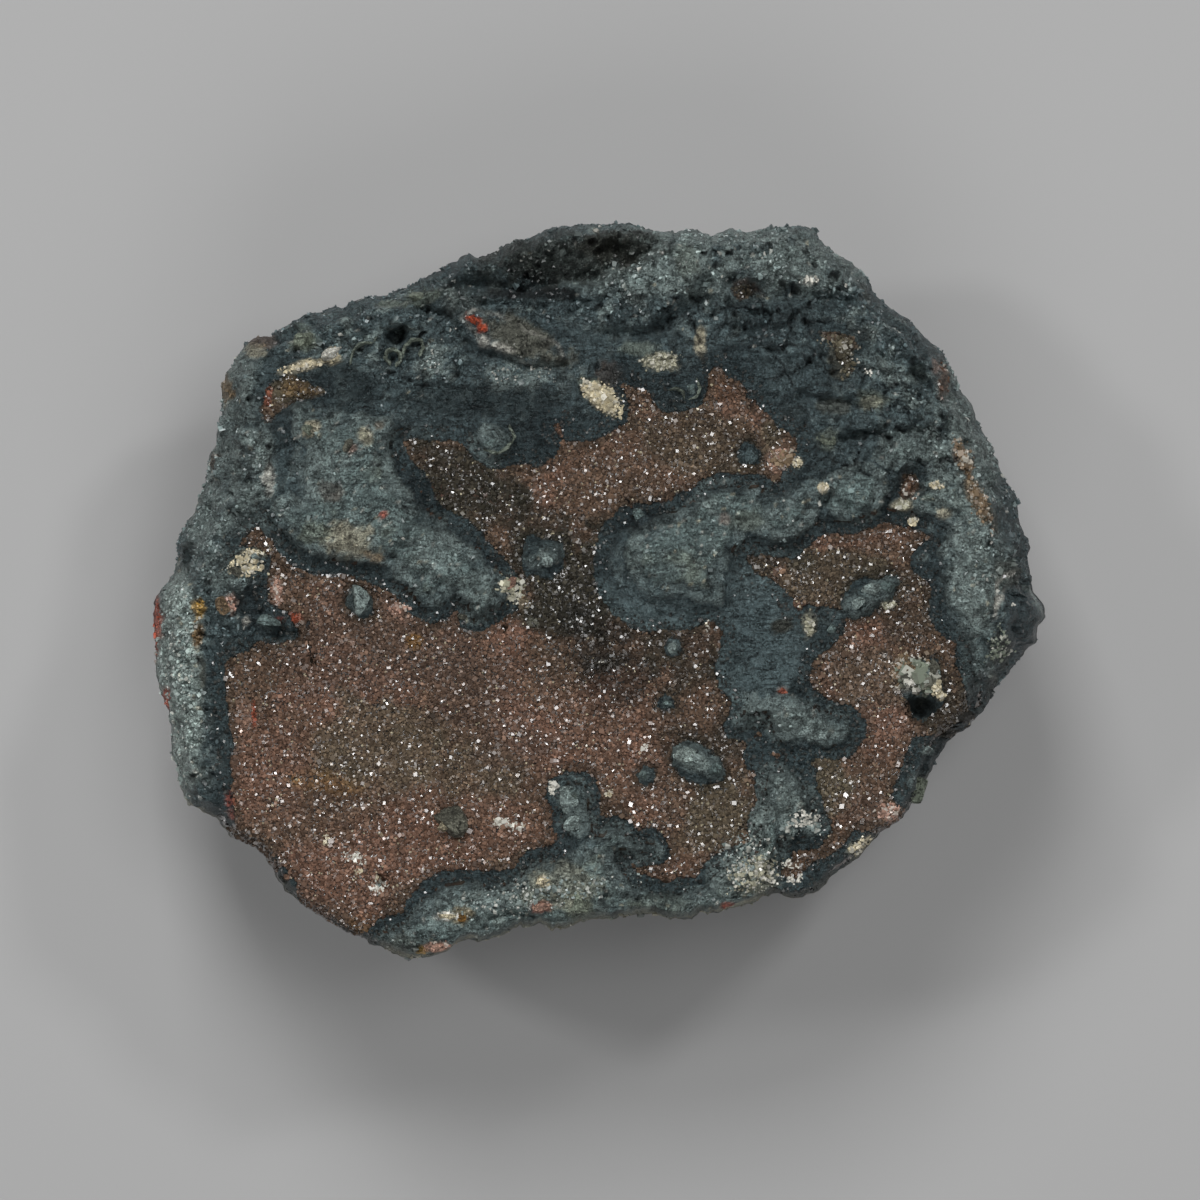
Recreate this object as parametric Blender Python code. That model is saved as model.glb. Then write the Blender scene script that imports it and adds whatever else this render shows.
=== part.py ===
"""A rhodochrosite specimen: red-brown druse on a lump of dark manganese ore, lying on its back.

The face that carries the crystals looks up, along +Z. +X runs to the right of the face and +Y to its top.
Outlines are drawn in millimetres, seen from above, with their zero at the middle of the base.
"""

import math
import random

import bmesh
import bpy
import numpy as np
from mathutils import Vector, noise

SPECIMEN_WIDTH = 0.1205      # across the face, left to right
FACE_LEVEL = 0.0395          # height of the middle of the face above the base
CRUST_GAP = 0.0003           # clear space between the matrix and what has grown on it
CRUST_INSET = 0.0002         # how far a crust stays inside the faces it has grown on
CRUST_THICKNESS = 0.0010     # rhodochrosite druse, in the middle of a field
CRUST_EDGE = 0.00035         # rhodochrosite druse, along its border
CRYSTAL_SWING = 0.00035      # how much a crystal tip rises above or stays below its neighbours
BED_DEPTH = 0.0007           # the matrix lies this much lower under the druse
CALCITE_THICKNESS = 0.0009
CALCITE_SWING = 0.0008

GRID_ACROSS = 46             # faces of the rock, left to right
GRID_UP = 38                 # faces of the rock, bottom to top
GRID_DEEP = 6                # rows of faces down its sides
BASE_SHARE = 0.86            # size of the flat base against the outline, where no fracture cuts it back
SEED = 11

CALM_HALF_WIDTH = 60         # the ellipse that the inner part of the face is laid out on, in millimetres
CALM_HALF_HEIGHT = 49
SNAP_REACH = 1.25            # corners this near a druse border move onto it, in millimetres
RIM_SHARE = 0.97             # beyond this share of the way to the rim nothing moves
CRUST_SLOPE = 0.5            # a crust grows on faces whose normal has at least this much of +Z
CRUST_FLOOR = 0.02           # and lies above this height, in metres

FACE_BOW_X = 2.4             # how far the face falls from its middle to its left and right, in millimetres
FACE_BOW_Y = 2.0             # and to its top and bottom
ISLAND_SHOULDER = 0.8        # width of an island's steep edge against the druse
HOLLOW_WALL = 1.2            # width of the steep wall behind the hollow's lip
FLAKE_RISE = 0.9             # thickness of the lens-shaped flake
FLAKE_SHOULDER = 0.6         # width of its rounded edge
BROAD_BUMPS = (9, 0.5)       # size and height of the slow unevenness of the face
FINE_BUMPS = (3.5, 0.7)      # the same for the rough unevenness of the bare matrix
BARE_FADE = 1.5              # width over which the rough bumps fade towards the druse
SIDE_BUMPS = (7, 1.6)        # size and height of the unevenness of the sides
FACING_LIMIT = 0.2           # a fracture cuts only where the cosine of the turn away from it is above this


# Edge of the whole rock, seen from above
SILHOUETTE = [
    (-55.3, 10), (-54.2, 12), (-53.5, 14), (-53, 16), (-52.5, 18), (-51.8, 20), (-51.4, 22), (-51, 24.5),
    (-50.8, 27.5), (-50.1, 29.5), (-49, 31.5), (-48, 33), (-46.8, 34.2), (-45.4, 34.5), (-44.6, 34.3),
    (-43, 35.3), (-41.5, 36.3), (-40, 36.9), (-38, 37.4), (-35.4, 38.2), (-34.5, 37.9), (-33.5, 38.8),
    (-31, 39.6), (-28.2, 40.1), (-27, 40.7), (-25.3, 41.2), (-24, 42.1), (-21.7, 43), (-20.3, 44.1),
    (-19, 44.9), (-17.5, 45.5), (-16.8, 44.9), (-15.4, 44.9), (-14, 45.8), (-12, 46.9), (-11.3, 47.5),
    (-10, 47.3), (-8, 48), (-5.2, 49), (0, 49.2), (2, 49.4), (4, 49.3), (7, 48.5), (10.2, 48.3),
    (11, 48.7), (13, 48.5), (15, 47.6), (17.5, 48.7), (20, 48.2), (24, 49), (27, 49.3), (28.8, 48.6),
    (29.3, 47.5), (30.2, 46.4), (32.5, 45), (34.8, 43.4), (36.3, 41.9), (36.9, 40), (39, 38.2),
    (41.3, 36.8), (42.6, 35.2), (44.5, 33.3), (46.3, 31.8), (47.6, 30), (48.3, 27.5), (50, 24.8),
    (51.5, 21.5), (53, 19.3), (52.9, 18.2), (54.5, 15.3), (55.6, 13.4), (56.2, 12), (56.3, 10.2),
    (56.7, 8.6), (57.7, 7), (57.7, 4.5), (57.8, 3), (58.1, 1.2), (59, -0.8), (60, -2.6), (60.2, -3.3),
    (59.1, -4.8), (58.8, -6.9), (57.8, -7.4), (57.5, -8.4), (55.7, -9.8), (54.5, -11.3), (52.9, -13.3),
    (52.5, -14.8), (51.8, -16), (50.4, -17.3), (50, -18), (48, -19.2), (46.2, -21.3), (44.9, -23),
    (43.9, -25), (43, -27.3), (41.7, -29), (40.7, -30.6), (39, -31.8), (37.8, -32.3), (37.3, -33.2),
    (35.5, -34.8), (34.7, -35.7), (33, -37), (31, -38.6), (29, -40.2), (27, -41.1), (26, -41.3),
    (24, -40.6), (22, -40.8), (20, -42.1), (18.5, -42.1), (16, -43.1), (13.5, -43.3), (12, -44),
    (10, -44), (8.5, -43.9), (7.5, -43.2), (6.6, -43.5), (4, -43.4), (0, -44), (-2.5, -44.4),
    (-4.5, -45.3), (-6.6, -45.5), (-8, -44.6), (-10, -45.2), (-11, -45), (-13.5, -46.3), (-16.5, -47.1),
    (-18, -47), (-19.5, -47.5), (-20.5, -48.4), (-22.5, -49), (-26, -49.3), (-28, -48.8), (-28.7, -48),
    (-31.2, -46.9), (-33, -46.3), (-34.8, -45.4), (-36.2, -44.8), (-38.5, -43), (-40, -42), (-42, -40.3),
    (-43.8, -38), (-45, -35.7), (-46.3, -34.7), (-48, -34), (-49.5, -33), (-51.5, -30.9), (-53.8, -29.3),
    (-55.9, -28.5), (-56.8, -26), (-56.9, -24), (-57.7, -21), (-57.9, -18.5), (-58.4, -16), (-59.2, -14),
    (-59.6, -12), (-60, -8.5), (-59.9, -5), (-60.3, -3), (-60.2, -1.5), (-59.5, 0), (-58.3, 1.4),
    (-57.4, 3), (-56.9, 5), (-56.6, 7.3), (-55.8, 9)]

# Borders of the two large druse fields, which almost meet below the middle
FIELDS = {
    "rhodochrosite_druse": [
        (-26.9, 20.8), (-25, 21.3), (-23, 21.2), (-19, 21), (-17.8, 20.4), (-17.3, 19.4), (-16.5, 18.6),
        (-15, 17.6), (-13, 17.3), (-10.5, 18), (-9.5, 18.2), (-8.5, 17.6), (-7, 18.3), (-6.2, 19.4),
        (-6, 20.3), (-6.7, 21.3), (-7.1, 22.3), (-6.5, 23), (-5.5, 23.4), (-4.4, 23.2), (-4, 22),
        (-3.9, 21), (-2.6, 20.8), (-1.2, 21.1), (0.3, 22), (1.8, 22.5), (3, 23.2), (3.2, 24.5), (2.6, 26),
        (2, 27.2), (1.8, 28.6), (2.5, 29.4), (3.5, 28.9), (4.6, 28.2), (7.3, 27.8), (8, 27), (8, 26),
        (8.6, 25.2), (9.8, 24.8), (12.6, 25.2), (13.5, 26.4), (13.9, 29.6), (14.4, 30.6), (15.4, 31),
        (16.4, 30.9), (17.4, 30), (19.5, 28.6), (20.4, 27.4), (21, 26.2), (22, 25), (23, 24), (24, 22.8),
        (26, 22), (27.2, 21.2), (27.6, 20.2), (27.2, 19), (25.8, 16.4), (25, 15.2), (24.2, 14.2),
        (23, 13.8), (21.4, 14.8), (18.5, 14.9), (15.8, 14.8), (14.2, 14.1), (12, 12.7), (9.5, 11.3),
        (7.5, 10.6), (5.5, 10.8), (3.2, 10.6), (2, 9.6), (1.2, 8.2), (0.5, 6), (0, 3.6), (0.1, 1.5),
        (1, -0.9), (2.6, -2.5), (4.5, -3.8), (6.5, -4.6), (9, -4.1), (12, -4), (14.2, -3.1), (15.4, -3.2),
        (16.6, -4.3), (17.6, -5.4), (16.9, -6.6), (16.6, -9), (16.2, -10.4), (16.7, -12.2), (17.8, -13.6),
        (19.3, -14.8), (18, -16.3), (17, -17.8), (17.4, -18.7), (19.2, -19.1), (20.3, -18.4), (20.6, -17),
        (21.7, -16.8), (22.3, -18.6), (22.6, -20), (21.9, -20.7), (20.6, -20.4), (20, -21.6),
        (20.3, -23.1), (21.8, -24), (21.4, -26.2), (21.7, -27.6), (20.9, -30), (20.9, -33.5),
        (20.2, -34.7), (17.2, -35), (15.4, -36.3), (14.2, -38), (13.4, -39), (11.3, -39.2), (8.7, -39.9),
        (6.4, -39.2), (4.8, -38.5), (3.7, -37), (2.6, -35.6), (4.2, -35.2), (5.4, -35.8), (7.6, -36),
        (8.5, -34.9), (8, -33.4), (6.4, -32.8), (4.8, -32.7), (3.6, -31.5), (2.4, -30.9), (0.9, -31.4),
        (-0.2, -31.9), (-0.6, -30), (-0.8, -27.2), (-1.3, -25.7), (-2.4, -24.8), (-4.5, -24.8),
        (-6, -25.6), (-6.4, -27.4), (-5.4, -29.2), (-5.3, -31), (-4.9, -32.8), (-5.1, -34.4),
        (-6.4, -35.1), (-9.4, -35.4), (-10.3, -36.4), (-10.8, -37.6), (-12.8, -38.3), (-15.6, -38.4),
        (-18.5, -38), (-21.3, -38.5), (-23.3, -39.8), (-24.6, -41.3), (-26, -43.2), (-28.2, -44.6),
        (-30.2, -45.4), (-31.4, -46.5), (-33, -45.8), (-34.5, -44.9), (-36.3, -44.2), (-37.6, -43.1),
        (-39.2, -42.2), (-40.2, -41), (-41.6, -39.3), (-43.4, -36.8), (-44.6, -35.3), (-46, -34.3),
        (-47.8, -33.7), (-49.2, -32.6), (-49.9, -30.5), (-49.9, -27), (-50.3, -23.2), (-50, -20),
        (-50.9, -17.5), (-51.2, -14.5), (-51.3, -11.5), (-51, -9.1), (-50.2, -8), (-47.8, -7.1),
        (-45.8, -6.1), (-43, -6.1), (-41.2, -5.5), (-41.8, -4.6), (-42.4, -3.4), (-44.2, -2.5),
        (-45.2, -1.6), (-45.4, 0.5), (-45.2, 3), (-45, 4.4), (-46.2, 5.1), (-48.6, 5), (-49.4, 4.7),
        (-49, 6.3), (-47.6, 8.2), (-46.3, 9.8), (-45.4, 10.2), (-44.7, 8.8), (-43.3, 7.5), (-42, 5.6),
        (-40.8, 4.1), (-38.6, 3.1), (-35, 3.3), (-31.2, 2.5), (-29, 1.2), (-27, 0.3), (-25.4, -1.2),
        (-24.6, -2.5), (-22.7, -3.2), (-20.9, -2.9), (-19.4, -1.7), (-18.5, -2.2), (-17.8, -4),
        (-16.4, -4.6), (-14.8, -3.7), (-12.9, -2.4), (-11.8, -1.9), (-11.8, -0.4), (-11.4, 1), (-12, 2),
        (-12.8, 3.4), (-13.8, 4.6), (-15.6, 6.2), (-16.6, 7.4), (-18.2, 9), (-20, 9.7), (-21.6, 10.6),
        (-22.8, 12.2), (-23.3, 14.2), (-24.2, 15.8), (-26, 17), (-26.9, 18.3), (-27.2, 19.6)],
    "rhodochrosite_druse_right": [
        (23.8, -20.6), (25, -21.5), (28.5, -22), (31.5, -21.6), (33.8, -20.9), (34.6, -19.4),
        (34.5, -17.4), (33.2, -16), (30, -15.4), (28, -13.8), (27.2, -12), (27.6, -10), (28.3, -8.2),
        (30.3, -7), (31.8, -5.2), (31.6, -3.6), (30.4, -3), (28.3, -2.4), (26.2, -3.3), (25.3, -3),
        (24.8, -1.4), (23.4, -0.4), (22.2, 1), (20.8, 1.3), (19.6, 1.9), (19.1, 3.6), (18.4, 5.2),
        (19.6, 5.7), (22.5, 5.5), (25.5, 5.4), (26.6, 6.1), (28, 7.5), (29.8, 8.6), (32.5, 8.6),
        (35, 9.2), (38.2, 10), (41.2, 9.8), (43.4, 8.9), (45.5, 8), (45.3, 7), (43.5, 5.7), (42.3, 4.4),
        (42.4, 3.1), (44.4, 2.2), (45.1, 0.8), (45, -1.2), (45.3, -4), (46.3, -5.2), (47.9, -6.2),
        (48.4, -7.8), (48.5, -9.8), (49.8, -12.2), (50.3, -14.2), (50.2, -16.6), (49.3, -17.8),
        (47.6, -18.8), (46.3, -20.2), (44, -20), (42.4, -20.2), (41.8, -21.8), (40.6, -24.6), (40.3, -27),
        (40.7, -28.8), (40.2, -30.2), (38.4, -31.2), (36.6, -32.2), (34.5, -33), (33.3, -34.7),
        (31.2, -36.4), (28.8, -37.2), (27.4, -38.9), (25.6, -39.3), (23.8, -38.8), (23, -37.6),
        (23.6, -36.4), (24.7, -35.3), (24.7, -33.6), (27, -33.8), (29, -33.4), (29.8, -31.8), (29.5, -30),
        (28.8, -27.8), (28, -26.2), (28.2, -24.6), (27, -23.4), (25.2, -22.9), (23.4, -23.3)],
}

# Places inside the large fields where the matrix shows
BARE_SPOTS = {
    "islet_middle": [
        (-10, 2.3), (-10.3, 4), (-10, 6), (-9.7, 7.3), (-8.8, 7.7), (-7.8, 7), (-6.4, 6.8), (-5, 6.2),
        (-4.7, 4.6), (-5.3, 2.8), (-6.4, 1.8), (-7.6, 2), (-8.7, 2.7)],
    "knob_left": [
        (-33.9, -0.6), (-33.4, 0.4), (-32.4, 0.6), (-31.2, -0.2), (-30.4, -1.4), (-30.6, -2.7),
        (-31.8, -3.3), (-33.2, -2.7), (-33.9, -1.8)],
    "islet_right": [
        (32.6, -3.2), (32.2, -1.8), (33, -0.2), (34.3, 1.4), (35.6, 2.2), (37.4, 1.4), (39.6, 1.9),
        (40.1, 1.2), (39.4, -0.6), (39.2, -1.5), (37.4, -1.9), (36, -3.3), (34.4, -3.6)],
    "vug_right": [
        (40.1, -12.3), (40.9, -10.9), (42.4, -9.6), (43.9, -9), (45.2, -9.3), (45.4, -11.2), (46, -13.6),
        (45.5, -14.8), (45, -15.9), (43.4, -17.3), (42, -16.6), (41.2, -15), (40.5, -13.6)],
    "islet_lower": [
        (9.6, -20.9), (11, -20.4), (13.2, -20.7), (15.8, -22.3), (16.7, -23.8), (16.3, -25.1),
        (13.6, -25.6), (11.9, -25.2), (10.3, -23.8), (9.5, -22.3)],
    "knob_lower": [
        (-21.6, -31), (-21.2, -29.6), (-19.6, -29), (-18, -29.4), (-17.8, -30.8), (-18.4, -32.4),
        (-20, -32.6), (-21.2, -32)],
    "speck_a": [
        (8.8, -7.4), (9.6, -6.2), (10.6, -6.6), (11, -8), (10.2, -8.9), (9.2, -8.7)],
    "speck_b": [
        (7.9, -14.6), (8.8, -13.9), (9.9, -14.4), (9.8, -15.6), (8.8, -16), (8, -15.5)],
    "knob_top": [
        (18.4, 18.6), (19.2, 19.7), (20.4, 19.8), (21.3, 18.8), (21.2, 17.4), (20, 17), (18.9, 17.4)],
    "knob_small": [
        (5, -24.6), (5.8, -23.5), (7, -23.9), (7.2, -25.2), (6.2, -25.9), (5.2, -25.5)],
}

# Rough tops that stand out of the face
ISLANDS = {
    "left_plateau": [
        (-44.3, 9.6), (-43.3, 10.6), (-42.4, 11.8), (-41.4, 12.6), (-40.5, 11), (-39.2, 11.5),
        (-38.2, 12.7), (-38.6, 15.5), (-38, 18.5), (-38.6, 20), (-40, 21.4), (-40.1, 24.2), (-39.4, 25),
        (-38.8, 22.4), (-37.6, 22.6), (-36.5, 22.2), (-34.2, 23.3), (-32, 22.9), (-30.5, 22.1),
        (-28.9, 22.8), (-28.1, 21.8), (-29, 19.6), (-28.4, 17.4), (-28, 15.1), (-26.3, 12.9),
        (-25.1, 11.2), (-23.2, 9.7), (-21.4, 9.6), (-21.6, 7.2), (-20.2, 7), (-18.6, 5.9), (-16.9, 4.6),
        (-16, 2.9), (-14.4, 2), (-12.9, 2.1), (-12.2, 0.5), (-13.4, -0.5), (-14.1, -1.2), (-14.8, -2.6),
        (-16.2, -3.8), (-17.6, -3.2), (-18.4, -1.6), (-19.6, -1.1), (-20.2, 0.3), (-21.1, 0.1),
        (-21.3, -1.1), (-22.2, -1.9), (-23.3, -1.1), (-24.7, 0), (-24.5, 1.7), (-25.4, 2), (-26.6, 2.4),
        (-27.6, 4.1), (-29.4, 4.6), (-31, 4.6), (-33.5, 5.2), (-36, 4.9), (-37.8, 5.9), (-40, 6.8),
        (-42, 8.4)],
    "central_blob": [
        (5.1, 2.8), (4.7, 4.6), (4.5, 7), (4.4, 9), (5.4, 9.9), (7, 9.2), (8.6, 9.8), (10.4, 10.7),
        (12, 11.5), (13.2, 13.1), (14.6, 14.1), (17.5, 14.2), (20.5, 14), (22, 12.9), (22.7, 10.9),
        (23.8, 11.4), (25.8, 12.6), (27.1, 14.2), (28.5, 14.4), (28.7, 12), (28, 9.9), (26, 8.1),
        (24, 7.6), (22, 8.3), (20.6, 9.2), (18.6, 8.7), (18, 6.2), (16.4, 4.6), (15, 3), (15.6, 1),
        (16, -0.6), (13.6, -0.4), (11, 0.4), (7, 0.3), (5.7, 1.2)],
    "right_lump": [
        (29.8, 12.6), (30.8, 14.6), (33, 15.8), (36, 16.4), (37.3, 15.3), (37.4, 13), (36.8, 11.1),
        (35, 10.1), (32.8, 10.3), (31, 11.4)],
    "lens_lump": [
        (37.3, 18.2), (38.6, 19.6), (41, 21), (42.8, 21.4), (43.7, 20.3), (43.6, 18.7), (41.8, 17.4),
        (39, 17.1)],
    "right_rim": [
        (39.6, 11.4), (41.4, 12.2), (43, 13.8), (45, 14.7), (48, 14.6), (49.6, 12), (51, 9), (52.6, 5.4),
        (53.4, 3), (53.2, 0), (52.9, -3.5), (52.3, -7), (51.6, -10.5), (50.9, -10.4), (50.6, -7),
        (50.4, -3.2), (49, -1.8), (47.4, -1.4), (47.2, 0), (48.3, 2.2), (48.7, 3.4), (46.6, 4),
        (46.2, 5.2), (48, 6.8), (48.4, 8.6), (46.8, 10.4), (44.8, 11.1), (42, 11)],
    "lower_islet_top": [
        (18.4, -17.3), (19.6, -16.5), (20.8, -15.9), (22.8, -15), (25.4, -14.7), (28, -15.6),
        (29, -16.4), (28.4, -18), (26.4, -18.7), (24, -19.1), (22.8, -18.4), (22, -17), (20.6, -17.2),
        (19.2, -17.7)],
    "swirl_top": [
        (30, -17.2), (31, -16.2), (32.4, -16.8), (32.7, -18.4), (31.4, -19.6), (29.4, -19.7),
        (28.2, -19.2), (29.6, -18.4)],
    "grey_ridge": [
        (22.3, -23.9), (23.6, -23.7), (25.3, -24.3), (25.9, -26), (27.9, -27), (28.6, -28.4),
        (28.5, -29.6), (29.6, -31.2), (28.4, -31.8), (26.4, -30.6), (24.8, -29.9), (24.2, -31.6),
        (24.6, -33.4), (24.2, -35), (23, -36.6), (22.6, -38.4), (21.6, -40.4), (19, -41.6), (16, -42.2),
        (14.9, -40.6), (14.9, -38.3), (16, -36.9), (18.2, -35.4), (20, -35.7), (21.4, -34.4),
        (21.3, -31.4), (22.6, -28.6), (23.2, -27), (22, -25.6)],
    "bottom_ridge": [
        (-29.6, -46.8), (-27.3, -45.5), (-25.9, -45.2), (-24.8, -43.5), (-23, -42.1), (-21, -40.7),
        (-18.5, -39.9), (-16.4, -39.9), (-15.4, -41.7), (-14.2, -41.7), (-12.2, -40), (-10, -38.5),
        (-8.9, -36.9), (-7.6, -36.4), (-5.2, -36.9), (-3.6, -36.8), (-3.4, -35.8), (-1.6, -34.5),
        (0.2, -32.9), (1.6, -31.6), (2.9, -31.6), (4, -33), (5.2, -33.9), (3.4, -34.5), (0.6, -35.4),
        (1.2, -36.8), (2.2, -38.4), (3, -39.6), (4.6, -39.8), (7, -41.2), (10, -41.6), (12.4, -40.2),
        (14, -40.9), (13.6, -42.6), (10, -43.4), (4, -42.8), (-2, -43.7), (-6, -44.8), (-12, -44.9),
        (-18, -46.3), (-22, -48.2), (-26.5, -48.7), (-28.6, -47.6)],
    "knob_a": [
        (-5.2, -25.9), (-4, -25.2), (-2.9, -25.6), (-1.8, -26.8), (-1.6, -28), (-2.5, -28.9),
        (-3.6, -29.1), (-4.8, -28), (-5.6, -26.8)],
    "knob_b": [
        (-4.4, -30.6), (-3.4, -29.9), (-2.2, -29.8), (-1.4, -30.4), (-1.5, -31.6), (-2.6, -32.1),
        (-3.9, -31.6)],
    "knob_c": [
        (5.6, -34.9), (6.2, -34.3), (7.2, -34.3), (7.6, -35), (6.8, -35.5), (5.8, -35.4)],
    "knob_tri": [
        (-33.4, -0.3), (-32.8, 0.3), (-31.5, -0.6), (-31.3, -1.2), (-32, -1.9), (-33, -2.1),
        (-33.4, -1.4)],
    "knob_upper": [
        (-17, 19.6), (-16.2, 20.6), (-14.8, 21.6), (-13, 20.8), (-12.6, 19.8), (-13.4, 18.6),
        (-14.6, 17.9), (-16, 18.5)],
    "islet_mid_top": [
        (-9.5, 4.8), (-8.7, 5.7), (-7.6, 5.9), (-6.2, 5.7), (-5.3, 5.2), (-5.8, 4.5), (-7.4, 4.4),
        (-8.6, 4.1)],
    "islet_right_top": [
        (33.4, -2), (33.7, -1), (35.2, -0.4), (36.6, 0.2), (37, 1), (38.4, 1), (39.3, 1.3), (39, 0.2),
        (38.4, -0.9), (36.6, -1.1), (35.6, -2.4), (34.2, -2.6)],
    "islet_low_top": [
        (10.2, -21.3), (11.2, -20.9), (12.8, -21.1), (14.6, -22.4), (16, -23.4), (15.8, -24.2),
        (14, -23.6), (11.6, -22.9), (10.1, -22.2)],
}

# Small druse pockets outside the large fields
POCKETS = {
    "rhodochrosite_pocket_left": [
        (-45.3, 24.6), (-45, 27), (-43.6, 28.5), (-41.3, 29.4), (-39.4, 28.2), (-37.2, 27.6),
        (-36.9, 26.4), (-38.6, 25.8), (-40.4, 25.2), (-42.2, 24.2), (-43.4, 23.2), (-44.2, 22.3),
        (-45.1, 22.6)],
    "rhodochrosite_pocket_upper": [
        (30.6, 32.3), (31.4, 33.6), (32.6, 34.2), (33.7, 34.2), (34, 33), (33.4, 31.6), (33.6, 30.4),
        (33.4, 29.2), (32.4, 29), (31.8, 30.4), (31.6, 31.4)],
    "rhodochrosite_pocket_right": [
        (39.5, 12.6), (40.2, 14), (40.8, 15.6), (42, 16.1), (42.9, 15.2), (43, 14), (42, 13),
        (40.8, 12.3)],
}

# The smooth lens-shaped flake under the top ledge
FLAKE = [
    (-18.8, 36.5), (-17, 37.8), (-14, 37.3), (-12, 36.4), (-10, 35), (-7.6, 34.2), (-5.6, 33.2),
    (-4.8, 31.5), (-5.8, 30.4), (-9.5, 30.3), (-12, 31.2), (-14, 32.3), (-16.1, 33), (-16.9, 34.8),
    (-18, 36)]

ISLAND_HEIGHTS = {
    "left_plateau": 2.6, "central_blob": 2.8, "right_lump": 2.2, "lens_lump": 1.6, "right_rim": 2.2,
    "lower_islet_top": 2.4, "swirl_top": 1.6, "grey_ridge": 2.6, "bottom_ridge": 2.6, "knob_a": 2.2,
    "knob_b": 1.8, "knob_c": 1.0, "knob_tri": 1.4, "knob_upper": 1.8, "islet_mid_top": 1.3,
    "islet_right_top": 1.6, "islet_low_top": 1.4}

# Broad swells and dips of the face: x, y, reach in x, reach in y, height
SWELLS = [
    (16, 43, 24, 6, 3.5), (20, 32, 26, 6, 2.0), (-33, 16, 13, 13, 1.4), (10, 5, 9, 9, 1.2),
    (50, 3, 6, 14, 1.6), (-12, 31, 18, 5, 1.6), (-5, -42, 26, 4, 1.2), (-30, -20, 22, 16, -2.2),
    (-3, -3, 8, 14, -1.4), (36, -8, 11, 15, -1.4), (5, 18, 15, 6, -1.0), (10, -22, 9, 9, -0.9),
    (24, -10, 5, 8, 0.9)]

# The rim of the face by compass angle: angle in degrees from +X, width of the slope, drop to the rim
RIM = [
    (0, 8, 15), (20, 6, 13), (40, 5, 12), (60, 4, 10), (75, 3.5, 9), (95, 2.5, 8), (120, 4, 10), (145, 5, 12),
    (165, 8, 15), (180, 8, 17), (195, 7.5, 17), (212, 5, 14), (225, 3, 10), (240, 2.5, 9), (255, 3.5, 10),
    (275, 3, 10), (300, 3, 10), (325, 3, 11), (345, 7, 14)]

# Flat fractures that broke the sides: compass angle, lean in under the face in degrees, cut at the base
FRACTURES = [
    (4, 30, 14), (33, 20, 11), (58, 27, 15.5), (88, 16, 9), (112, 30, 18), (138, 20, 11),
    (160, 32, 15), (183, 22, 9.5), (206, 34, 18), (228, 18, 10), (247, 28, 16.5), (268, 22, 12),
    (289, 31, 19), (310, 20, 11), (333, 28, 15), (20, 55, 20), (75, 58, 22), (120, 60, 23),
    (150, 56, 19), (190, 58, 17), (222, 60, 22), (270, 60, 18), (300, 57, 21)]

# Front lip of the hollow behind the top ledge, and how deep the hollow falls behind it
HOLLOW_LIP = [
    (-20.5, 40.2), (-15, 39.7), (-10, 39.3), (-5, 40.4), (0, 40.8), (1.6, 42.2), (5, 43.6), (8.2, 45.6)]
HOLLOW_RIM = [
    (-20.5, 40.2), (-18.6, 44), (-12, 46.1), (-5, 48), (2, 48.4), (8.6, 47.2), (8.2, 45.6)]
HOLLOW_DEPTH = 8.0

# Open seams: width, depth, route
CREVICES = [
    (1.0, 2.6, [(0.5, 34.6), (4, 34.4), (7, 34.6), (9, 36.3), (11, 37.6), (13, 39)]),
    (0.6, 1.5, [(-24, 37.8), (-21, 37.2), (-19.3, 36.2)]),
    (0.6, 1.5, [(-16.5, 32.1), (-14, 31.7), (-12, 30.9), (-9.8, 30.1), (-6, 30.1), (-4.6, 30.5)]),
    (1.1, 2.2, [(20.5, 40.2), (24, 40), (27, 39.8), (33, 39)]),
    (0.7, 1.3, [(18, 35.3), (22, 35), (25, 35.2)]),
    (0.6, 1.2, [(27, 26.2), (30, 25.7), (33, 25.4)]),
    (0.7, 1.5, [(32, 20.4), (35, 20.9), (37, 21.2), (39, 20.6), (41, 21.5), (43.5, 21.6)]),
    (1.2, 2.2, [(14.6, 41.6), (13.8, 40), (14.4, 38.4)])]

# Knobs and crystal lumps: x, y, radius, height
LUMPS = [
    (43, -11.6, 3.0, 2.2), (-19.7, -30.8, 1.9, 1.5), (20, 18.4, 1.2, 0.9), (-47.6, 2.5, 2.6, 1.2),
    (-50.3, -1.5, 1.8, 1.0), (-44.5, -4.2, 1.5, 1.3), (24.3, -13.4, 1.0, 0.8), (43.8, -21.2, 1.3, 1.0),
    (42.6, -26, 2.0, 1.3), (28, -4.6, 1.6, 0.9), (33, 33.5, 2.2, 0.8), (12.2, 27.3, 1.3, 0.9),
    (-35.8, 31.8, 2.0, 1.4), (-39.5, 33.5, 1.8, 0.9), (-46, 33, 2.2, 1.0), (30.2, 20.4, 1.6, 0.9),
    (34, 18.4, 2.0, 0.9), (23, 7.9, 2.0, 0.6), (-3, -41.6, 2.0, 0.8), (-20, -43.2, 2.4, 0.7)]

# Holes: x, y, radius, depth
PITS = [
    (42.6, 29.2, 1.5, 3.6), (-27, 34.3, 1.6, 3.6), (1.4, 46.0, 1.2, 1.8), (27.4, 47.2, 1.2, 1.8),
    (-29.1, -38.8, 1.2, 2.0), (25.8, -13.5, 1.1, 1.4), (8, 36, 1.6, 1.4), (43.2, -15.4, 2.2, 4.0),
    (-42, -5.0, 1.3, 1.4), (-20.8, 41.2, 1.2, 1.6)]

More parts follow.
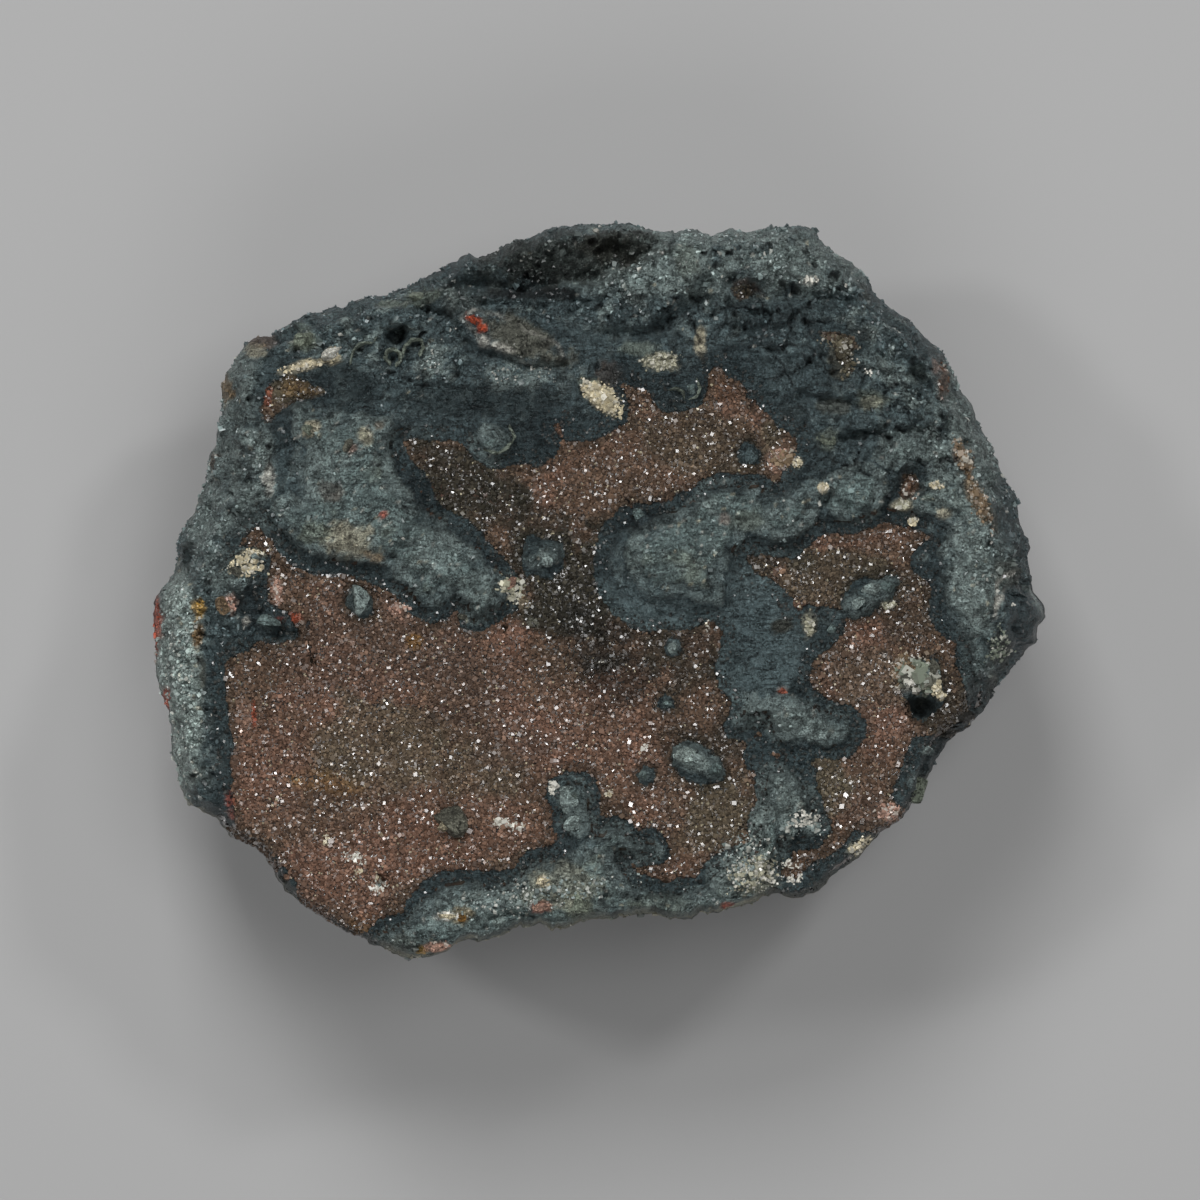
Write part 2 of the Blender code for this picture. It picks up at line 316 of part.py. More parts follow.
# Calcite groups: x, y, reach in x, reach in y
CALCITES = {
    "calcite_upper": (0.4, 25.6, 3.6, 2.6),
    "calcite_ledge": (8.2, 30.8, 3.2, 2.2),
    "calcite_druse_edge": (24.7, 17.9, 2.8, 2.2),
    "calcite_middle": (-11.2, -0.2, 2.8, 2.8),
    "calcite_vug": (42.8, -11.8, 3.2, 2.8),
    "calcite_lower_right": (19.6, -37.6, 3.6, 3.6),
    "calcite_corner": (37.8, -29.4, 2.8, 2.2),
    "calcite_left_shelf": (-47.8, 3.0, 2.8, 2.4)}

MATERIALS = {
    "manganese_ore": ((0.060, 0.075, 0.082), 0.0, 0.55),
    "rhodochrosite": ((0.115, 0.055, 0.040), 0.0, 0.35),
    "calcite": ((0.52, 0.47, 0.38), 0.0, 0.40)}


def drawn_width():
    """Width of the silhouette as it is drawn, in millimetres."""
    across = [point[0] for point in SILHOUETTE]
    return max(across) - min(across)


MM = SPECIMEN_WIDTH / drawn_width()


def outline_gap(points, outline, closed=True):
    """For each point, its distance to an outline and the nearest point on it."""
    corners = np.array(outline, float)
    start = corners if closed else corners[:-1]
    span = (np.roll(corners, -1, axis=0) if closed else corners[1:]) - start
    reach = points[:, None, :] - start[None]
    along = np.clip((reach * span).sum(2) / (span * span).sum(1), 0, 1)
    offset = reach - along[..., None] * span
    gap = np.sqrt((offset * offset).sum(2))
    best = gap.argmin(1)
    rows = np.arange(len(points))
    return gap[rows, best], points - offset[rows, best]


def inside(points, outline):
    """True for each point that lies inside a closed outline."""
    corners = np.array(outline, float)
    ends = np.roll(corners, -1, axis=0)
    x, y = points[:, :1], points[:, 1:]
    crosses = (corners[:, 1] > y) != (ends[:, 1] > y)
    rise = np.where(ends[:, 1] == corners[:, 1], 1e-9, ends[:, 1] - corners[:, 1])
    meets = corners[:, 0] + (y - corners[:, 1]) * (ends[:, 0] - corners[:, 0]) / rise
    return (crosses & (x < meets)).sum(1) % 2 == 1


def in_field(points, outline):
    """True inside one druse field, away from the bare spots."""
    covered = inside(points, outline)
    for spot in BARE_SPOTS.values():
        covered &= ~inside(points, spot)
    return covered


def druse_outlines():
    """Every outline that bounds a druse."""
    return [*FIELDS.values(), *BARE_SPOTS.values(), *POCKETS.values()]


def druse_gap(points):
    """Distance from each point to the nearest border of a druse."""
    return np.min([outline_gap(points, outline)[0] for outline in druse_outlines()], axis=0)


def on_druse(points):
    """True for each point that any druse covers."""
    covered = np.zeros(len(points), bool)
    for outline in [*FIELDS.values(), *POCKETS.values()]:
        covered |= in_field(points, outline)
    return covered


def silhouette_radius(angle):
    """Distance from the middle to the silhouette at each angle, in millimetres."""
    corners = np.array(SILHOUETTE, float)
    angles = np.arctan2(corners[:, 1], corners[:, 0])
    order = angles.argsort()
    return np.interp(angle, angles[order], np.hypot(*corners.T)[order], period=2 * math.pi)


def rim_slope(angle):
    """Width and drop of the slope from the face to the rim at each angle, in millimetres."""
    table = np.array(RIM, float)
    degrees = np.degrees(angle)
    return (np.interp(degrees, table[:, 0], table[:, 1], period=360),
            np.interp(degrees, table[:, 0], table[:, 2], period=360))


def bumps(spot, size, amount):
    """Rough natural variation at one spot: bumps of a size in millimetres, about an amount high."""
    return amount * noise.fractal(Vector(spot) / size, 0.9, 2.1, 3)


def rough(points, kind, layer=0.0):
    """The same for many points of the face, each layer with bumps of its own."""
    return np.array([bumps((x, y, layer), *kind) for x, y in points])


def swell_height(points):
    """Broad form of the face above its middle level."""
    x, y = points.T
    height = -FACE_BOW_X * (x / CALM_HALF_WIDTH) ** 2 - FACE_BOW_Y * (y / CALM_HALF_HEIGHT) ** 2
    for sx, sy, reach_x, reach_y, rise in SWELLS:
        height += rise * np.exp(-((x - sx) / reach_x) ** 2 - ((y - sy) / reach_y) ** 2)
    return height


def island_height(points, covered, border):
    """Rise of the rough islands, with slate skins that sweep down from them to the druse."""
    height = np.zeros(len(points))
    for name, outline in ISLANDS.items():
        gap = np.where(inside(points, outline), 0, outline_gap(points, outline)[0])
        share = (border / (border + gap + 1e-6)) ** 2
        top = ISLAND_HEIGHTS[name] * share * np.clip(border / ISLAND_SHOULDER, 0, 1)
        height = np.maximum(height, np.where(covered, 0, top))
    return height


def hollow_depth(points):
    """Depth of the hollow behind the top ledge: steep behind the lip, rising slowly to the back."""
    lip = outline_gap(points, HOLLOW_LIP, closed=False)[0]
    back = outline_gap(points, HOLLOW_RIM, closed=False)[0]
    within = inside(points, HOLLOW_LIP + HOLLOW_RIM[-2:0:-1])
    fall = HOLLOW_DEPTH * back / (back + lip + 1e-6) * np.clip(lip / HOLLOW_WALL, 0, 1)
    return np.where(within, fall, 0)


def small_forms(points):
    """Crevices, knobs, holes and the lens-shaped flake."""
    height = np.zeros(len(points))
    for width, depth, route in CREVICES:
        gap = outline_gap(points, route, closed=False)[0]
        height -= depth * np.exp(-(gap / width) ** 2)
    for lx, ly, radius, rise in LUMPS:
        distance = np.hypot(points[:, 0] - lx, points[:, 1] - ly)
        height += rise * np.clip(1 - (distance / radius) ** 2, 0, 1) ** 0.5
    for px, py, radius, depth in PITS:
        distance = np.hypot(points[:, 0] - px, points[:, 1] - py)
        height -= depth * np.exp(-(distance / radius) ** 2)
    gap = outline_gap(points, FLAKE)[0]
    return height + np.where(inside(points, FLAKE), np.clip(gap / FLAKE_SHOULDER, 0, 1) * FLAKE_RISE, 0)


def face_height(points, rim_gap, angle):
    """Height of the rock's face above its base at each point, in millimetres."""
    covered = on_druse(points)
    border = druse_gap(points)
    width, drop = rim_slope(angle)
    slope = np.clip(1 - rim_gap / width, 0, 1) ** 1.5
    height = FACE_LEVEL / MM + swell_height(points) - drop * slope
    height += island_height(points, covered, border) * (1 - slope)
    height += (small_forms(points) - hollow_depth(points)) * (1 - slope)
    bare = np.clip(border / BARE_FADE, 0, 1) * ~covered
    height += rough(points, BROAD_BUMPS) + rough(points, FINE_BUMPS, 20.0) * bare
    return height - BED_DEPTH / MM * (covered & (border > 0.05))


def square_to_disc(u, v):
    """Map the square from -1 to 1 onto the unit disc: distance from the middle and angle."""
    x = u * np.sqrt(1 - v * v / 2)
    y = v * np.sqrt(1 - u * u / 2)
    return np.hypot(x, y), np.arctan2(y, x)


def calm_radius(angle):
    """Distance from the middle to the calm ellipse at each angle, in millimetres."""
    across = np.hypot(CALM_HALF_HEIGHT * np.cos(angle), CALM_HALF_WIDTH * np.sin(angle))
    return CALM_HALF_WIDTH * CALM_HALF_HEIGHT / across


def place_on_face(share, angle):
    """Points of the face, in millimetres, from their share of the way to the rim and their angle."""
    calm = calm_radius(angle)
    reach = share * (calm + (silhouette_radius(angle) - calm) * share ** 3)
    return np.stack([reach * np.cos(angle), reach * np.sin(angle)], axis=1)


def snap_to_outlines(points, share):
    """Move the points near a druse border onto it, so that the crust ends where it should."""
    moved = points.copy()
    taken = np.full(len(points), SNAP_REACH)
    for outline in druse_outlines():
        gap, nearest = outline_gap(points, outline)
        close = (gap < taken) & (share < RIM_SHARE)
        moved[close] = nearest[close]
        taken[close] = gap[close]
    return moved


def cut_along(bm, axis, parts):
    """Cut every edge that runs along an axis into equal parts."""
    edges = []
    for edge in bm.edges:
        run = edge.verts[0].co - edge.verts[1].co
        if abs(run[axis]) > 1e-5 and abs(run[axis - 1]) < 1e-5 and abs(run[axis - 2]) < 1e-5:
            edges.append(edge)
    bmesh.ops.subdivide_edges(bm, edges=edges, cuts=parts - 1, use_grid_fill=True)


def side_reach(angle, height, down):
    """Distance from the middle to the broken side of the rock, in millimetres.

    It is read at an angle and a height; down runs from 0 at the rim of the face to 1 at the base.
    """
    rim = float(silhouette_radius(angle))
    reach = rim + (min(float(calm_radius(angle)), rim) * BASE_SHARE - rim) * down
    for degrees, lean, cut in FRACTURES:
        facing = math.radians(degrees)
        turn = math.cos(angle - facing)
        if turn > FACING_LIMIT:
            foot = float(silhouette_radius(facing)) - cut
            reach = min(reach, (foot + height * math.tan(math.radians(lean))) / turn)
    spot = (reach * math.cos(angle), reach * math.sin(angle), height)
    return reach + bumps(spot, *SIDE_BUMPS) * min(1, 3 * down)


def make_cube():
    """A cube of fine faces, and its corners sorted into those of the top and the rest."""
    bm = bmesh.new()
    bmesh.ops.create_cube(bm, size=2)
    cut_along(bm, 0, GRID_ACROSS)
    cut_along(bm, 1, GRID_UP)
    cut_along(bm, 2, GRID_DEEP)
    top = [vert for vert in bm.verts if vert.co.z > 1 - 1e-5]
    rest = [vert for vert in bm.verts if vert.co.z < 1 - 1e-5]
    return bm, top, rest


def shape_face(top):
    """Lay the top corners out as the face of the rock, and return its rim as angles and heights."""
    u, v = np.array([vert.co.xy for vert in top]).T
    share, angle = square_to_disc(u, v)
    points = snap_to_outlines(place_on_face(share, angle), share)
    angle = np.arctan2(points[:, 1], points[:, 0])
    rim_gap = silhouette_radius(angle) - np.hypot(*points.T)
    heights = face_height(points, rim_gap, angle)
    for vert, (x, y), z in zip(top, points, heights):
        vert.co = Vector((x, y, z)) * MM
    rim = np.flatnonzero(share > 1 - 1e-5)
    rim = rim[angle[rim].argsort()]
    return angle[rim], heights[rim]


def shape_sides(rest, rim_angles, rim_heights):
    """Lay the other corners out as the broken sides and the flat base."""
    for vert in rest:
        share, angle = square_to_disc(vert.co.x, vert.co.y)
        down = (1 - vert.co.z) / 2
        height = float(np.interp(angle, rim_angles, rim_heights, period=2 * math.pi)) * (1 - down)
        reach = side_reach(float(angle), height, down) * share
        vert.co = Vector((reach * math.cos(angle), reach * math.sin(angle), height)) * MM


def make_rock_mesh():
    """A cube of fine faces, pressed into the shape of the rock."""
    bm, top, rest = make_cube()
    rim_angles, rim_heights = shape_face(top)
    shape_sides(rest, rim_angles, rim_heights)
    top_verts = set(top)
    top_faces = [face for face in bm.faces if all(vert in top_verts for vert in face.verts)]
    bmesh.ops.triangulate(bm, faces=top_faces, quad_method="BEAUTY")
    flat = [face for face in bm.faces if all(vert.co.z < 1e-7 for vert in face.verts)]
    bmesh.ops.dissolve_faces(bm, faces=flat, use_verts=False)
    bm.faces.ensure_lookup_table()
    bm.normal_update()
    bm.faces.index_update()
    return bm


def pick_faces(bm, test, taken):
    """Upward faces whose middle passes a test and that no other crust has taken."""
    faces = [face for face in bm.faces if face.index not in taken and face.normal.z > CRUST_SLOPE
             and face.calc_center_median().z > CRUST_FLOOR]
    middles = np.array([face.calc_center_median().xy for face in faces]) / MM
    return {face.index for face, chosen in zip(faces, test(middles)) if chosen}


def drop_corner_contacts(bm, chosen):
    """The chosen faces without those that touch the others at a corner only."""
    changed = True
    while changed:
        changed = False
        for vert in bm.verts:
            fans = edge_groups([face for face in vert.link_faces if face.index in chosen], vert)
            for fan in sorted(fans, key=len)[:-1]:
                chosen = chosen - {face.index for face in fan}
                changed = True
    return chosen


def largest_patch(bm, chosen):
    """The largest set of chosen faces that hang together by their edges."""
    left = set(drop_corner_contacts(bm, chosen))
    groups = []
    while left:
        queue = [left.pop()]
        group = set(queue)
        while queue:
            for edge in bm.faces[queue.pop()].edges:
                near = {face.index for face in edge.link_faces} & left
                left -= near
                group |= near
                queue.extend(near)
        groups.append(group)
    return max(groups, key=len)


def edge_groups(ring, vert):
    """Split the chosen faces round a corner into fans that share edges at that corner."""
    fans = []
    left = list(ring)
    while left:
        fan, queue = [left[0]], [left.pop(0)]
        while queue:
            face = queue.pop()
            for edge in face.edges:
                if vert not in edge.verts:
                    continue
                for other in edge.link_faces:
                    if other in left:
                        left.remove(other)
                        fan.append(other)
                        queue.append(other)
        fans.append(fan)
    return fans


def grow_crust(rock, chosen, cuts, thickness):
    """A closed crust that follows the chosen faces of the rock, a little above them."""
    bm = rock.copy()
    bm.faces.ensure_lookup_table()
    others = [face for face in bm.faces if face.index not in chosen]
    bmesh.ops.delete(bm, geom=others, context="FACES")
    ring = bmesh.ops.inset_region(bm, faces=bm.faces[:], thickness=CRUST_INSET, use_boundary=True,
                                  use_even_offset=False)["faces"]
    bmesh.ops.delete(bm, geom=ring, context="FACES")
    if cuts:
        bmesh.ops.subdivide_edges(bm, edges=bm.edges[:], cuts=cuts, use_grid_fill=True)
    bmesh.ops.translate(bm, verts=bm.verts[:], vec=(0, 0, CRUST_GAP))
    grown = bmesh.ops.extrude_face_region(bm, geom=bm.faces[:], use_keep_orig=True)["geom"]
    tips = [item for item in grown if isinstance(item, bmesh.types.BMVert)]
    top_faces = {item for item in grown if isinstance(item, bmesh.types.BMFace)}
    for vert in tips:
        at_edge = any(face not in top_faces for face in vert.link_faces)
        vert.co.z += thickness(at_edge)
    bmesh.ops.recalc_face_normals(bm, faces=bm.faces[:])
    return bm


def make_material(name):
    """Principled material of one finish."""
    colour, metallic, roughness = MATERIALS[name]
    material = bpy.data.materials.new(name)
    material.use_nodes = True
    shader = material.node_tree.nodes["Principled BSDF"]
    shader.inputs["Base Color"].default_value = (*colour, 1)
    shader.inputs["Metallic"].default_value = metallic
    shader.inputs["Roughness"].default_value = roughness
    return material


def add_object(name, bm, material, collection):
    """Turn a bmesh into a named object with its material."""
    mesh = bpy.data.meshes.new(name)
    bm.to_mesh(mesh)
    bm.free()
    mesh.materials.append(material)
    collection.objects.link(bpy.data.objects.new(name, mesh))


def clear_scene():
    """Remove whatever objects the file already holds."""
    for item in list(bpy.data.objects):
        bpy.data.objects.remove(item)


def crust_plan(rock):
    """The faces each crust grows on: name, faces, and whether it is calcite."""
    plan = []
    taken = set()
    for name, (cx, cy, reach_x, reach_y) in CALCITES.items():
        def near(middles):
            return ((((middles - (cx, cy)) / (reach_x, reach_y)) ** 2).sum(1)) < 1
        plan.append((name, largest_patch(rock, pick_faces(rock, near, taken)), True))
        taken |= plan[-1][1]
    for name, outline in {**POCKETS, **FIELDS}.items():
        def within(middles):
            return in_field(middles, outline)
        plan.append((name, largest_patch(rock, pick_faces(rock, within, taken)), False))
        taken |= plan[-1][1]
    return plan


def main():
    """Build the rock, then each crust on the faces of the rock it has grown on."""
    clear_scene()
    chance = random.Random(SEED)
    collection = bpy.data.collections.new("rhodochrosite_specimen")
    bpy.context.scene.collection.children.link(collection)
    finishes = {name: make_material(name) for name in MATERIALS}
    rock = make_rock_mesh()

    def druse_thickness(at_edge):
        if at_edge:
            return CRUST_EDGE
        return CRUST_THICKNESS + CRYSTAL_SWING * chance.uniform(-1, 1)

    def calcite_thickness(at_edge):
        if at_edge:
            return CALCITE_THICKNESS / 2
        return CALCITE_THICKNESS + CALCITE_SWING * chance.uniform(0, 1)

    for name, patch, is_calcite in crust_plan(rock):
        thickness = calcite_thickness if is_calcite else druse_thickness
        cuts = 0 if name in FIELDS else 1
        finish = finishes["calcite" if is_calcite else "rhodochrosite"]
        add_object(name, grow_crust(rock, patch, cuts, thickness), finish, collection)
    add_object("matrix", rock, finishes["manganese_ore"], collection)


main()
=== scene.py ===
"""The dressed rhodochrosite specimen: a red-brown druse on a lump of dark manganese ore.

The specimen lies on its back. The face with the crystals looks up, along +Z, with +X to the right of the
face and +Y to its top. Places on the face are drawn in millimetres from the middle of the base. One relief
gives the height of every place, so that the ore, the druse and the small crystals share a surface.
"""

import itertools
import logging
import math
from collections.abc import Iterable, Iterator
from dataclasses import dataclass
from enum import Enum

import bmesh
import bpy
import numpy as np
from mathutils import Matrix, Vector

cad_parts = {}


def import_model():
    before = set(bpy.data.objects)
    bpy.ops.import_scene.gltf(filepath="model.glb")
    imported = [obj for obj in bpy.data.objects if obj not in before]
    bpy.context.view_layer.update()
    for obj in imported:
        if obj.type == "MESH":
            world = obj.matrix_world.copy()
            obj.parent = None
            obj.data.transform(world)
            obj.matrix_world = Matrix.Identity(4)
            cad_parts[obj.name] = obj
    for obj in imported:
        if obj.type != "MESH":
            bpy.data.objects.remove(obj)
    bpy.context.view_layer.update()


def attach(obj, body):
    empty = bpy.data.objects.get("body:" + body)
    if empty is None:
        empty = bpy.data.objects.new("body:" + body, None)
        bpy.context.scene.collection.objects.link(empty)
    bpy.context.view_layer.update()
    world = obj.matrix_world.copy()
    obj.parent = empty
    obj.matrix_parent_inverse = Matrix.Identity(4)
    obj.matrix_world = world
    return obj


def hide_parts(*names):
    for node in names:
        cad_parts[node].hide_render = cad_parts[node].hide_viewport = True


LOG = logging.getLogger("rhodochrosite")
Points = np.ndarray
Corner = tuple[float, float]
Patches = tuple[tuple[float, ...], ...]

SPECIMEN_WIDTH = 0.1205      # across the face, in metres
CALM_HALF_WIDTH = 60.0       # the ellipse that the inner part of the face is laid out on
CALM_HALF_HEIGHT = 49.0
FLAKE_RISE = 0.9             # of the lens-shaped flake, in millimetres
FAR_CELL = 9.0               # farther than any neighbouring cell, in cells
TINY = 1e-6                  # keeps a share defined where both of its parts are 0
NIL = 1e-5                   # lengths below this count as none

# Edge of the whole specimen, seen from above, in millimetres
SILHOUETTE: tuple[Corner, ...] = (
    (-55.3, 10), (-54.2, 12), (-53.5, 14), (-53, 16), (-52.5, 18), (-51.8, 20), (-51.4, 22), (-51, 24.5),
    (-50.8, 27.5), (-50.1, 29.5), (-49, 31.5), (-48, 33), (-46.8, 34.2), (-45.4, 34.5), (-44.6, 34.3),
    (-43, 35.3), (-41.5, 36.3), (-40, 36.9), (-38, 37.4), (-35.4, 38.2), (-34.5, 37.9), (-33.5, 38.8),
    (-31, 39.6), (-28.2, 40.1), (-27, 40.7), (-25.3, 41.2), (-24, 42.1), (-21.7, 43), (-20.3, 44.1),
    (-19, 44.9), (-17.5, 45.5), (-16.8, 44.9), (-15.4, 44.9), (-14, 45.8), (-12, 46.9), (-11.3, 47.5),
    (-10, 47.3), (-8, 48), (-5.2, 49), (0, 49.2), (2, 49.4), (4, 49.3), (7, 48.5), (10.2, 48.3), (11, 48.7),
    (13, 48.5), (15, 47.6), (17.5, 48.7), (20, 48.2), (24, 49), (27, 49.3), (28.8, 48.6), (29.3, 47.5),
    (30.2, 46.4), (32.5, 45), (34.8, 43.4), (36.3, 41.9), (36.9, 40), (39, 38.2), (41.3, 36.8),
    (42.6, 35.2), (44.5, 33.3), (46.3, 31.8), (47.6, 30), (48.3, 27.5), (50, 24.8), (51.5, 21.5),
    (53, 19.3), (52.9, 18.2), (54.5, 15.3), (55.6, 13.4), (56.2, 12), (56.3, 10.2), (56.7, 8.6), (57.7, 7),
    (57.7, 4.5), (57.8, 3), (58.1, 1.2), (59, -0.8), (60, -2.6), (60.2, -3.3), (59.1, -4.8), (58.8, -6.9),
    (57.8, -7.4), (57.5, -8.4), (55.7, -9.8), (54.5, -11.3), (52.9, -13.3), (52.5, -14.8), (51.8, -16),
    (50.4, -17.3), (50, -18), (48, -19.2), (46.2, -21.3), (44.9, -23), (43.9, -25), (43, -27.3),
    (41.7, -29), (40.7, -30.6), (39, -31.8), (37.8, -32.3), (37.3, -33.2), (35.5, -34.8), (34.7, -35.7),
    (33, -37), (31, -38.6), (29, -40.2), (27, -41.1), (26, -41.3), (24, -40.6), (22, -40.8), (20, -42.1),
    (18.5, -42.1), (16, -43.1), (13.5, -43.3), (12, -44), (10, -44), (8.5, -43.9), (7.5, -43.2),
    (6.6, -43.5), (4, -43.4), (0, -44), (-2.5, -44.4), (-4.5, -45.3), (-6.6, -45.5), (-8, -44.6),
    (-10, -45.2), (-11, -45), (-13.5, -46.3), (-16.5, -47.1), (-18, -47), (-19.5, -47.5), (-20.5, -48.4),
    (-22.5, -49), (-26, -49.3), (-28, -48.8), (-28.7, -48), (-31.2, -46.9), (-33, -46.3), (-34.8, -45.4),
    (-36.2, -44.8), (-38.5, -43), (-40, -42), (-42, -40.3), (-43.8, -38), (-45, -35.7), (-46.3, -34.7),
    (-48, -34), (-49.5, -33), (-51.5, -30.9), (-53.8, -29.3), (-55.9, -28.5), (-56.8, -26), (-56.9, -24),
    (-57.7, -21), (-57.9, -18.5), (-58.4, -16), (-59.2, -14), (-59.6, -12), (-60, -8.5), (-59.9, -5),
    (-60.3, -3), (-60.2, -1.5), (-59.5, 0), (-58.3, 1.4), (-57.4, 3), (-56.9, 5), (-56.6, 7.3), (-55.8, 9))

# Border of the large druse field
DRUSE: tuple[Corner, ...] = (
    (-26.9, 20.8), (-25, 21.3), (-23, 21.2), (-19, 21), (-17.8, 20.4), (-17.3, 19.4), (-16.5, 18.6),
    (-15, 17.6), (-13, 17.3), (-10.5, 18), (-9.5, 18.2), (-8.5, 17.6), (-7, 18.3), (-6.2, 19.4), (-6, 20.3),
    (-6.7, 21.3), (-7.1, 22.3), (-6.5, 23), (-5.5, 23.4), (-4.4, 23.2), (-4, 22), (-3.9, 21), (-2.6, 20.8),
    (-1.2, 21.1), (0.3, 22), (1.8, 22.5), (3, 23.2), (3.2, 24.5), (2.6, 26), (2, 27.2), (1.8, 28.6),
    (2.5, 29.4), (3.5, 28.9), (4.6, 28.2), (7.3, 27.8), (8, 27), (8, 26), (8.6, 25.2), (9.8, 24.8),
    (12.6, 25.2), (13.5, 26.4), (13.9, 29.6), (14.4, 30.6), (15.4, 31), (16.4, 30.9), (17.4, 30),
    (19.5, 28.6), (20.4, 27.4), (21, 26.2), (22, 25), (23, 24), (24, 22.8), (26, 22), (27.2, 21.2),
    (27.6, 20.2), (27.2, 19), (25.8, 16.4), (25, 15.2), (24.2, 14.2), (23, 13.8), (21.4, 14.8),
    (18.5, 14.9), (15.8, 14.8), (14.2, 14.1), (12, 12.7), (9.5, 11.3), (7.5, 10.6), (5.5, 10.8),
    (3.2, 10.6), (2, 9.6), (1.2, 8.2), (0.5, 6), (0, 3.6), (0.1, 1.5), (1, -0.9), (2.6, -2.5), (4.5, -3.8),
    (6.5, -4.6), (9, -4.1), (12, -4), (14.2, -3.1), (15.4, -3.2), (16.6, -4.3), (17.6, -5.4), (16.9, -6.6),
    (16.6, -9), (16.2, -10.4), (16.7, -12.2), (17.8, -13.6), (19.3, -14.8), (18, -16.3), (17, -17.8),
    (17.4, -18.7), (19.2, -19.1), (20.3, -18.4), (20.6, -17), (21.7, -16.8), (22.3, -18.6), (22.6, -20),
    (23.8, -20.6), (25, -21.5), (28.5, -22), (31.5, -21.6), (33.8, -20.9), (34.6, -19.4), (34.5, -17.4),
    (33.2, -16), (30, -15.4), (28, -13.8), (27.2, -12), (27.6, -10), (28.3, -8.2), (30.3, -7), (31.8, -5.2),
    (31.6, -3.6), (30.4, -3), (28.3, -2.4), (26.2, -3.3), (25.3, -3), (24.8, -1.4), (23.4, -0.4), (22.2, 1),
    (20.8, 1.3), (19.6, 1.9), (19.1, 3.6), (18.4, 5.2), (19.6, 5.7), (22.5, 5.5), (25.5, 5.4), (26.6, 6.1),
    (28, 7.5), (29.8, 8.6), (32.5, 8.6), (35, 9.2), (38.2, 10), (41.2, 9.8), (43.4, 8.9), (45.5, 8),
    (45.3, 7), (43.5, 5.7), (42.3, 4.4), (42.4, 3.1), (44.4, 2.2), (45.1, 0.8), (45, -1.2), (45.3, -4),
    (46.3, -5.2), (47.9, -6.2), (48.4, -7.8), (48.5, -9.8), (49.8, -12.2), (50.3, -14.2), (50.2, -16.6),
    (49.3, -17.8), (47.6, -18.8), (46.3, -20.2), (44, -20), (42.4, -20.2), (41.8, -21.8), (40.6, -24.6),
    (40.3, -27), (40.7, -28.8), (40.2, -30.2), (38.4, -31.2), (36.6, -32.2), (34.5, -33), (33.3, -34.7),
    (31.2, -36.4), (28.8, -37.2), (27.4, -38.9), (25.6, -39.3), (23.8, -38.8), (23, -37.6), (23.6, -36.4),
    (24.7, -35.3), (24.7, -33.6), (27, -33.8), (29, -33.4), (29.8, -31.8), (29.5, -30), (28.8, -27.8),
    (28, -26.2), (28.2, -24.6), (27, -23.4), (25.2, -22.9), (23.4, -23.3), (22.4, -22.5), (21.9, -20.7),
    (20.6, -20.4), (20, -21.6), (20.3, -23.1), (21.8, -24), (21.4, -26.2), (21.7, -27.6), (20.9, -30),
    (20.9, -33.5), (20.2, -34.7), (17.2, -35), (15.4, -36.3), (14.2, -38), (13.4, -39), (11.3, -39.2),
    (8.7, -39.9), (6.4, -39.2), (4.8, -38.5), (3.7, -37), (2.6, -35.6), (4.2, -35.2), (5.4, -35.8),
    (7.6, -36), (8.5, -34.9), (8, -33.4), (6.4, -32.8), (4.8, -32.7), (3.6, -31.5), (2.4, -30.9),
    (0.9, -31.4), (-0.2, -31.9), (-0.6, -30), (-0.8, -27.2), (-1.3, -25.7), (-2.4, -24.8), (-4.5, -24.8),
    (-6, -25.6), (-6.4, -27.4), (-5.4, -29.2), (-5.3, -31), (-4.9, -32.8), (-5.1, -34.4), (-6.4, -35.1),
    (-9.4, -35.4), (-10.3, -36.4), (-10.8, -37.6), (-12.8, -38.3), (-15.6, -38.4), (-18.5, -38),
    (-21.3, -38.5), (-23.3, -39.8), (-24.6, -41.3), (-26, -43.2), (-28.2, -44.6), (-30.2, -45.4),
    (-31.4, -46.5), (-33, -45.8), (-34.5, -44.9), (-36.3, -44.2), (-37.6, -43.1), (-39.2, -42.2),
    (-40.2, -41), (-41.6, -39.3), (-43.4, -36.8), (-44.6, -35.3), (-46, -34.3), (-47.8, -33.7),
    (-49.2, -32.6), (-49.9, -30.5), (-49.9, -27), (-50.3, -23.2), (-50, -20), (-50.9, -17.5),
    (-51.2, -14.5), (-51.3, -11.5), (-51, -9.1), (-50.2, -8), (-47.8, -7.1), (-45.8, -6.1), (-43, -6.1),
    (-41.2, -5.5), (-41.8, -4.6), (-42.4, -3.4), (-44.2, -2.5), (-45.2, -1.6), (-45.4, 0.5), (-45.2, 3),
    (-45, 4.4), (-46.2, 5.1), (-48.6, 5), (-49.4, 4.7), (-49, 6.3), (-47.6, 8.2), (-46.3, 9.8),
    (-45.4, 10.2), (-44.7, 8.8), (-43.3, 7.5), (-42, 5.6), (-40.8, 4.1), (-38.6, 3.1), (-35, 3.3),
    (-31.2, 2.5), (-29, 1.2), (-27, 0.3), (-25.4, -1.2), (-24.6, -2.5), (-22.7, -3.2), (-20.9, -2.9),
    (-19.4, -1.7), (-18.5, -2.2), (-17.8, -4), (-16.4, -4.6), (-14.8, -3.7), (-12.9, -2.4), (-11.8, -1.9),
    (-11.8, -0.4), (-11.4, 1), (-12, 2), (-12.8, 3.4), (-13.8, 4.6), (-15.6, 6.2), (-16.6, 7.4), (-18.2, 9),
    (-20, 9.7), (-21.6, 10.6), (-22.8, 12.2), (-23.3, 14.2), (-24.2, 15.8), (-26, 17), (-26.9, 18.3),
    (-27.2, 19.6))

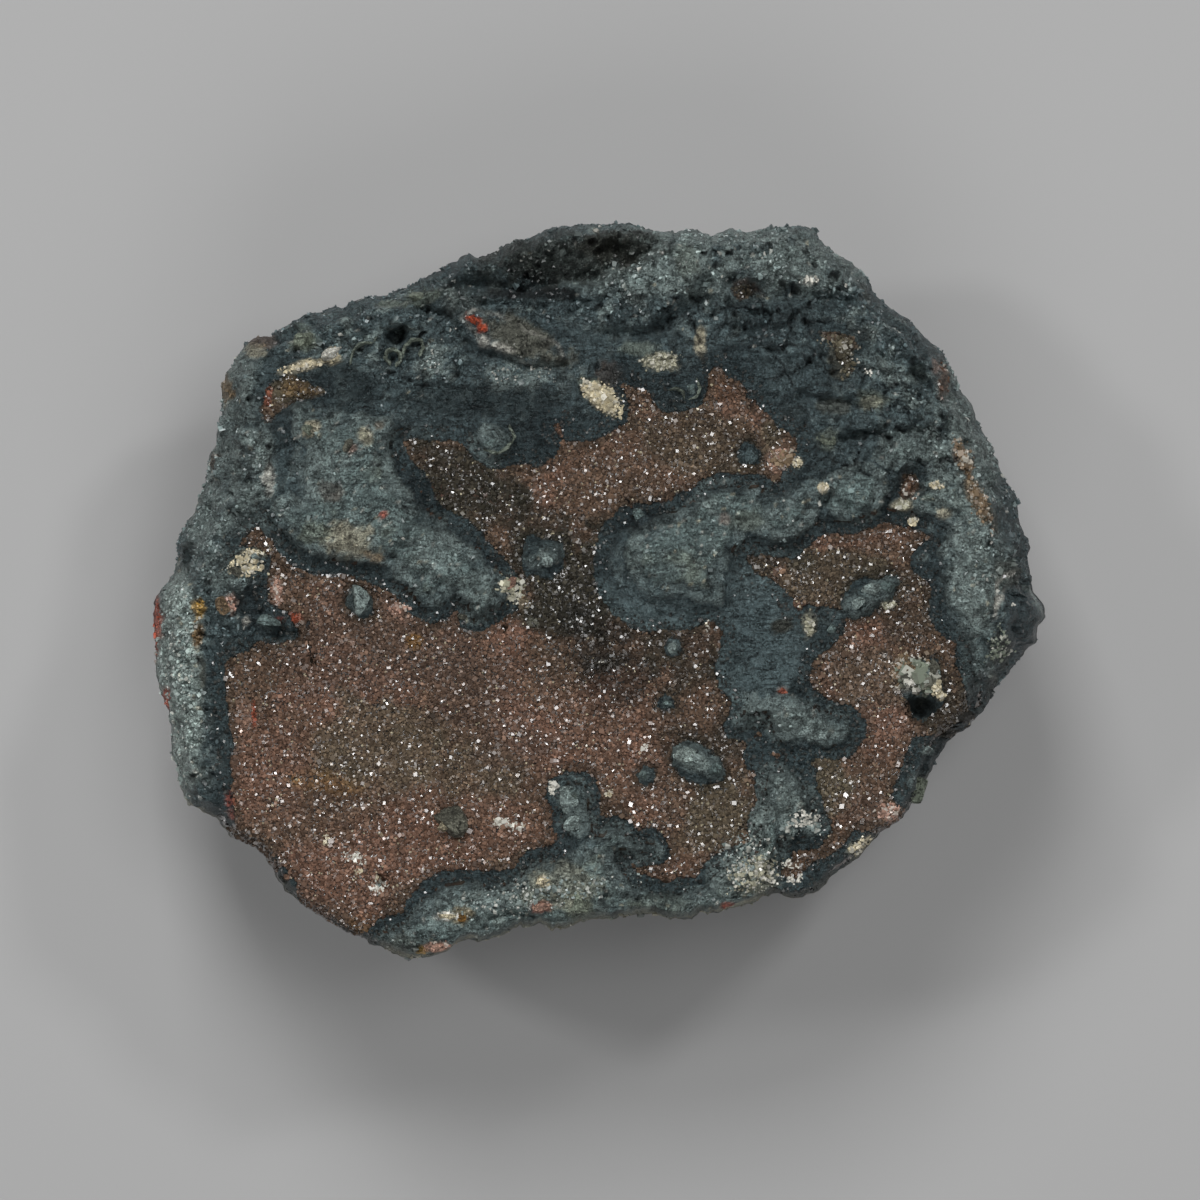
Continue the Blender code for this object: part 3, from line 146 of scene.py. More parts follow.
# Places inside the druse where the ore shows
BARE_SPOTS: dict[str, tuple[Corner, ...]] = {
    "islet_middle": (
        (-10, 2.3), (-10.3, 4), (-10, 6), (-9.7, 7.3), (-8.8, 7.7), (-7.8, 7), (-6.4, 6.8), (-5, 6.2),
        (-4.7, 4.6), (-5.3, 2.8), (-6.4, 1.8), (-7.6, 2), (-8.7, 2.7)),
    "knob_left": (
        (-33.9, -0.6), (-33.4, 0.4), (-32.4, 0.6), (-31.2, -0.2), (-30.4, -1.4), (-30.6, -2.7),
        (-31.8, -3.3), (-33.2, -2.7), (-33.9, -1.8)),
    "islet_right": (
        (32.6, -3.2), (32.2, -1.8), (33, -0.2), (34.3, 1.4), (35.6, 2.2), (37.4, 1.4), (39.6, 1.9),
        (40.1, 1.2), (39.4, -0.6), (39.2, -1.5), (37.4, -1.9), (36, -3.3), (34.4, -3.6)),
    "vug_right": (
        (40.1, -12.3), (40.9, -10.9), (42.4, -9.6), (43.9, -9), (45.2, -9.3), (45.4, -11.2), (46, -13.6),
        (45.5, -14.8), (45, -15.9), (43.4, -17.3), (42, -16.6), (41.2, -15), (40.5, -13.6)),
    "islet_lower": (
        (9.6, -20.9), (11, -20.4), (13.2, -20.7), (15.8, -22.3), (16.7, -23.8), (16.3, -25.1),
        (13.6, -25.6), (11.9, -25.2), (10.3, -23.8), (9.5, -22.3)),
    "speck_a": (
        (8.8, -7.4), (9.6, -6.2), (10.6, -6.6), (11, -8), (10.2, -8.9), (9.2, -8.7)),
    "speck_b": (
        (7.9, -14.6), (8.8, -13.9), (9.9, -14.4), (9.8, -15.6), (8.8, -16), (8, -15.5)),
    "knob_top": (
        (18.4, 18.6), (19.2, 19.7), (20.4, 19.8), (21.3, 18.8), (21.2, 17.4), (20, 17), (18.9, 17.4)),
    "knob_small": (
        (5, -24.6), (5.8, -23.5), (7, -23.9), (7.2, -25.2), (6.2, -25.9), (5.2, -25.5)),
}

# Rough grey-green tops that stand out of the face
ISLANDS: dict[str, tuple[Corner, ...]] = {
    "left_plateau": (
        (-44.3, 9.6), (-43.3, 10.6), (-42.4, 11.8), (-41.4, 12.6), (-40.5, 11), (-39.2, 11.5),
        (-38.2, 12.7), (-38.6, 15.5), (-38, 18.5), (-38.6, 20), (-40, 21.4), (-40.1, 24.2), (-39.4, 25),
        (-38.8, 22.4), (-37.6, 22.6), (-36.5, 22.2), (-34.2, 23.3), (-32, 22.9), (-30.5, 22.1),
        (-28.9, 22.8), (-28.1, 21.8), (-29, 19.6), (-28.4, 17.4), (-28, 15.1), (-26.3, 12.9), (-25.1, 11.2),
        (-23.2, 9.7), (-21.4, 9.6), (-21.6, 7.2), (-20.2, 7), (-18.6, 5.9), (-16.9, 4.6), (-16, 2.9),
        (-14.4, 2), (-12.9, 2.1), (-12.2, 0.5), (-13.4, -0.5), (-14.1, -1.2), (-14.8, -2.6), (-16.2, -3.8),
        (-17.6, -3.2), (-18.4, -1.6), (-19.6, -1.1), (-20.2, 0.3), (-21.1, 0.1), (-21.3, -1.1),
        (-22.2, -1.9), (-23.3, -1.1), (-24.7, 0), (-24.5, 1.7), (-25.4, 2), (-26.6, 2.4), (-27.6, 4.1),
        (-29.4, 4.6), (-31, 4.6), (-33.5, 5.2), (-36, 4.9), (-37.8, 5.9), (-40, 6.8), (-42, 8.4)),
    "central_blob": (
        (5.1, 2.8), (4.5, 4.6), (4.6, 6.3), (5.6, 7.6), (7.2, 8.3), (8.6, 9.4), (10.4, 10.4),
        (12, 11.2), (13.2, 13.1), (14.6, 14.1), (17.5, 14.2), (20.5, 14), (22, 12.9), (22.7, 10.9),
        (23.8, 11.4), (25.8, 12.6), (27.1, 14.2), (28.5, 14.4), (28.7, 12), (28, 9.9), (26, 8.1), (24, 7.6),
        (22, 8.3), (20.6, 9.2), (18.6, 8.7), (18, 6.2), (16.4, 4.6), (15, 3), (15.6, 1), (16, -0.6),
        (13.6, -0.4), (11, 0.4), (7, 0.3), (5.7, 1.2)),
    "right_lump": (
        (29.8, 12.6), (30.8, 14.6), (33, 15.8), (36, 16.4), (37.3, 15.3), (37.4, 13), (36.8, 11.1),
        (35, 10.1), (32.8, 10.3), (31, 11.4)),
    "lens_lump": (
        (37.3, 18.2), (38.6, 19.6), (41, 21), (42.8, 21.4), (43.7, 20.3), (43.6, 18.7), (41.8, 17.4),
        (39, 17.1)),
    "right_rim": (
        (39.6, 11.4), (41.4, 12.2), (43, 13.8), (45, 14.7), (48, 14.6), (49.6, 12), (51, 9), (52.6, 5.4),
        (53.4, 3), (53.2, 0), (52.9, -3.5), (52.3, -7), (51.6, -10.5), (50.9, -10.4), (50.6, -7),
        (50.4, -3.2), (49, -1.8), (47.4, -1.4), (47.2, 0), (48.3, 2.2), (48.7, 3.4), (46.6, 4), (46.2, 5.2),
        (48, 6.8), (48.4, 8.6), (46.8, 10.4), (44.8, 11.1), (42, 11)),
    "lower_islet_top": (
        (18.4, -17.3), (19.6, -16.5), (20.8, -15.9), (22.8, -15), (25.4, -14.7), (28, -15.6), (29, -16.4),
        (28.4, -18), (26.4, -18.7), (24, -19.1), (22.8, -18.4), (22, -17), (20.6, -17.2), (19.2, -17.7)),
    "swirl_top": (
        (30, -17.2), (31, -16.2), (32.4, -16.8), (32.7, -18.4), (31.4, -19.6), (29.4, -19.7), (28.2, -19.2),
        (29.6, -18.4)),
    "grey_ridge": (
        (22.3, -23.9), (23.6, -23.7), (25.3, -24.3), (25.9, -26), (27.9, -27), (28.6, -28.4), (28.5, -29.6),
        (29.6, -31.2), (28.4, -31.8), (26.4, -30.6), (24.8, -29.9), (24.2, -31.6), (24.6, -33.4),
        (24.2, -35), (23, -36.6), (22.6, -38.4), (21.6, -40.4), (19, -41.6), (16, -42.2), (14.9, -40.6),
        (14.9, -38.3), (16, -36.9), (18.2, -35.4), (20, -35.7), (21.4, -34.4), (21.3, -31.4), (22.6, -28.6),
        (23.2, -27), (22, -25.6)),
    "bottom_ridge": (
        (-29.6, -46.8), (-27.3, -45.5), (-25.9, -45.2), (-24.8, -43.5), (-23, -42.1), (-21, -40.7),
        (-18.5, -39.9), (-16.4, -39.9), (-15.4, -41.7), (-14.2, -41.7), (-12.2, -40), (-10, -38.5),
        (-8.9, -36.9), (-7.6, -36.4), (-5.2, -36.9), (-3.6, -36.8), (-3.4, -35.8), (-1.6, -34.5),
        (0.2, -32.9), (1.6, -31.6), (2.9, -31.6), (4, -33), (5.2, -33.9), (3.4, -34.5), (0.6, -35.4),
        (1.2, -36.8), (2.2, -38.4), (3, -39.6), (4.6, -39.8), (7, -41.2), (10, -41.6), (12.4, -40.2),
        (14, -40.9), (13.6, -42.6), (10, -43.4), (4, -42.8), (-2, -43.7), (-6, -44.8), (-12, -44.9),
        (-18, -46.3), (-22, -48.2), (-26.5, -48.7), (-28.6, -47.6)),
    "knob_a": (
        (-5.2, -25.9), (-4, -25.2), (-2.9, -25.6), (-1.8, -26.8), (-1.6, -28), (-2.5, -28.9), (-3.6, -29.1),
        (-4.8, -28), (-5.6, -26.8)),
    "knob_b": (
        (-4.4, -30.6), (-3.4, -29.9), (-2.2, -29.8), (-1.4, -30.4), (-1.5, -31.6), (-2.6, -32.1),
        (-3.9, -31.6)),
    "knob_c": (
        (5.6, -34.9), (6.2, -34.3), (7.2, -34.3), (7.6, -35), (6.8, -35.5), (5.8, -35.4)),
    "knob_tri": (
        (-33.4, -0.3), (-32.8, 0.3), (-31.5, -0.6), (-31.3, -1.2), (-32, -1.9), (-33, -2.1), (-33.4, -1.4)),
    "knob_upper": (
        (-17, 19.6), (-16.2, 20.6), (-14.8, 21.6), (-13, 20.8), (-12.6, 19.8), (-13.4, 18.6), (-14.6, 17.9),
        (-16, 18.5)),
    "islet_mid_top": (
        (-9.5, 4.8), (-8.7, 5.7), (-7.6, 5.9), (-6.2, 5.7), (-5.3, 5.2), (-5.8, 4.5), (-7.4, 4.4),
        (-8.6, 4.1)),
    "islet_right_top": (
        (33.4, -2), (33.7, -1), (35.2, -0.4), (36.6, 0.2), (37, 1), (38.4, 1), (39.3, 1.3), (39, 0.2),
        (38.4, -0.9), (36.6, -1.1), (35.6, -2.4), (34.2, -2.6)),
    "islet_low_top": (
        (10.2, -21.3), (11.2, -20.9), (12.8, -21.1), (14.6, -22.4), (16, -23.4), (15.8, -24.2), (14, -23.6),
        (11.6, -22.9), (10.1, -22.2)),
}

# Small druse pockets outside the large field
POCKETS: dict[str, tuple[Corner, ...]] = {
    "pocket_upper_left": (
        (-45.3, 24.6), (-45, 27), (-43.6, 28.5), (-41.3, 29.4), (-39.4, 28.2), (-37.2, 27.6), (-36.9, 26.4),
        (-38.6, 25.8), (-40.4, 25.2), (-42.2, 24.2), (-43.4, 23.2), (-44.2, 22.3), (-45.1, 22.6)),
    "pocket_upper_right": (
        (29, 34.9), (30.6, 35), (32.4, 34.7), (34.1, 34.3), (34.2, 33), (33.7, 31.6), (34.1, 29.2),
        (33.3, 29.1), (32.3, 30.4), (31.6, 31.8), (31, 33.3), (29.4, 34.1)),
    "pocket_right": (
        (39.5, 12.6), (40.2, 14), (40.8, 15.6), (42, 16.1), (42.9, 15.2), (43, 14), (42, 13), (40.8, 12.3)),
    "pocket_top": (
        (17.6, 40.4), (18.4, 41.2), (20, 41.4), (20.5, 40.4), (20.2, 39.6), (19, 39.2), (18, 39.4)),
}

# The smooth lens-shaped flake under the top ledge
FLAKE: tuple[Corner, ...] = (
    (-18.8, 36.5), (-17, 37.8), (-14, 37.3), (-12, 36.4), (-10, 35), (-7.6, 34.2), (-5.6, 33.2),
    (-4.8, 31.5), (-5.8, 30.4), (-9.5, 30.3), (-12, 31.2), (-14, 32.3), (-16.1, 33), (-16.9, 34.8),
    (-18, 36))

# The rim of the face by compass angle: degrees from +X, width of the slope, drop to the rim
RIM = (
    (0, 5.5, 15), (20, 4, 13), (40, 3, 12), (60, 2.5, 10), (75, 2.5, 9), (95, 2, 8), (120, 2.5, 10),
    (145, 3, 12), (165, 5, 15), (180, 4, 17), (195, 3, 17), (212, 2, 14), (225, 1.4, 10), (240, 1.2, 9),
    (255, 1.2, 10), (275, 1.2, 10), (300, 1.2, 10), (325, 1.4, 11), (345, 4, 14))

# Flat fractures that broke the sides: degrees from +X, lean in under the face, cut at the base
FRACTURES = (
    (4, 30, 14), (33, 20, 11), (58, 27, 15.5), (88, 16, 9), (112, 30, 18), (138, 20, 11), (160, 32, 15),
    (183, 22, 9.5), (206, 34, 18), (228, 18, 10), (247, 28, 16.5), (268, 22, 12), (289, 31, 19),
    (310, 20, 11), (333, 28, 15), (20, 55, 20), (75, 58, 22), (120, 60, 23), (150, 56, 19), (190, 58, 17),
    (222, 60, 22), (270, 60, 18), (300, 57, 21))

# Broad swells and dips of the face: x, y, reach in x, reach in y, height
SWELLS = (
    (16, 43, 24, 6, 3.5), (20, 32, 26, 6, 2), (-33, 16, 13, 13, 1.4), (10, 5, 9, 9, 1.2),
    (50, 3, 6, 14, 1.6), (-12, 31, 18, 5, 1.6), (-5, -42, 26, 4, 1.2), (-30, -20, 22, 16, -2.2),
    (-3, -3, 8, 14, -1.4), (36, -8, 11, 15, -1.4), (5, 18, 15, 6, -1), (10, -22, 9, 9, -0.9),
    (24, -10, 5, 8, 0.9))

ISLAND_HEIGHTS = {
    "left_plateau": 2.6, "central_blob": 2.8, "right_lump": 2.2, "lens_lump": 1.6, "right_rim": 2.2,
    "lower_islet_top": 2.4, "swirl_top": 1.6, "grey_ridge": 2.6, "bottom_ridge": 2.6, "knob_a": 2.2,
    "knob_b": 1.8, "knob_c": 1.0, "knob_tri": 1.4, "knob_upper": 1.8, "islet_mid_top": 1.3,
    "islet_right_top": 1.6, "islet_low_top": 1.4}

# Front lip of the hollow behind the top ledge, its back, and how deep it falls
HOLLOW_LIP = (
    (-20.5, 40.2), (-15, 39.7), (-10, 39.3), (-5, 40.4), (0, 40.8), (1.6, 42.2), (5, 43.6), (8.2, 45.6))
HOLLOW_BACK = (
    (-20.5, 40.2), (-18.6, 44), (-12, 46.1), (-5, 48), (2, 48.4), (8.6, 47.2), (8.2, 45.6))
HOLLOW_DEPTH = 8.0

# Open seams: width, depth, route
SEAMS = (
    (1, 2.6, ((0.5, 34.6), (4, 34.4), (7, 34.6), (9, 36.3), (11, 37.6), (13, 39))),
    (0.6, 1.8, ((-24, 37.8), (-21, 37.2), (-19.3, 36.2), (-18.6, 35.2))),
    (0.55, 1.8, ((-18, 33.6), (-16.5, 32.1), (-14, 31.7), (-12, 30.9), (-9.8, 30.1), (-6, 30.1),
                (-4.6, 30.5))),
    (1.1, 2.4, ((20.5, 40.2), (24, 40), (27, 39.8), (33, 39))),
    (0.7, 1.3, ((18, 35.3), (22, 35), (25, 35.2))),
    (0.6, 1.4, ((27, 26.2), (30, 25.7), (33, 25.4), (36.4, 24.2))),
    (0.6, 1.7, ((32, 20.4), (35, 20.9), (37, 21.2), (39, 20.6), (41, 21.5), (43.5, 21.6), (43.8, 19))),
    (1.2, 2.2, ((14.6, 41.6), (13.8, 40), (14.4, 38.4))),
    (0.3, 0.9, ((53.2, -2.6), (52.9, -0.6), (53.6, 1.2), (54.6, 2.6))),
    (0.35, 1, ((-39.2, -4.2), (-39, -7), (-38.5, -9.5))),
    (0.45, 1.1, ((29.8, 31.6), (31, 30.6), (31.2, 28.8))),
    (0.4, 1, ((22.6, 32.4), (24.6, 31.2), (27, 31.4), (29, 30.2))),
    (0.4, 1, ((-14.8, -43.6), (-12, -43), (-9, -43.4))),
    (0.35, 0.9, ((4.4, 3.8), (5.6, 2.2), (7.6, 1.4), (9.4, 1.9))),
    (0.35, 0.9, ((-16, 38.6), (-11, 38.4), (-6, 37.8), (-1, 37.6), (1.5, 38))),
    (0.35, 0.8, ((-12, 37.6), (-8, 36.6), (-4, 35.4), (-1, 34.2))),
    (0.3, 0.8, ((-6, 38.9), (-2, 38.8), (1, 39.4))),
    (0.3, 0.7, ((-9.4, 36.2), (-6, 35), (-3.4, 33.4), (-2, 31.8))),
    (0.35, 0.9, ((3.6, 12.2), (4.6, 10.8), (4.4, 9.2), (5.2, 7.8))))

# Knobs and crystal lumps: x, y, radius, height
LUMPS = (
    (5.4, 9.9, 1.5, 0.8), (-47.6, 2.5, 2.6, 1.2), (-50.3, -1.5, 1.8, 1), (-44.5, -4.2, 1.5, 1),
    (33, 33.5, 2.2, 0.8), (12.2, 27.3, 1.3, 0.9), (-46, 33, 2.2, 1), (30.2, 20.4, 1.6, 0.9),
    (34, 18.4, 2, 0.9), (23, 7.9, 2, 0.6), (-20, -43.2, 2.4, 0.5), (10, 26.2, 1.2, 0.7),
    (43.1, 4.5, 1.1, 0.6), (42.6, -26, 2, 1), (-14.5, -41.6, 1.8, 0.7), (-11.8, -41, 1.6, 0.6),
    (-9.8, -39.6, 1.5, 0.6), (-6.2, -39, 1.8, 0.7), (-3.2, -41.5, 2.4, 0.9), (-17.6, -41.6, 1.9, 0.6),
    (-22.6, -44.6, 1.8, 0.6), (-25.6, -46.4, 1.6, 0.5), (3, -41.6, 2.2, 0.6), (8.6, -42, 2, 0.5),
    (-33, 18, 3.2, 0.8), (-36.4, 11.6, 2.6, 0.7), (-28.6, 7.6, 2.6, 0.6), (-22.6, 5.6, 2.6, 0.7),
    (-18.8, 2.4, 2.2, 0.7), (-15.8, -1.2, 2, 0.6), (-40, 18.4, 2, 0.6), (-31, 12.6, 2.4, 0.6),
    (-38.4, 21.6, 1.6, 0.7), (20.6, -16.2, 1.8, 0.6), (25.4, -16.6, 2.2, 0.6), (24.6, -26.6, 2.4, 0.8),
    (22.2, -31.6, 2, 0.7), (18.8, -37.4, 2.4, 0.8), (11.6, -21.8, 1.5, 0.5), (14.6, -23.6, 1.3, 0.4),
    (54.5, 2.6, 1.6, 0.7), (-33.5, 36.5, 3, 1.2), (-40.5, 37, 2.5, 1), (52.4, -13.6, 1.6, 1))

# Holes: x, y, radius, depth
PITS = (
    (-27.6, 31.3, 0.8, 1), (-25, 32.4, 0.9, 1.1), (-32, 32, 1, 0.8), (-27.6, 33.9, 1.2, 3),
    (42.6, 29.2, 1.3, 3.6), (43.7, 27.7, 1, 2.6), (-27, 34.3, 1.3, 3.6), (1.2, 46.3, 1, 1.8),
    (2.6, 45.9, 0.8, 1.6), (27.4, 47.2, 1, 1.8), (-29.1, -38.8, 1, 2), (26.1, -13.5, 0.9, 1.6),
    (8, 36, 1.4, 1.6), (43.2, -15.6, 1.9, 4.2), (-43, -5.5, 1.1, 1.6), (-40.9, -5.6, 0.8, 1.2),
    (-48.5, -1.5, 0.7, 1.6), (-20.8, 41.2, 1, 1.6), (17.5, 41.8, 0.9, 1.8), (-45.6, 12.9, 0.6, 1.2),
    (-12.7, -4.9, 0.5, 0.8), (-11, -2.8, 0.5, 0.7), (0.8, -40.7, 0.6, 1.2), (-6, -41.5, 0.5, 1),
    (-20, -48, 0.6, 1), (30, 12.4, 0.9, 1.4), (33.4, 11.4, 0.7, 1.1), (-48.4, 16.4, 0.6, 1.2),
    (-47.2, 14.6, 0.6, 1.2), (-49.4, 18.6, 0.6, 1.1), (-47.8, 20.6, 0.5, 1))

# The dark flat fracture on the right tip
FACET: tuple[Corner, ...] = (
    (53.3, -0.5), (55, 1.5), (56.5, 1), (58.5, -1), (60, -3), (59, -4.8), (58.8, -6.9), (57.5, -8.2),
    (55.5, -8.5), (54.5, -6), (53.2, -4.5), (53, -2))


class Tone(Enum):
    """Colours of the specimen, as 8-bit screen values."""

    SKIN = (46, 57, 60)
    ORE = (80, 94, 96)
    PALE_ORE = (130, 143, 140)
    ISLAND = (108, 124, 122)
    SAGE = (120, 128, 114)
    TURQUOISE = (158, 172, 167)
    SOOT_AND_SHADE = (22, 24, 25)
    OLIVE_DARK = (46, 47, 41)
    TAUPE = (92, 92, 82)
    CREAM = (196, 186, 158)
    CHALK = (206, 204, 194)
    SAND = (160, 158, 138)
    BLUSH = (168, 134, 118)
    SALMON = (178, 104, 84)
    RUST = (178, 80, 52)
    BROWN = (98, 74, 58)
    TAN = (122, 104, 82)
    OCHRE = (132, 98, 50)
    YELLOW = (180, 140, 56)
    BRICK = (121, 93, 78)
    WINE = (101, 82, 68)
    PLUM = (99, 81, 70)
    OLIVE = (95, 90, 74)
    UMBER = (54, 52, 44)
    NIGHT = (38, 37, 33)

    def linear(self) -> np.ndarray:
        """The colour as linear values.

        Returns:
            Red, green and blue from 0 to 1.
        """
        screen = np.array(self.value) / 255
        return np.where(screen <= 0.04045, screen / 12.92, ((screen + 0.055) / 1.055) ** 2.4)

    def over(self, tint: np.ndarray, share: np.ndarray) -> np.ndarray:
        """Linear colours blended towards the tone, by a share for each."""
        return mix(tint, self.linear(), share)


@dataclass(frozen=True)
class Stain:
    """A patch of colour on the face, with a ragged edge."""

    x: float
    y: float
    reach_x: float
    reach_y: float
    tone: Tone
    strength: float = 0.8
    turn: float = 0.0

    def cover(self, points: Points, ragged: np.ndarray) -> np.ndarray:
        """How far the stain covers each place.

        Args:
            points: Places on the face, in millimetres.
            ragged: Noise from -1 to 1 that breaks up the edge.

        Returns:
            Cover of each place, from 0 to 1.
        """
        angle = math.radians(self.turn)
        dx, dy = points[:, 0] - self.x, points[:, 1] - self.y
        along = (dx * math.cos(angle) + dy * math.sin(angle)) / self.reach_x
        across = (dy * math.cos(angle) - dx * math.sin(angle)) / self.reach_y
        return self.strength * smooth_step(1.2, 0.7, np.hypot(along, across) + 0.6 * ragged)
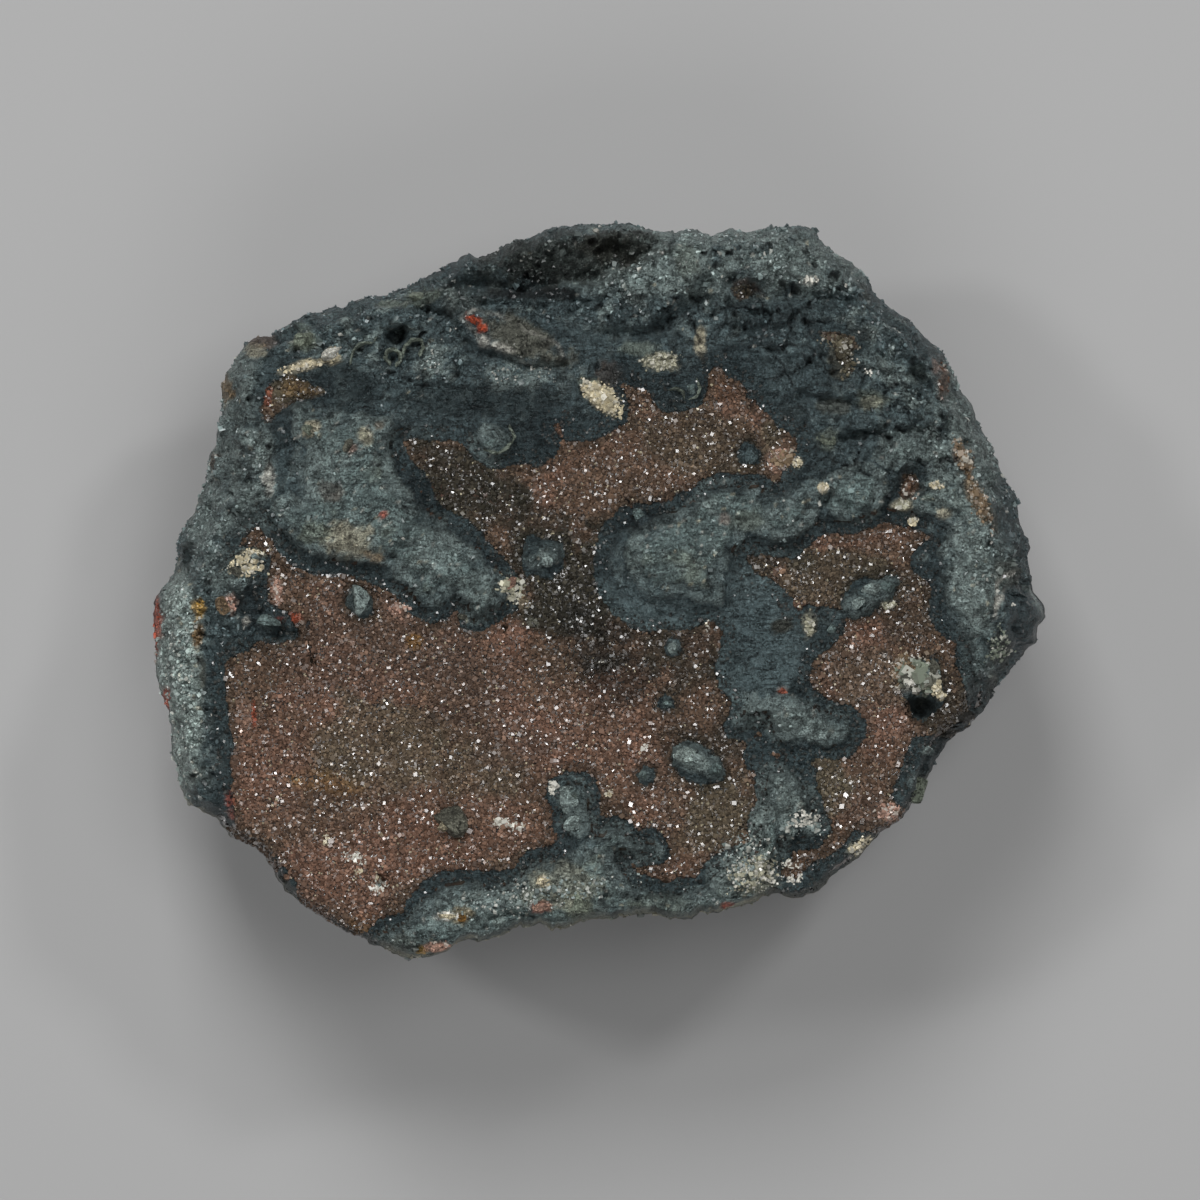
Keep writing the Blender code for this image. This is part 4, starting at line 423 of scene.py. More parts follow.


# Colour on the bare ore, with a few patches of painted shade: x, y, reach in x, reach in y, tone, strength,
# turn in degrees
ORE_STAINS_AND_SHADE = tuple(Stain(*row) for row in (
    (-39.8, 30.2, 3, 0.7, Tone.CREAM, 0.8, 14), (-36, 31.5, 1.4, 1.1, Tone.CREAM, 0.75),
    (-39.5, 33.5, 1.8, 1.5, Tone.SAGE, 0.7), (-45.3, 33.6, 2, 1.1, Tone.BROWN, 0.6),
    (-46.3, 32.3, 1.6, 1, Tone.CREAM, 0.45), (-50.2, 27.3, 0.9, 2, Tone.OCHRE, 0.6),
    (-51.4, 17, 0.8, 2, Tone.BROWN, 0.6), (-44.4, 15, 0.8, 2.4, Tone.CHALK, 0.6),
    (-48, 16.5, 1.6, 3.6, Tone.SOOT_AND_SHADE, 0.3), (-38.7, 21.8, 1.2, 1, Tone.CREAM, 0.6),
    (-31.5, 20.8, 1.3, 1.4, Tone.CREAM, 0.55), (-33.3, 19.2, 1, 0.8, Tone.BLUSH, 0.6),
    (-29.5, 22.2, 0.9, 0.7, Tone.TAN, 0.5), (-36, 13.3, 1.8, 1.6, Tone.BROWN, 0.5),
    (-33.6, 6.6, 3.6, 2.6, Tone.CREAM, 0.5), (-38, 7.8, 2.2, 1.4, Tone.SAGE, 0.6),
    (-29, 10.2, 0.6, 0.5, Tone.RUST, 0.6), (-30.6, 4.8, 1.6, 0.7, Tone.OCHRE, 0.5, -25),
    (-22, 31.5, 1.5, 2, Tone.PALE_ORE, 0.6), (-23.4, 29.8, 1.2, 1.2, Tone.PALE_ORE, 0.7),
    (-24, 39.3, 2.5, 1.2, Tone.SAGE, 0.5), (-28, 38.6, 2, 0.8, Tone.SAGE, 0.5),
    # The two dark olive patches are painted shade in the hollow behind the top ledge.
    (-5, 44.4, 11, 3.6, Tone.OLIVE_DARK, 0.7), (3, 46, 5.5, 2.6, Tone.OLIVE_DARK, 0.8),
    # The black strip along the hollow's lip is a painted shadow under the ledge.
    (-9, 39.9, 6.5, 0.9, Tone.SOOT_AND_SHADE, 0.8), (-10.5, 33.9, 6.2, 2.4, Tone.TAUPE, 0.85, -22),
    (-16.9, 36.4, 1.2, 0.8, Tone.RUST, 0.95, -30), (-15.8, 35.2, 0.9, 0.7, Tone.RUST, 0.9),
    (-15.6, 33.7, 0.9, 1, Tone.CHALK, 0.6), (-13.4, 32.8, 1.8, 0.5, Tone.CHALK, 0.45, -20),
    (-11, 28.9, 5.2, 1.8, Tone.PALE_ORE, 0.6), (0.2, 26.1, 3, 1.5, Tone.CREAM, 0.95, -38),
    (-1.6, 27.6, 1.6, 1.2, Tone.SAGE, 0.6), (1.2, 29, 1.6, 2, Tone.BROWN, 0.45),
    (8.3, 30.8, 2.2, 1.3, Tone.SAND, 0.7), (13.3, 33.2, 0.8, 1.8, Tone.CREAM, 0.6),
    (5, 32.6, 3, 1, Tone.SAGE, 0.4), (11.6, 44, 1.8, 2.4, Tone.SAGE, 0.35),
    (19.4, 40.4, 1.8, 1.3, Tone.BROWN, 0.9), (28, 41.6, 1.4, 0.9, Tone.CHALK, 0.45),
    (32.4, 31.4, 1.5, 2.8, Tone.OLIVE, 0.9), (36, 25.2, 1.6, 1.1, Tone.CREAM, 0.4),
    (31.6, 24.8, 2.2, 1.1, Tone.TAUPE, 0.5), (46, 28.2, 1, 2.6, Tone.BROWN, 0.75),
    (45.2, 30.2, 0.8, 1.4, Tone.BLUSH, 0.4), (48.6, 17.6, 1, 2.8, Tone.BROWN, 0.6, 22),
    (50.4, 12.5, 1.2, 3.2, Tone.OCHRE, 0.55, 22), (52.6, 9.6, 0.9, 2.2, Tone.TAUPE, 0.7, 25),
    (45.1, 14.2, 0.9, 0.6, Tone.CREAM, 0.8), (40.6, 11.6, 1.3, 0.8, Tone.CREAM, 0.75),
    (41.9, 9.4, 0.6, 0.6, Tone.CREAM, 0.8), (46, 10.4, 0.9, 0.7, Tone.CREAM, 0.5),
    (41.3, 14.4, 1.4, 1.6, Tone.BROWN, 0.8), (29.8, 13.8, 0.8, 0.8, Tone.CREAM, 0.8),
    (26.3, 17.3, 0.8, 0.7, Tone.CREAM, 0.8), (43.1, 4.5, 0.8, 0.6, Tone.PALE_ORE, 0.8),
    (56.5, -3.4, 3.6, 5.2, Tone.SKIN, 0.7), (53.4, -1, 0.35, 1.3, Tone.CHALK, 0.6, -30),
    (53.6, -8, 1.4, 2.6, Tone.UMBER, 0.5), (52.6, -12.6, 0.8, 2, Tone.TAUPE, 0.6),
    (54.2, 2.4, 1.4, 1.8, Tone.TAUPE, 0.45), (38.6, -1.9, 1, 0.6, Tone.CREAM, 0.7),
    (43.2, -11.6, 2.6, 2.6, Tone.PALE_ORE, 0.8), (41.1, -12.8, 0.9, 0.8, Tone.CHALK, 0.8),
    # The dark olive patch at (43.2, -15.6) is painted shade in the deep pit.
    (45.6, -13.8, 0.7, 0.8, Tone.CREAM, 0.8), (43.2, -15.6, 2, 1.5, Tone.OLIVE_DARK, 0.9),
    (28, -4.4, 0.9, 1.6, Tone.CREAM, 0.45), (24.4, -4.6, 1.6, 1.3, Tone.UMBER, 0.8),
    (24.4, -13.3, 0.8, 0.6, Tone.BLUSH, 0.3), (30, -19.3, 2.6, 0.4, Tone.PALE_ORE, 0.8, -4),
    (9.8, -7.5, 0.7, 1, Tone.PALE_ORE, 0.8), (8.9, -15, 0.7, 0.7, Tone.PALE_ORE, 0.6),
    (5.9, -24.6, 0.8, 0.7, Tone.PALE_ORE, 0.7), (1.2, -27, 0.8, 0.8, Tone.BLUSH, 0.6),
    (-47.8, 3.6, 2.4, 1.4, Tone.TAUPE, 0.6), (-46.4, 5.2, 1.8, 0.6, Tone.CREAM, 0.75),
    (-49.6, -1.6, 1, 1.4, Tone.BLUSH, 0.6), (-46.8, -1.4, 1.6, 3, Tone.SKIN, 0.8),
    (-47.3, -4, 0.5, 0.5, Tone.CHALK, 0.7), (-42.9, -3.8, 0.6, 0.5, Tone.RUST, 0.7),
    (-44.6, -4.2, 0.9, 1.1, Tone.ISLAND, 0.8), (-53.7, -2.4, 0.7, 1.6, Tone.YELLOW, 0.7),
    (-54, -6, 0.8, 2.2, Tone.OCHRE, 0.85), (-53.2, -11.4, 0.5, 2.8, Tone.TAUPE, 0.7),
    (-59.8, -4.8, 0.5, 4.4, Tone.RUST, 0.9), (-58.4, -14.4, 0.8, 1.8, Tone.RUST, 0.85, -12),
    (-48.1, -17.3, 1.5, 1.6, Tone.BLUSH, 0.5), (-49.6, -27.6, 0.6, 1, Tone.RUST, 0.8),
    (-49.4, -29.8, 0.5, 0.8, Tone.SALMON, 0.8), (-19.7, -30.4, 1.3, 1.2, Tone.TAUPE, 0.6),
    (-20.2, -31.4, 1, 0.9, Tone.CREAM, 0.6), (-7.5, -38.8, 1, 1.1, Tone.CREAM, 0.85),
    (-18.4, -43.4, 1.6, 1.1, Tone.YELLOW, 0.6), (-20.8, -43.4, 1.6, 0.6, Tone.CHALK, 0.75),
    (-7.8, -42.1, 1.5, 0.8, Tone.SALMON, 0.75, 12), (-24, -48, 1.1, 0.6, Tone.YELLOW, 0.85),
    (-21.8, -47.6, 1.8, 0.8, Tone.BLUSH, 0.85), (-2.8, -42.2, 2.2, 2, Tone.SAGE, 0.7),
    (-13.5, -44, 1, 1, Tone.TURQUOISE, 0.5), (17, -42, 0.9, 0.5, Tone.RUST, 0.8),
    (20.4, -38, 3.4, 2.6, Tone.SAND, 0.7), (17.4, -38.8, 2.4, 2, Tone.PALE_ORE, 0.7),
    (38.4, -30, 1.8, 1.6, Tone.BLUSH, 0.75), (35.2, -34.2, 2, 1.2, Tone.CREAM, 0.7, 35),
    (42.6, -26, 1.1, 1.8, Tone.PALE_ORE, 0.7), (43.8, -21.2, 0.8, 0.8, Tone.PALE_ORE, 0.8),
    (2.6, -37.6, 2.4, 2.2, Tone.SKIN, 0.5), (8.6, -41.8, 4.6, 1.5, Tone.SAGE, 0.35),
    (-26.6, -47.2, 2.6, 1.6, Tone.TAUPE, 0.4), (-45, 20, 1, 3.4, Tone.PALE_ORE, 0.5),
    (19.8, -31.4, 2.6, 4.4, Tone.TURQUOISE, 0.55), (18.2, -36.4, 4.2, 3.6, Tone.PALE_ORE, 0.6),
    (12.2, -22.3, 3, 1.3, Tone.TURQUOISE, 0.45, -25), (27, -18.6, 4.2, 2, Tone.PALE_ORE, 0.5),
    (3, -36.4, 3.4, 2.4, Tone.PALE_ORE, 0.4, 30), (-10, -39.6, 8, 1.8, Tone.PALE_ORE, 0.4, 10),
    (-16, -42.4, 7, 2.2, Tone.PALE_ORE, 0.45, 15), (-5, -39.4, 5.5, 3, Tone.SAND, 0.45),
    (58, -1, 3.6, 0.25, Tone.PALE_ORE, 0.8, -58), (53.1, -0.8, 2.2, 0.25, Tone.CHALK, 0.6, 85),
    (54, 1.9, 1.3, 0.25, Tone.CHALK, 0.6, 50), (50, 3, 2.4, 6, Tone.PALE_ORE, 0.4),
    (49.6, -10, 1.2, 5, Tone.PALE_ORE, 0.5, 8), (24, -16.4, 5.6, 2.2, Tone.PALE_ORE, 0.5, -12),
    (24, -27.4, 3.4, 3.6, Tone.PALE_ORE, 0.6), (20.6, -31.5, 2.2, 5, Tone.TURQUOISE, 0.45),
    (20, 9.4, 2.4, 1.6, Tone.SAGE, 0.4), (34, 13, 3.4, 2.6, Tone.ISLAND, 0.6),
    (40.6, 19.2, 3, 1.8, Tone.PALE_ORE, 0.4), (30.4, 20.4, 1.8, 1.3, Tone.SAGE, 0.5),
    (36.4, 25.6, 2.4, 1.6, Tone.SAGE, 0.45), (37, 30.4, 3, 2, Tone.PALE_ORE, 0.35),
    (25, 30, 3.4, 3, Tone.ORE, 0.6), (-22, 5.4, 3.4, 3, Tone.PALE_ORE, 0.4),
    (-16, 0.4, 3, 2.2, Tone.PALE_ORE, 0.45), (-37.6, 15.6, 3.4, 3.6, Tone.PALE_ORE, 0.35),
    (16.6, 9.8, 0.9, 0.8, Tone.BLUSH, 0.3)))

# Colour zones of the druse
DRUSE_ZONES = tuple(Stain(*row) for row in (
    (-20, 14, 9.5, 7, Tone.UMBER, 0.9), (-3, 0, 8, 9, Tone.UMBER, 0.95), (-1, -6, 5, 4.5, Tone.NIGHT, 0.7),
    (2, -12, 5, 4.5, Tone.NIGHT, 0.65), (12, -8, 5, 5, Tone.UMBER, 0.7), (-8, 8, 5, 5, Tone.UMBER, 0.7),
    (12, -20.5, 6, 4, Tone.UMBER, 0.6), (16, -30, 5, 6, Tone.OLIVE, 0.6),
    (22, -14.5, 4, 3.5, Tone.UMBER, 0.5), (-30, -8, 16, 7, Tone.PLUM, 0.55),
    (-30, -20, 9, 6, Tone.OLIVE, 0.55), (-17, -12, 8, 6, Tone.PLUM, 0.5),
    (-16, -24, 6, 4.5, Tone.OLIVE, 0.45), (-37.6, -25.6, 5.5, 1.6, Tone.OCHRE, 0.3, -8),
    (-40.8, -25.4, 0.9, 0.8, Tone.YELLOW, 0.3), (-31.8, -44.5, 2, 1.2, Tone.OCHRE, 0.5),
    (-25, -6.6, 1, 1, Tone.OCHRE, 0.6), (-41, -3.5, 1.3, 1.1, Tone.RUST, 0.75),
    (-43.4, 0, 0.9, 2.4, Tone.BLUSH, 0.6), (-36, 4.4, 6, 1.6, Tone.BRICK, 0.5),
    (-27, -2.4, 1.4, 0.9, Tone.BLUSH, 0.6), (-25.6, -3.8, 1.6, 0.8, Tone.BLUSH, 0.3),
    (-12, 0.9, 1.5, 1.5, Tone.TAN, 0.6), (-10.5, -1.3, 1.3, 1, Tone.CREAM, 0.4),
    (-9, -4.2, 0.8, 0.7, Tone.TAUPE, 0.8), (-47.8, -17, 1.6, 2.4, Tone.BLUSH, 0.3),
    (-46.4, -16.6, 0.4, 2, Tone.RUST, 0.5), (-49.6, -28.4, 0.7, 2.4, Tone.RUST, 0.5),
    (-44, -24, 5, 9, Tone.BRICK, 0.5), (-34, -38, 9, 6, Tone.BRICK, 0.8), (2, 17, 10, 6, Tone.WINE, 0.6),
    (6, 13, 4, 3, Tone.UMBER, 0.3), (14, 20, 9, 5, Tone.OLIVE, 0.35), (14, 20, 8, 4, Tone.UMBER, 0.25),
    (-6, 24.4, 2.4, 1.8, Tone.BLUSH, 0.25), (24.6, 17.4, 2.2, 1.8, Tone.BLUSH, 0.5),
    (23, 21.6, 2.2, 2.2, Tone.OLIVE, 0.7), (16.5, 27.6, 2.4, 3, Tone.BROWN, 0.4),
    (24, 4, 5, 1.6, Tone.UMBER, 0.6), (34, 7.4, 9, 1.5, Tone.BRICK, 0.4, 8),
    (30, 1.8, 9, 3.5, Tone.OLIVE, 0.6), (31, 2.6, 8, 3, Tone.UMBER, 0.35),
    (41, -2.4, 4.5, 5, Tone.UMBER, 0.45), (36, -12, 7, 4, Tone.OLIVE, 0.5), (36, -14, 9, 8, Tone.PLUM, 0.4),
    (47, -16, 4, 4.5, Tone.UMBER, 0.75), (37.6, -19.6, 5, 4.5, Tone.BRICK, 0.4),
    (30, -26, 5, 5, Tone.OLIVE, 0.8), (35.6, -29.4, 4, 3, Tone.PLUM, 0.6),
    (27, -36.6, 3.5, 2.6, Tone.BROWN, 0.45), (3, -23, 7.5, 5.5, Tone.BRICK, 0.5),
    (-4, -18, 7, 5, Tone.BRICK, 0.3), (9.6, -37.4, 4.5, 1.5, Tone.BRICK, 0.5),
    (-13, -33.6, 6, 2.6, Tone.BRICK, 0.45), (-41, 27.5, 4.5, 2.6, Tone.OLIVE, 0.8),
    (-40, 27.5, 3, 1.5, Tone.OCHRE, 0.35), (-44.6, 26.6, 0.7, 1.6, Tone.RUST, 0.5),
    (32.6, 31.4, 1.6, 2.8, Tone.OLIVE, 0.9), (19, 40.4, 2.2, 1.4, Tone.UMBER, 0.8),
    (41.2, 14.4, 2.2, 2.2, Tone.BROWN, 0.5), (-27, -34, 7, 5, Tone.BRICK, 0.8),
    (-12, -20, 5, 4, Tone.PLUM, 0.6), (-13, 12, 4, 4, Tone.UMBER, 0.65)))

# Rugged outer parts where the ore is rougher and full of pits: x, y, reach in x, reach in y
RUGGED = (
    (-50, 12, 8, 20), (-34, 37.5, 20, 5.5), (14, 45, 30, 7), (46, 27, 10, 14), (-56, -16, 5, 16),
    (0, 40, 14, 4), (30, 38, 18, 5), (-25, 31, 6.5, 5), (54, 8, 4, 12), (51, -13, 4, 5))

# Plates of slate with open cracks between them
CRACKED = (
    (27, 29, 12, 9), (36, 22, 11, 7), (20, 37, 12, 4), (47, 22, 5, 8))

# Calm slate skins
CALM = (
    (-35, 27.6, 5, 3.2), (-16, 25.5, 11, 2.2), (-9, 21, 5, 4), (-1, 22.4, 4, 1.6), (3.6, 30, 3, 2.4),
    (19, 26, 5, 7), (10, -1.6, 8, 2.6), (22, -8, 5, 7), (-22.8, 14, 2.6, 6), (26, -21, 7, 2.6),
    (47.5, -6, 2, 8), (-52, -10, 1.4, 6))

# Skins that stay light up to the druse, and those that are darkest
LIT_SKINS = (
    (8, -2, 11, 5), (21, -8, 6, 9), (20, 2, 5, 6))
DARK_SKINS = (
    (-35, 27.6, 5, 3.2), (-16, 25.5, 11, 2.4), (-9, 21, 5, 4), (-22.8, 14, 2.6, 6), (5, 10, 5, 2))


def smooth_step(low: float, high: float, value: np.ndarray) -> np.ndarray:
    """A soft step.

    Args:
        low: Where the step starts; it may be above high for a falling step.
        high: Where the step ends.
        value: Numbers to put through the step.

    Returns:
        Numbers from 0 to 1.
    """
    share = np.clip((value - low) / (high - low), 0, 1)
    return share * share * (3 - 2 * share)


def far_out(points: Points, x: float, y: float, reach_x: float, reach_y: float) -> np.ndarray:
    """How far out of an ellipse's middle each place lies: 1 on its edge."""
    return np.hypot((points[:, 0] - x) / reach_x, (points[:, 1] - y) / reach_y)


def mound(points: Points, patches: Patches) -> np.ndarray:
    """How far places lie inside any of a set of soft ellipses.

    Args:
        points: Places on the face, in millimetres.
        patches: Ellipses as x, y, reach in x, reach in y.

    Returns:
        Numbers from 0 to 1.
    """
    cover = np.zeros(len(points))
    for patch in patches:
        cover = np.maximum(cover, smooth_step(1.25, 0.75, far_out(points, *patch)))
    return cover


def around(reach: np.ndarray | float, angle: np.ndarray) -> Points:
    """Places at a distance and an angle from the middle."""
    return np.column_stack([reach * np.cos(angle), reach * np.sin(angle)])


def to_disc(square: Points) -> tuple[np.ndarray, np.ndarray]:
    """Map places of the square from -1 to 1 onto a disc of radius 1.

    Args:
        square: Places on the square.

    Returns:
        Distance of each place from the middle, and its angle from +X.
    """
    u, v = square.T
    x, y = u * np.sqrt(1 - v * v / 2), v * np.sqrt(1 - u * u / 2)
    return np.hypot(x, y), np.arctan2(y, x)


def mix(first: np.ndarray, second: np.ndarray, share: np.ndarray) -> np.ndarray:
    """Blend two sets of colours by a share for each row."""
    return first + (second - first) * np.asarray(share)[:, None]


class Grain:
    """Random natural variation that is the same in every run."""

    @staticmethod
    def lattice(cell: np.ndarray, seed: int) -> np.ndarray:
        """A random number for each cell of a lattice.

        Args:
            cell: Whole-number places, one row each.
            seed: Chooses the pattern.

        Returns:
            Numbers from 0 to 1.
        """
        key = np.full(len(cell), seed * 7919 + 17, np.uint64)
        for axis in range(cell.shape[1]):
            key ^= cell[:, axis].astype(np.int64).astype(np.uint64) * np.uint64(0x9E3779B97F4A7C15)
            key = (key ^ (key >> np.uint64(31))) * np.uint64(0xBF58476D1CE4E5B9)
            key ^= key >> np.uint64(29)
        return (key >> np.uint64(40)).astype(float) / float(1 << 24)

    @classmethod
    def smooth(cls, points: Points, seed: int) -> np.ndarray:
        """Soft noise with bumps one unit wide.

        Args:
            points: Places, already divided by the size of the bumps.
            seed: Chooses the pattern.

        Returns:
            Numbers from -1 to 1.
        """
        low = np.floor(points)
        part = points - low
        part = part * part * (3 - 2 * part)
        total = np.zeros(len(points))
        for corner in itertools.product((0, 1), repeat=points.shape[1]):
            weight = np.prod(np.where(corner, part, 1 - part), axis=1)
            total += weight * cls.lattice(low + corner, seed)
        return total * 2 - 1

    @classmethod
    def fractal(cls, points: Points, size: float, octaves: int, seed: int, keep: float = 0.5) -> np.ndarray:
        """Noise with ever finer bumps.

        Args:
            points: Places, in millimetres.
            size: Size of the largest bumps, in millimetres.
            octaves: How many times the bumps halve.
            seed: Chooses the pattern.
            keep: Strength of each finer layer against the one before.

        Returns:
            Numbers from about -1 to 1.
        """
        total = np.zeros(len(points))
        reach = 0.0
        for step in range(octaves):
            total += keep ** step * cls.smooth(points * (2 ** step / size) + 13.7 * step, seed + step)
            reach += keep ** step
        return total / reach * 1.4

    @classmethod
    def cells(cls, points: Points, size: float,
              seed: int) -> Iterator[tuple[np.ndarray, np.ndarray, np.ndarray]]:
        """The cells around each place, each with a middle of its own.

        Args:
            points: Places, in millimetres.
            size: Size of a cell, in millimetres.
            seed: Chooses the pattern.

        Returns:
            One cell for each place at a time: its number, the way from its middle to the place, and how long
            that way is. Both are measured in cells.
        """
        scaled = points / size
        home = np.floor(scaled)
        axes = points.shape[1]
        for corner in itertools.product((-1, 0, 1), repeat=axes):
            cell = home + corner
            middle = np.stack([cls.lattice(cell, seed + 31 * axis) for axis in range(axes)], axis=1)
            away = scaled - cell - middle
            yield cell, away, np.linalg.norm(away, axis=1)

    @classmethod
    def chips(cls, points: Points, size: float, seed: int) -> tuple[np.ndarray, np.ndarray, np.ndarray]:
        """Angular cells like the chips of a broken surface.

        Args:
            points: Places, in millimetres.
            size: Size of a chip, in millimetres.
            seed: Chooses the pattern.

        Returns:
            Distance to the nearest chip's middle and to its border, in chips, and each chip's random number.
        """
        nearest, second = np.full((2, len(points)), FAR_CELL)
        tag = np.zeros(len(points))
        for cell, _, gap in cls.cells(points, size, seed):
            closer = gap < nearest
            second = np.where(closer, nearest, np.minimum(second, gap))
            tag = np.where(closer, cls.lattice(cell, seed + 977), tag)
            nearest = np.where(closer, gap, nearest)
        return nearest, second - nearest, tag

    @classmethod
    def plates(cls, points: Points, size: float, seed: int) -> np.ndarray:
        """Broken plates, each with a level and a tilt of its own.

        Args:
            points: Places, in millimetres.
            size: Size of a plate, in millimetres.
            seed: Chooses the pattern.

        Returns:
            Levels from about -1 to 1.
        """
        nearest = np.full(len(points), FAR_CELL)
        level = np.zeros(len(points))
        for cell, away, gap in cls.cells(points, size, seed):
            axes = range(points.shape[1])
            tilt = np.stack([cls.lattice(cell, seed + 400 + 31 * axis) for axis in axes], axis=1) - 0.5
            plane = 1.3 * (cls.lattice(cell, seed + 977) - 0.5) + 1.8 * (tilt * away).sum(1)
            level = np.where(gap < nearest, plane, level)
            nearest = np.minimum(nearest, gap)
        return level


class Noise(Enum):
    """Patterns of soft noise: size of bumps in millimetres, layers, seed, strength of finer layers."""

    EDGE = (1.9, 4, 41, 0.75)
    DROP = (11, 4, 43, 0.6)
    WANDER_X = (2.4, 4, 3, 0.62)
    WANDER_Y = (2.4, 4, 7, 0.62)
    BEND_X = (1.6, 3, 5)
    BEND_Y = (1.6, 3, 9)
    LUMPY = (3.2, 4, 11, 0.6)
    RIDGED = (1.9, 4, 13, 0.66)
    OPEN_CRACKS = (5, 2, 37)
    DASHES = (1, 2, 29)
    SWELL = (9, 2, 61)
    WAVE = (3.6, 2, 67)
    BROKEN = (7, 5, 73, 0.6)
    PUSH_X = (1.1, 3, 83)
    PUSH_Y = (1.1, 3, 89)
    GROUND_SLOW = (7, 4, 101)
    GROUND_FAST = (1.3, 3, 103, 0.7)
    GROUND_BROWN = (5, 3, 107)
    RAGGED = (1.7, 4, 127, 0.75)
    ISLAND = (4, 3, 131)
    RUST = (9, 4, 137)
    RUST_LEFT = (4, 3, 139)
    ZONE_EDGE = (3.4, 3, 151, 0.6)
    ZONE = (6, 4, 157)
    CLUMPS = (2.2, 3, 167)
    NUGGET_FORM = (0.6, 3, 3, 0.7)
    NUGGET_TONE = (0.9, 3, 173, 0.7)

    def at(self, points: Points) -> np.ndarray:
        """Numbers from about -1 to 1 for places in millimetres."""
        return Grain.fractal(points, *self.value)


@dataclass(frozen=True)
class Outline:
    """A line drawn on the face, in millimetres."""

    corners: tuple[Corner, ...]
    closed: bool = True

    def gap(self, points: Points) -> np.ndarray:
        """Distance from each place to the line.

        Args:
            points: Places on the face, in millimetres.

        Returns:
            Millimetres.
        """
        corners = np.array(self.corners, float)
        start = corners if self.closed else corners[:-1]
        span = (np.roll(corners, -1, axis=0) if self.closed else corners[1:]) - start
        length = (span * span).sum(1)
        gaps = []
        for block in np.array_split(points, max(1, len(points) // 4000)):
            reach = block[:, None, :] - start[None]
            along = np.clip((reach * span).sum(2) / length, 0, 1)
            gaps.append(np.sqrt(((reach - along[..., None] * span) ** 2).sum(2).min(1)))
        return np.concatenate(gaps)

    def holds(self, points: Points) -> np.ndarray:
        """Whether places lie inside the closed line.

        Args:
            points: Places on the face, in millimetres.

        Returns:
            True for each place inside.
        """
        corners = np.array(self.corners, float)
        held = np.zeros(len(points), bool)
        for (ax, ay), (bx, by) in zip(corners, np.roll(corners, -1, axis=0)):
            if ay != by:
                crosses = (ay > points[:, 1]) != (by > points[:, 1])
                held ^= crosses & (points[:, 0] < ax + (points[:, 1] - ay) * (bx - ax) / (by - ay))
        return held

    def depth(self, points: Points, margin: float = 4.0) -> np.ndarray:
        """Signed distance to the line.

        Args:
            points: Places on the face, in millimetres.
            margin: Beyond this distance outside the line, only this much is told.

        Returns:
            Millimetres, positive inside.
        """
        corners = np.array(self.corners, float)
        near = np.all((points > corners.min(0) - margin) & (points < corners.max(0) + margin), axis=1)
        result = np.full(len(points), -margin)
        if near.any():
            close = points[near]
            result[near] = np.maximum(self.gap(close) * np.where(self.holds(close), 1, -1), -margin)
        return result


@dataclass
class Places:
    """Places on the face, in millimetres, and what the drawing says about each of them."""

    flat: Points
    angle: np.ndarray
    rim_gap: np.ndarray
    druse: np.ndarray
    island: np.ndarray
    rise: np.ndarray
    slope: np.ndarray
    rugged: np.ndarray
    cracked: np.ndarray
    calm: np.ndarray

    def spots(self) -> Points:
        """The places with their fall at the rim as a third coordinate, so that noise follows steep slopes."""
        return np.column_stack([self.flat, 0.8 * self.slope])

    def steep(self) -> np.ndarray:
        """1 where the face falls steeply to the rim, 0 where it is flat."""
        return smooth_step(0.5, 4.0, self.slope)

    def facet(self, edge: float = 0.25) -> np.ndarray:
        """1 on the flat glossy facet at the right edge, 0 elsewhere."""
        return smooth_step(-0.2, edge, Outline(FACET).depth(self.flat))


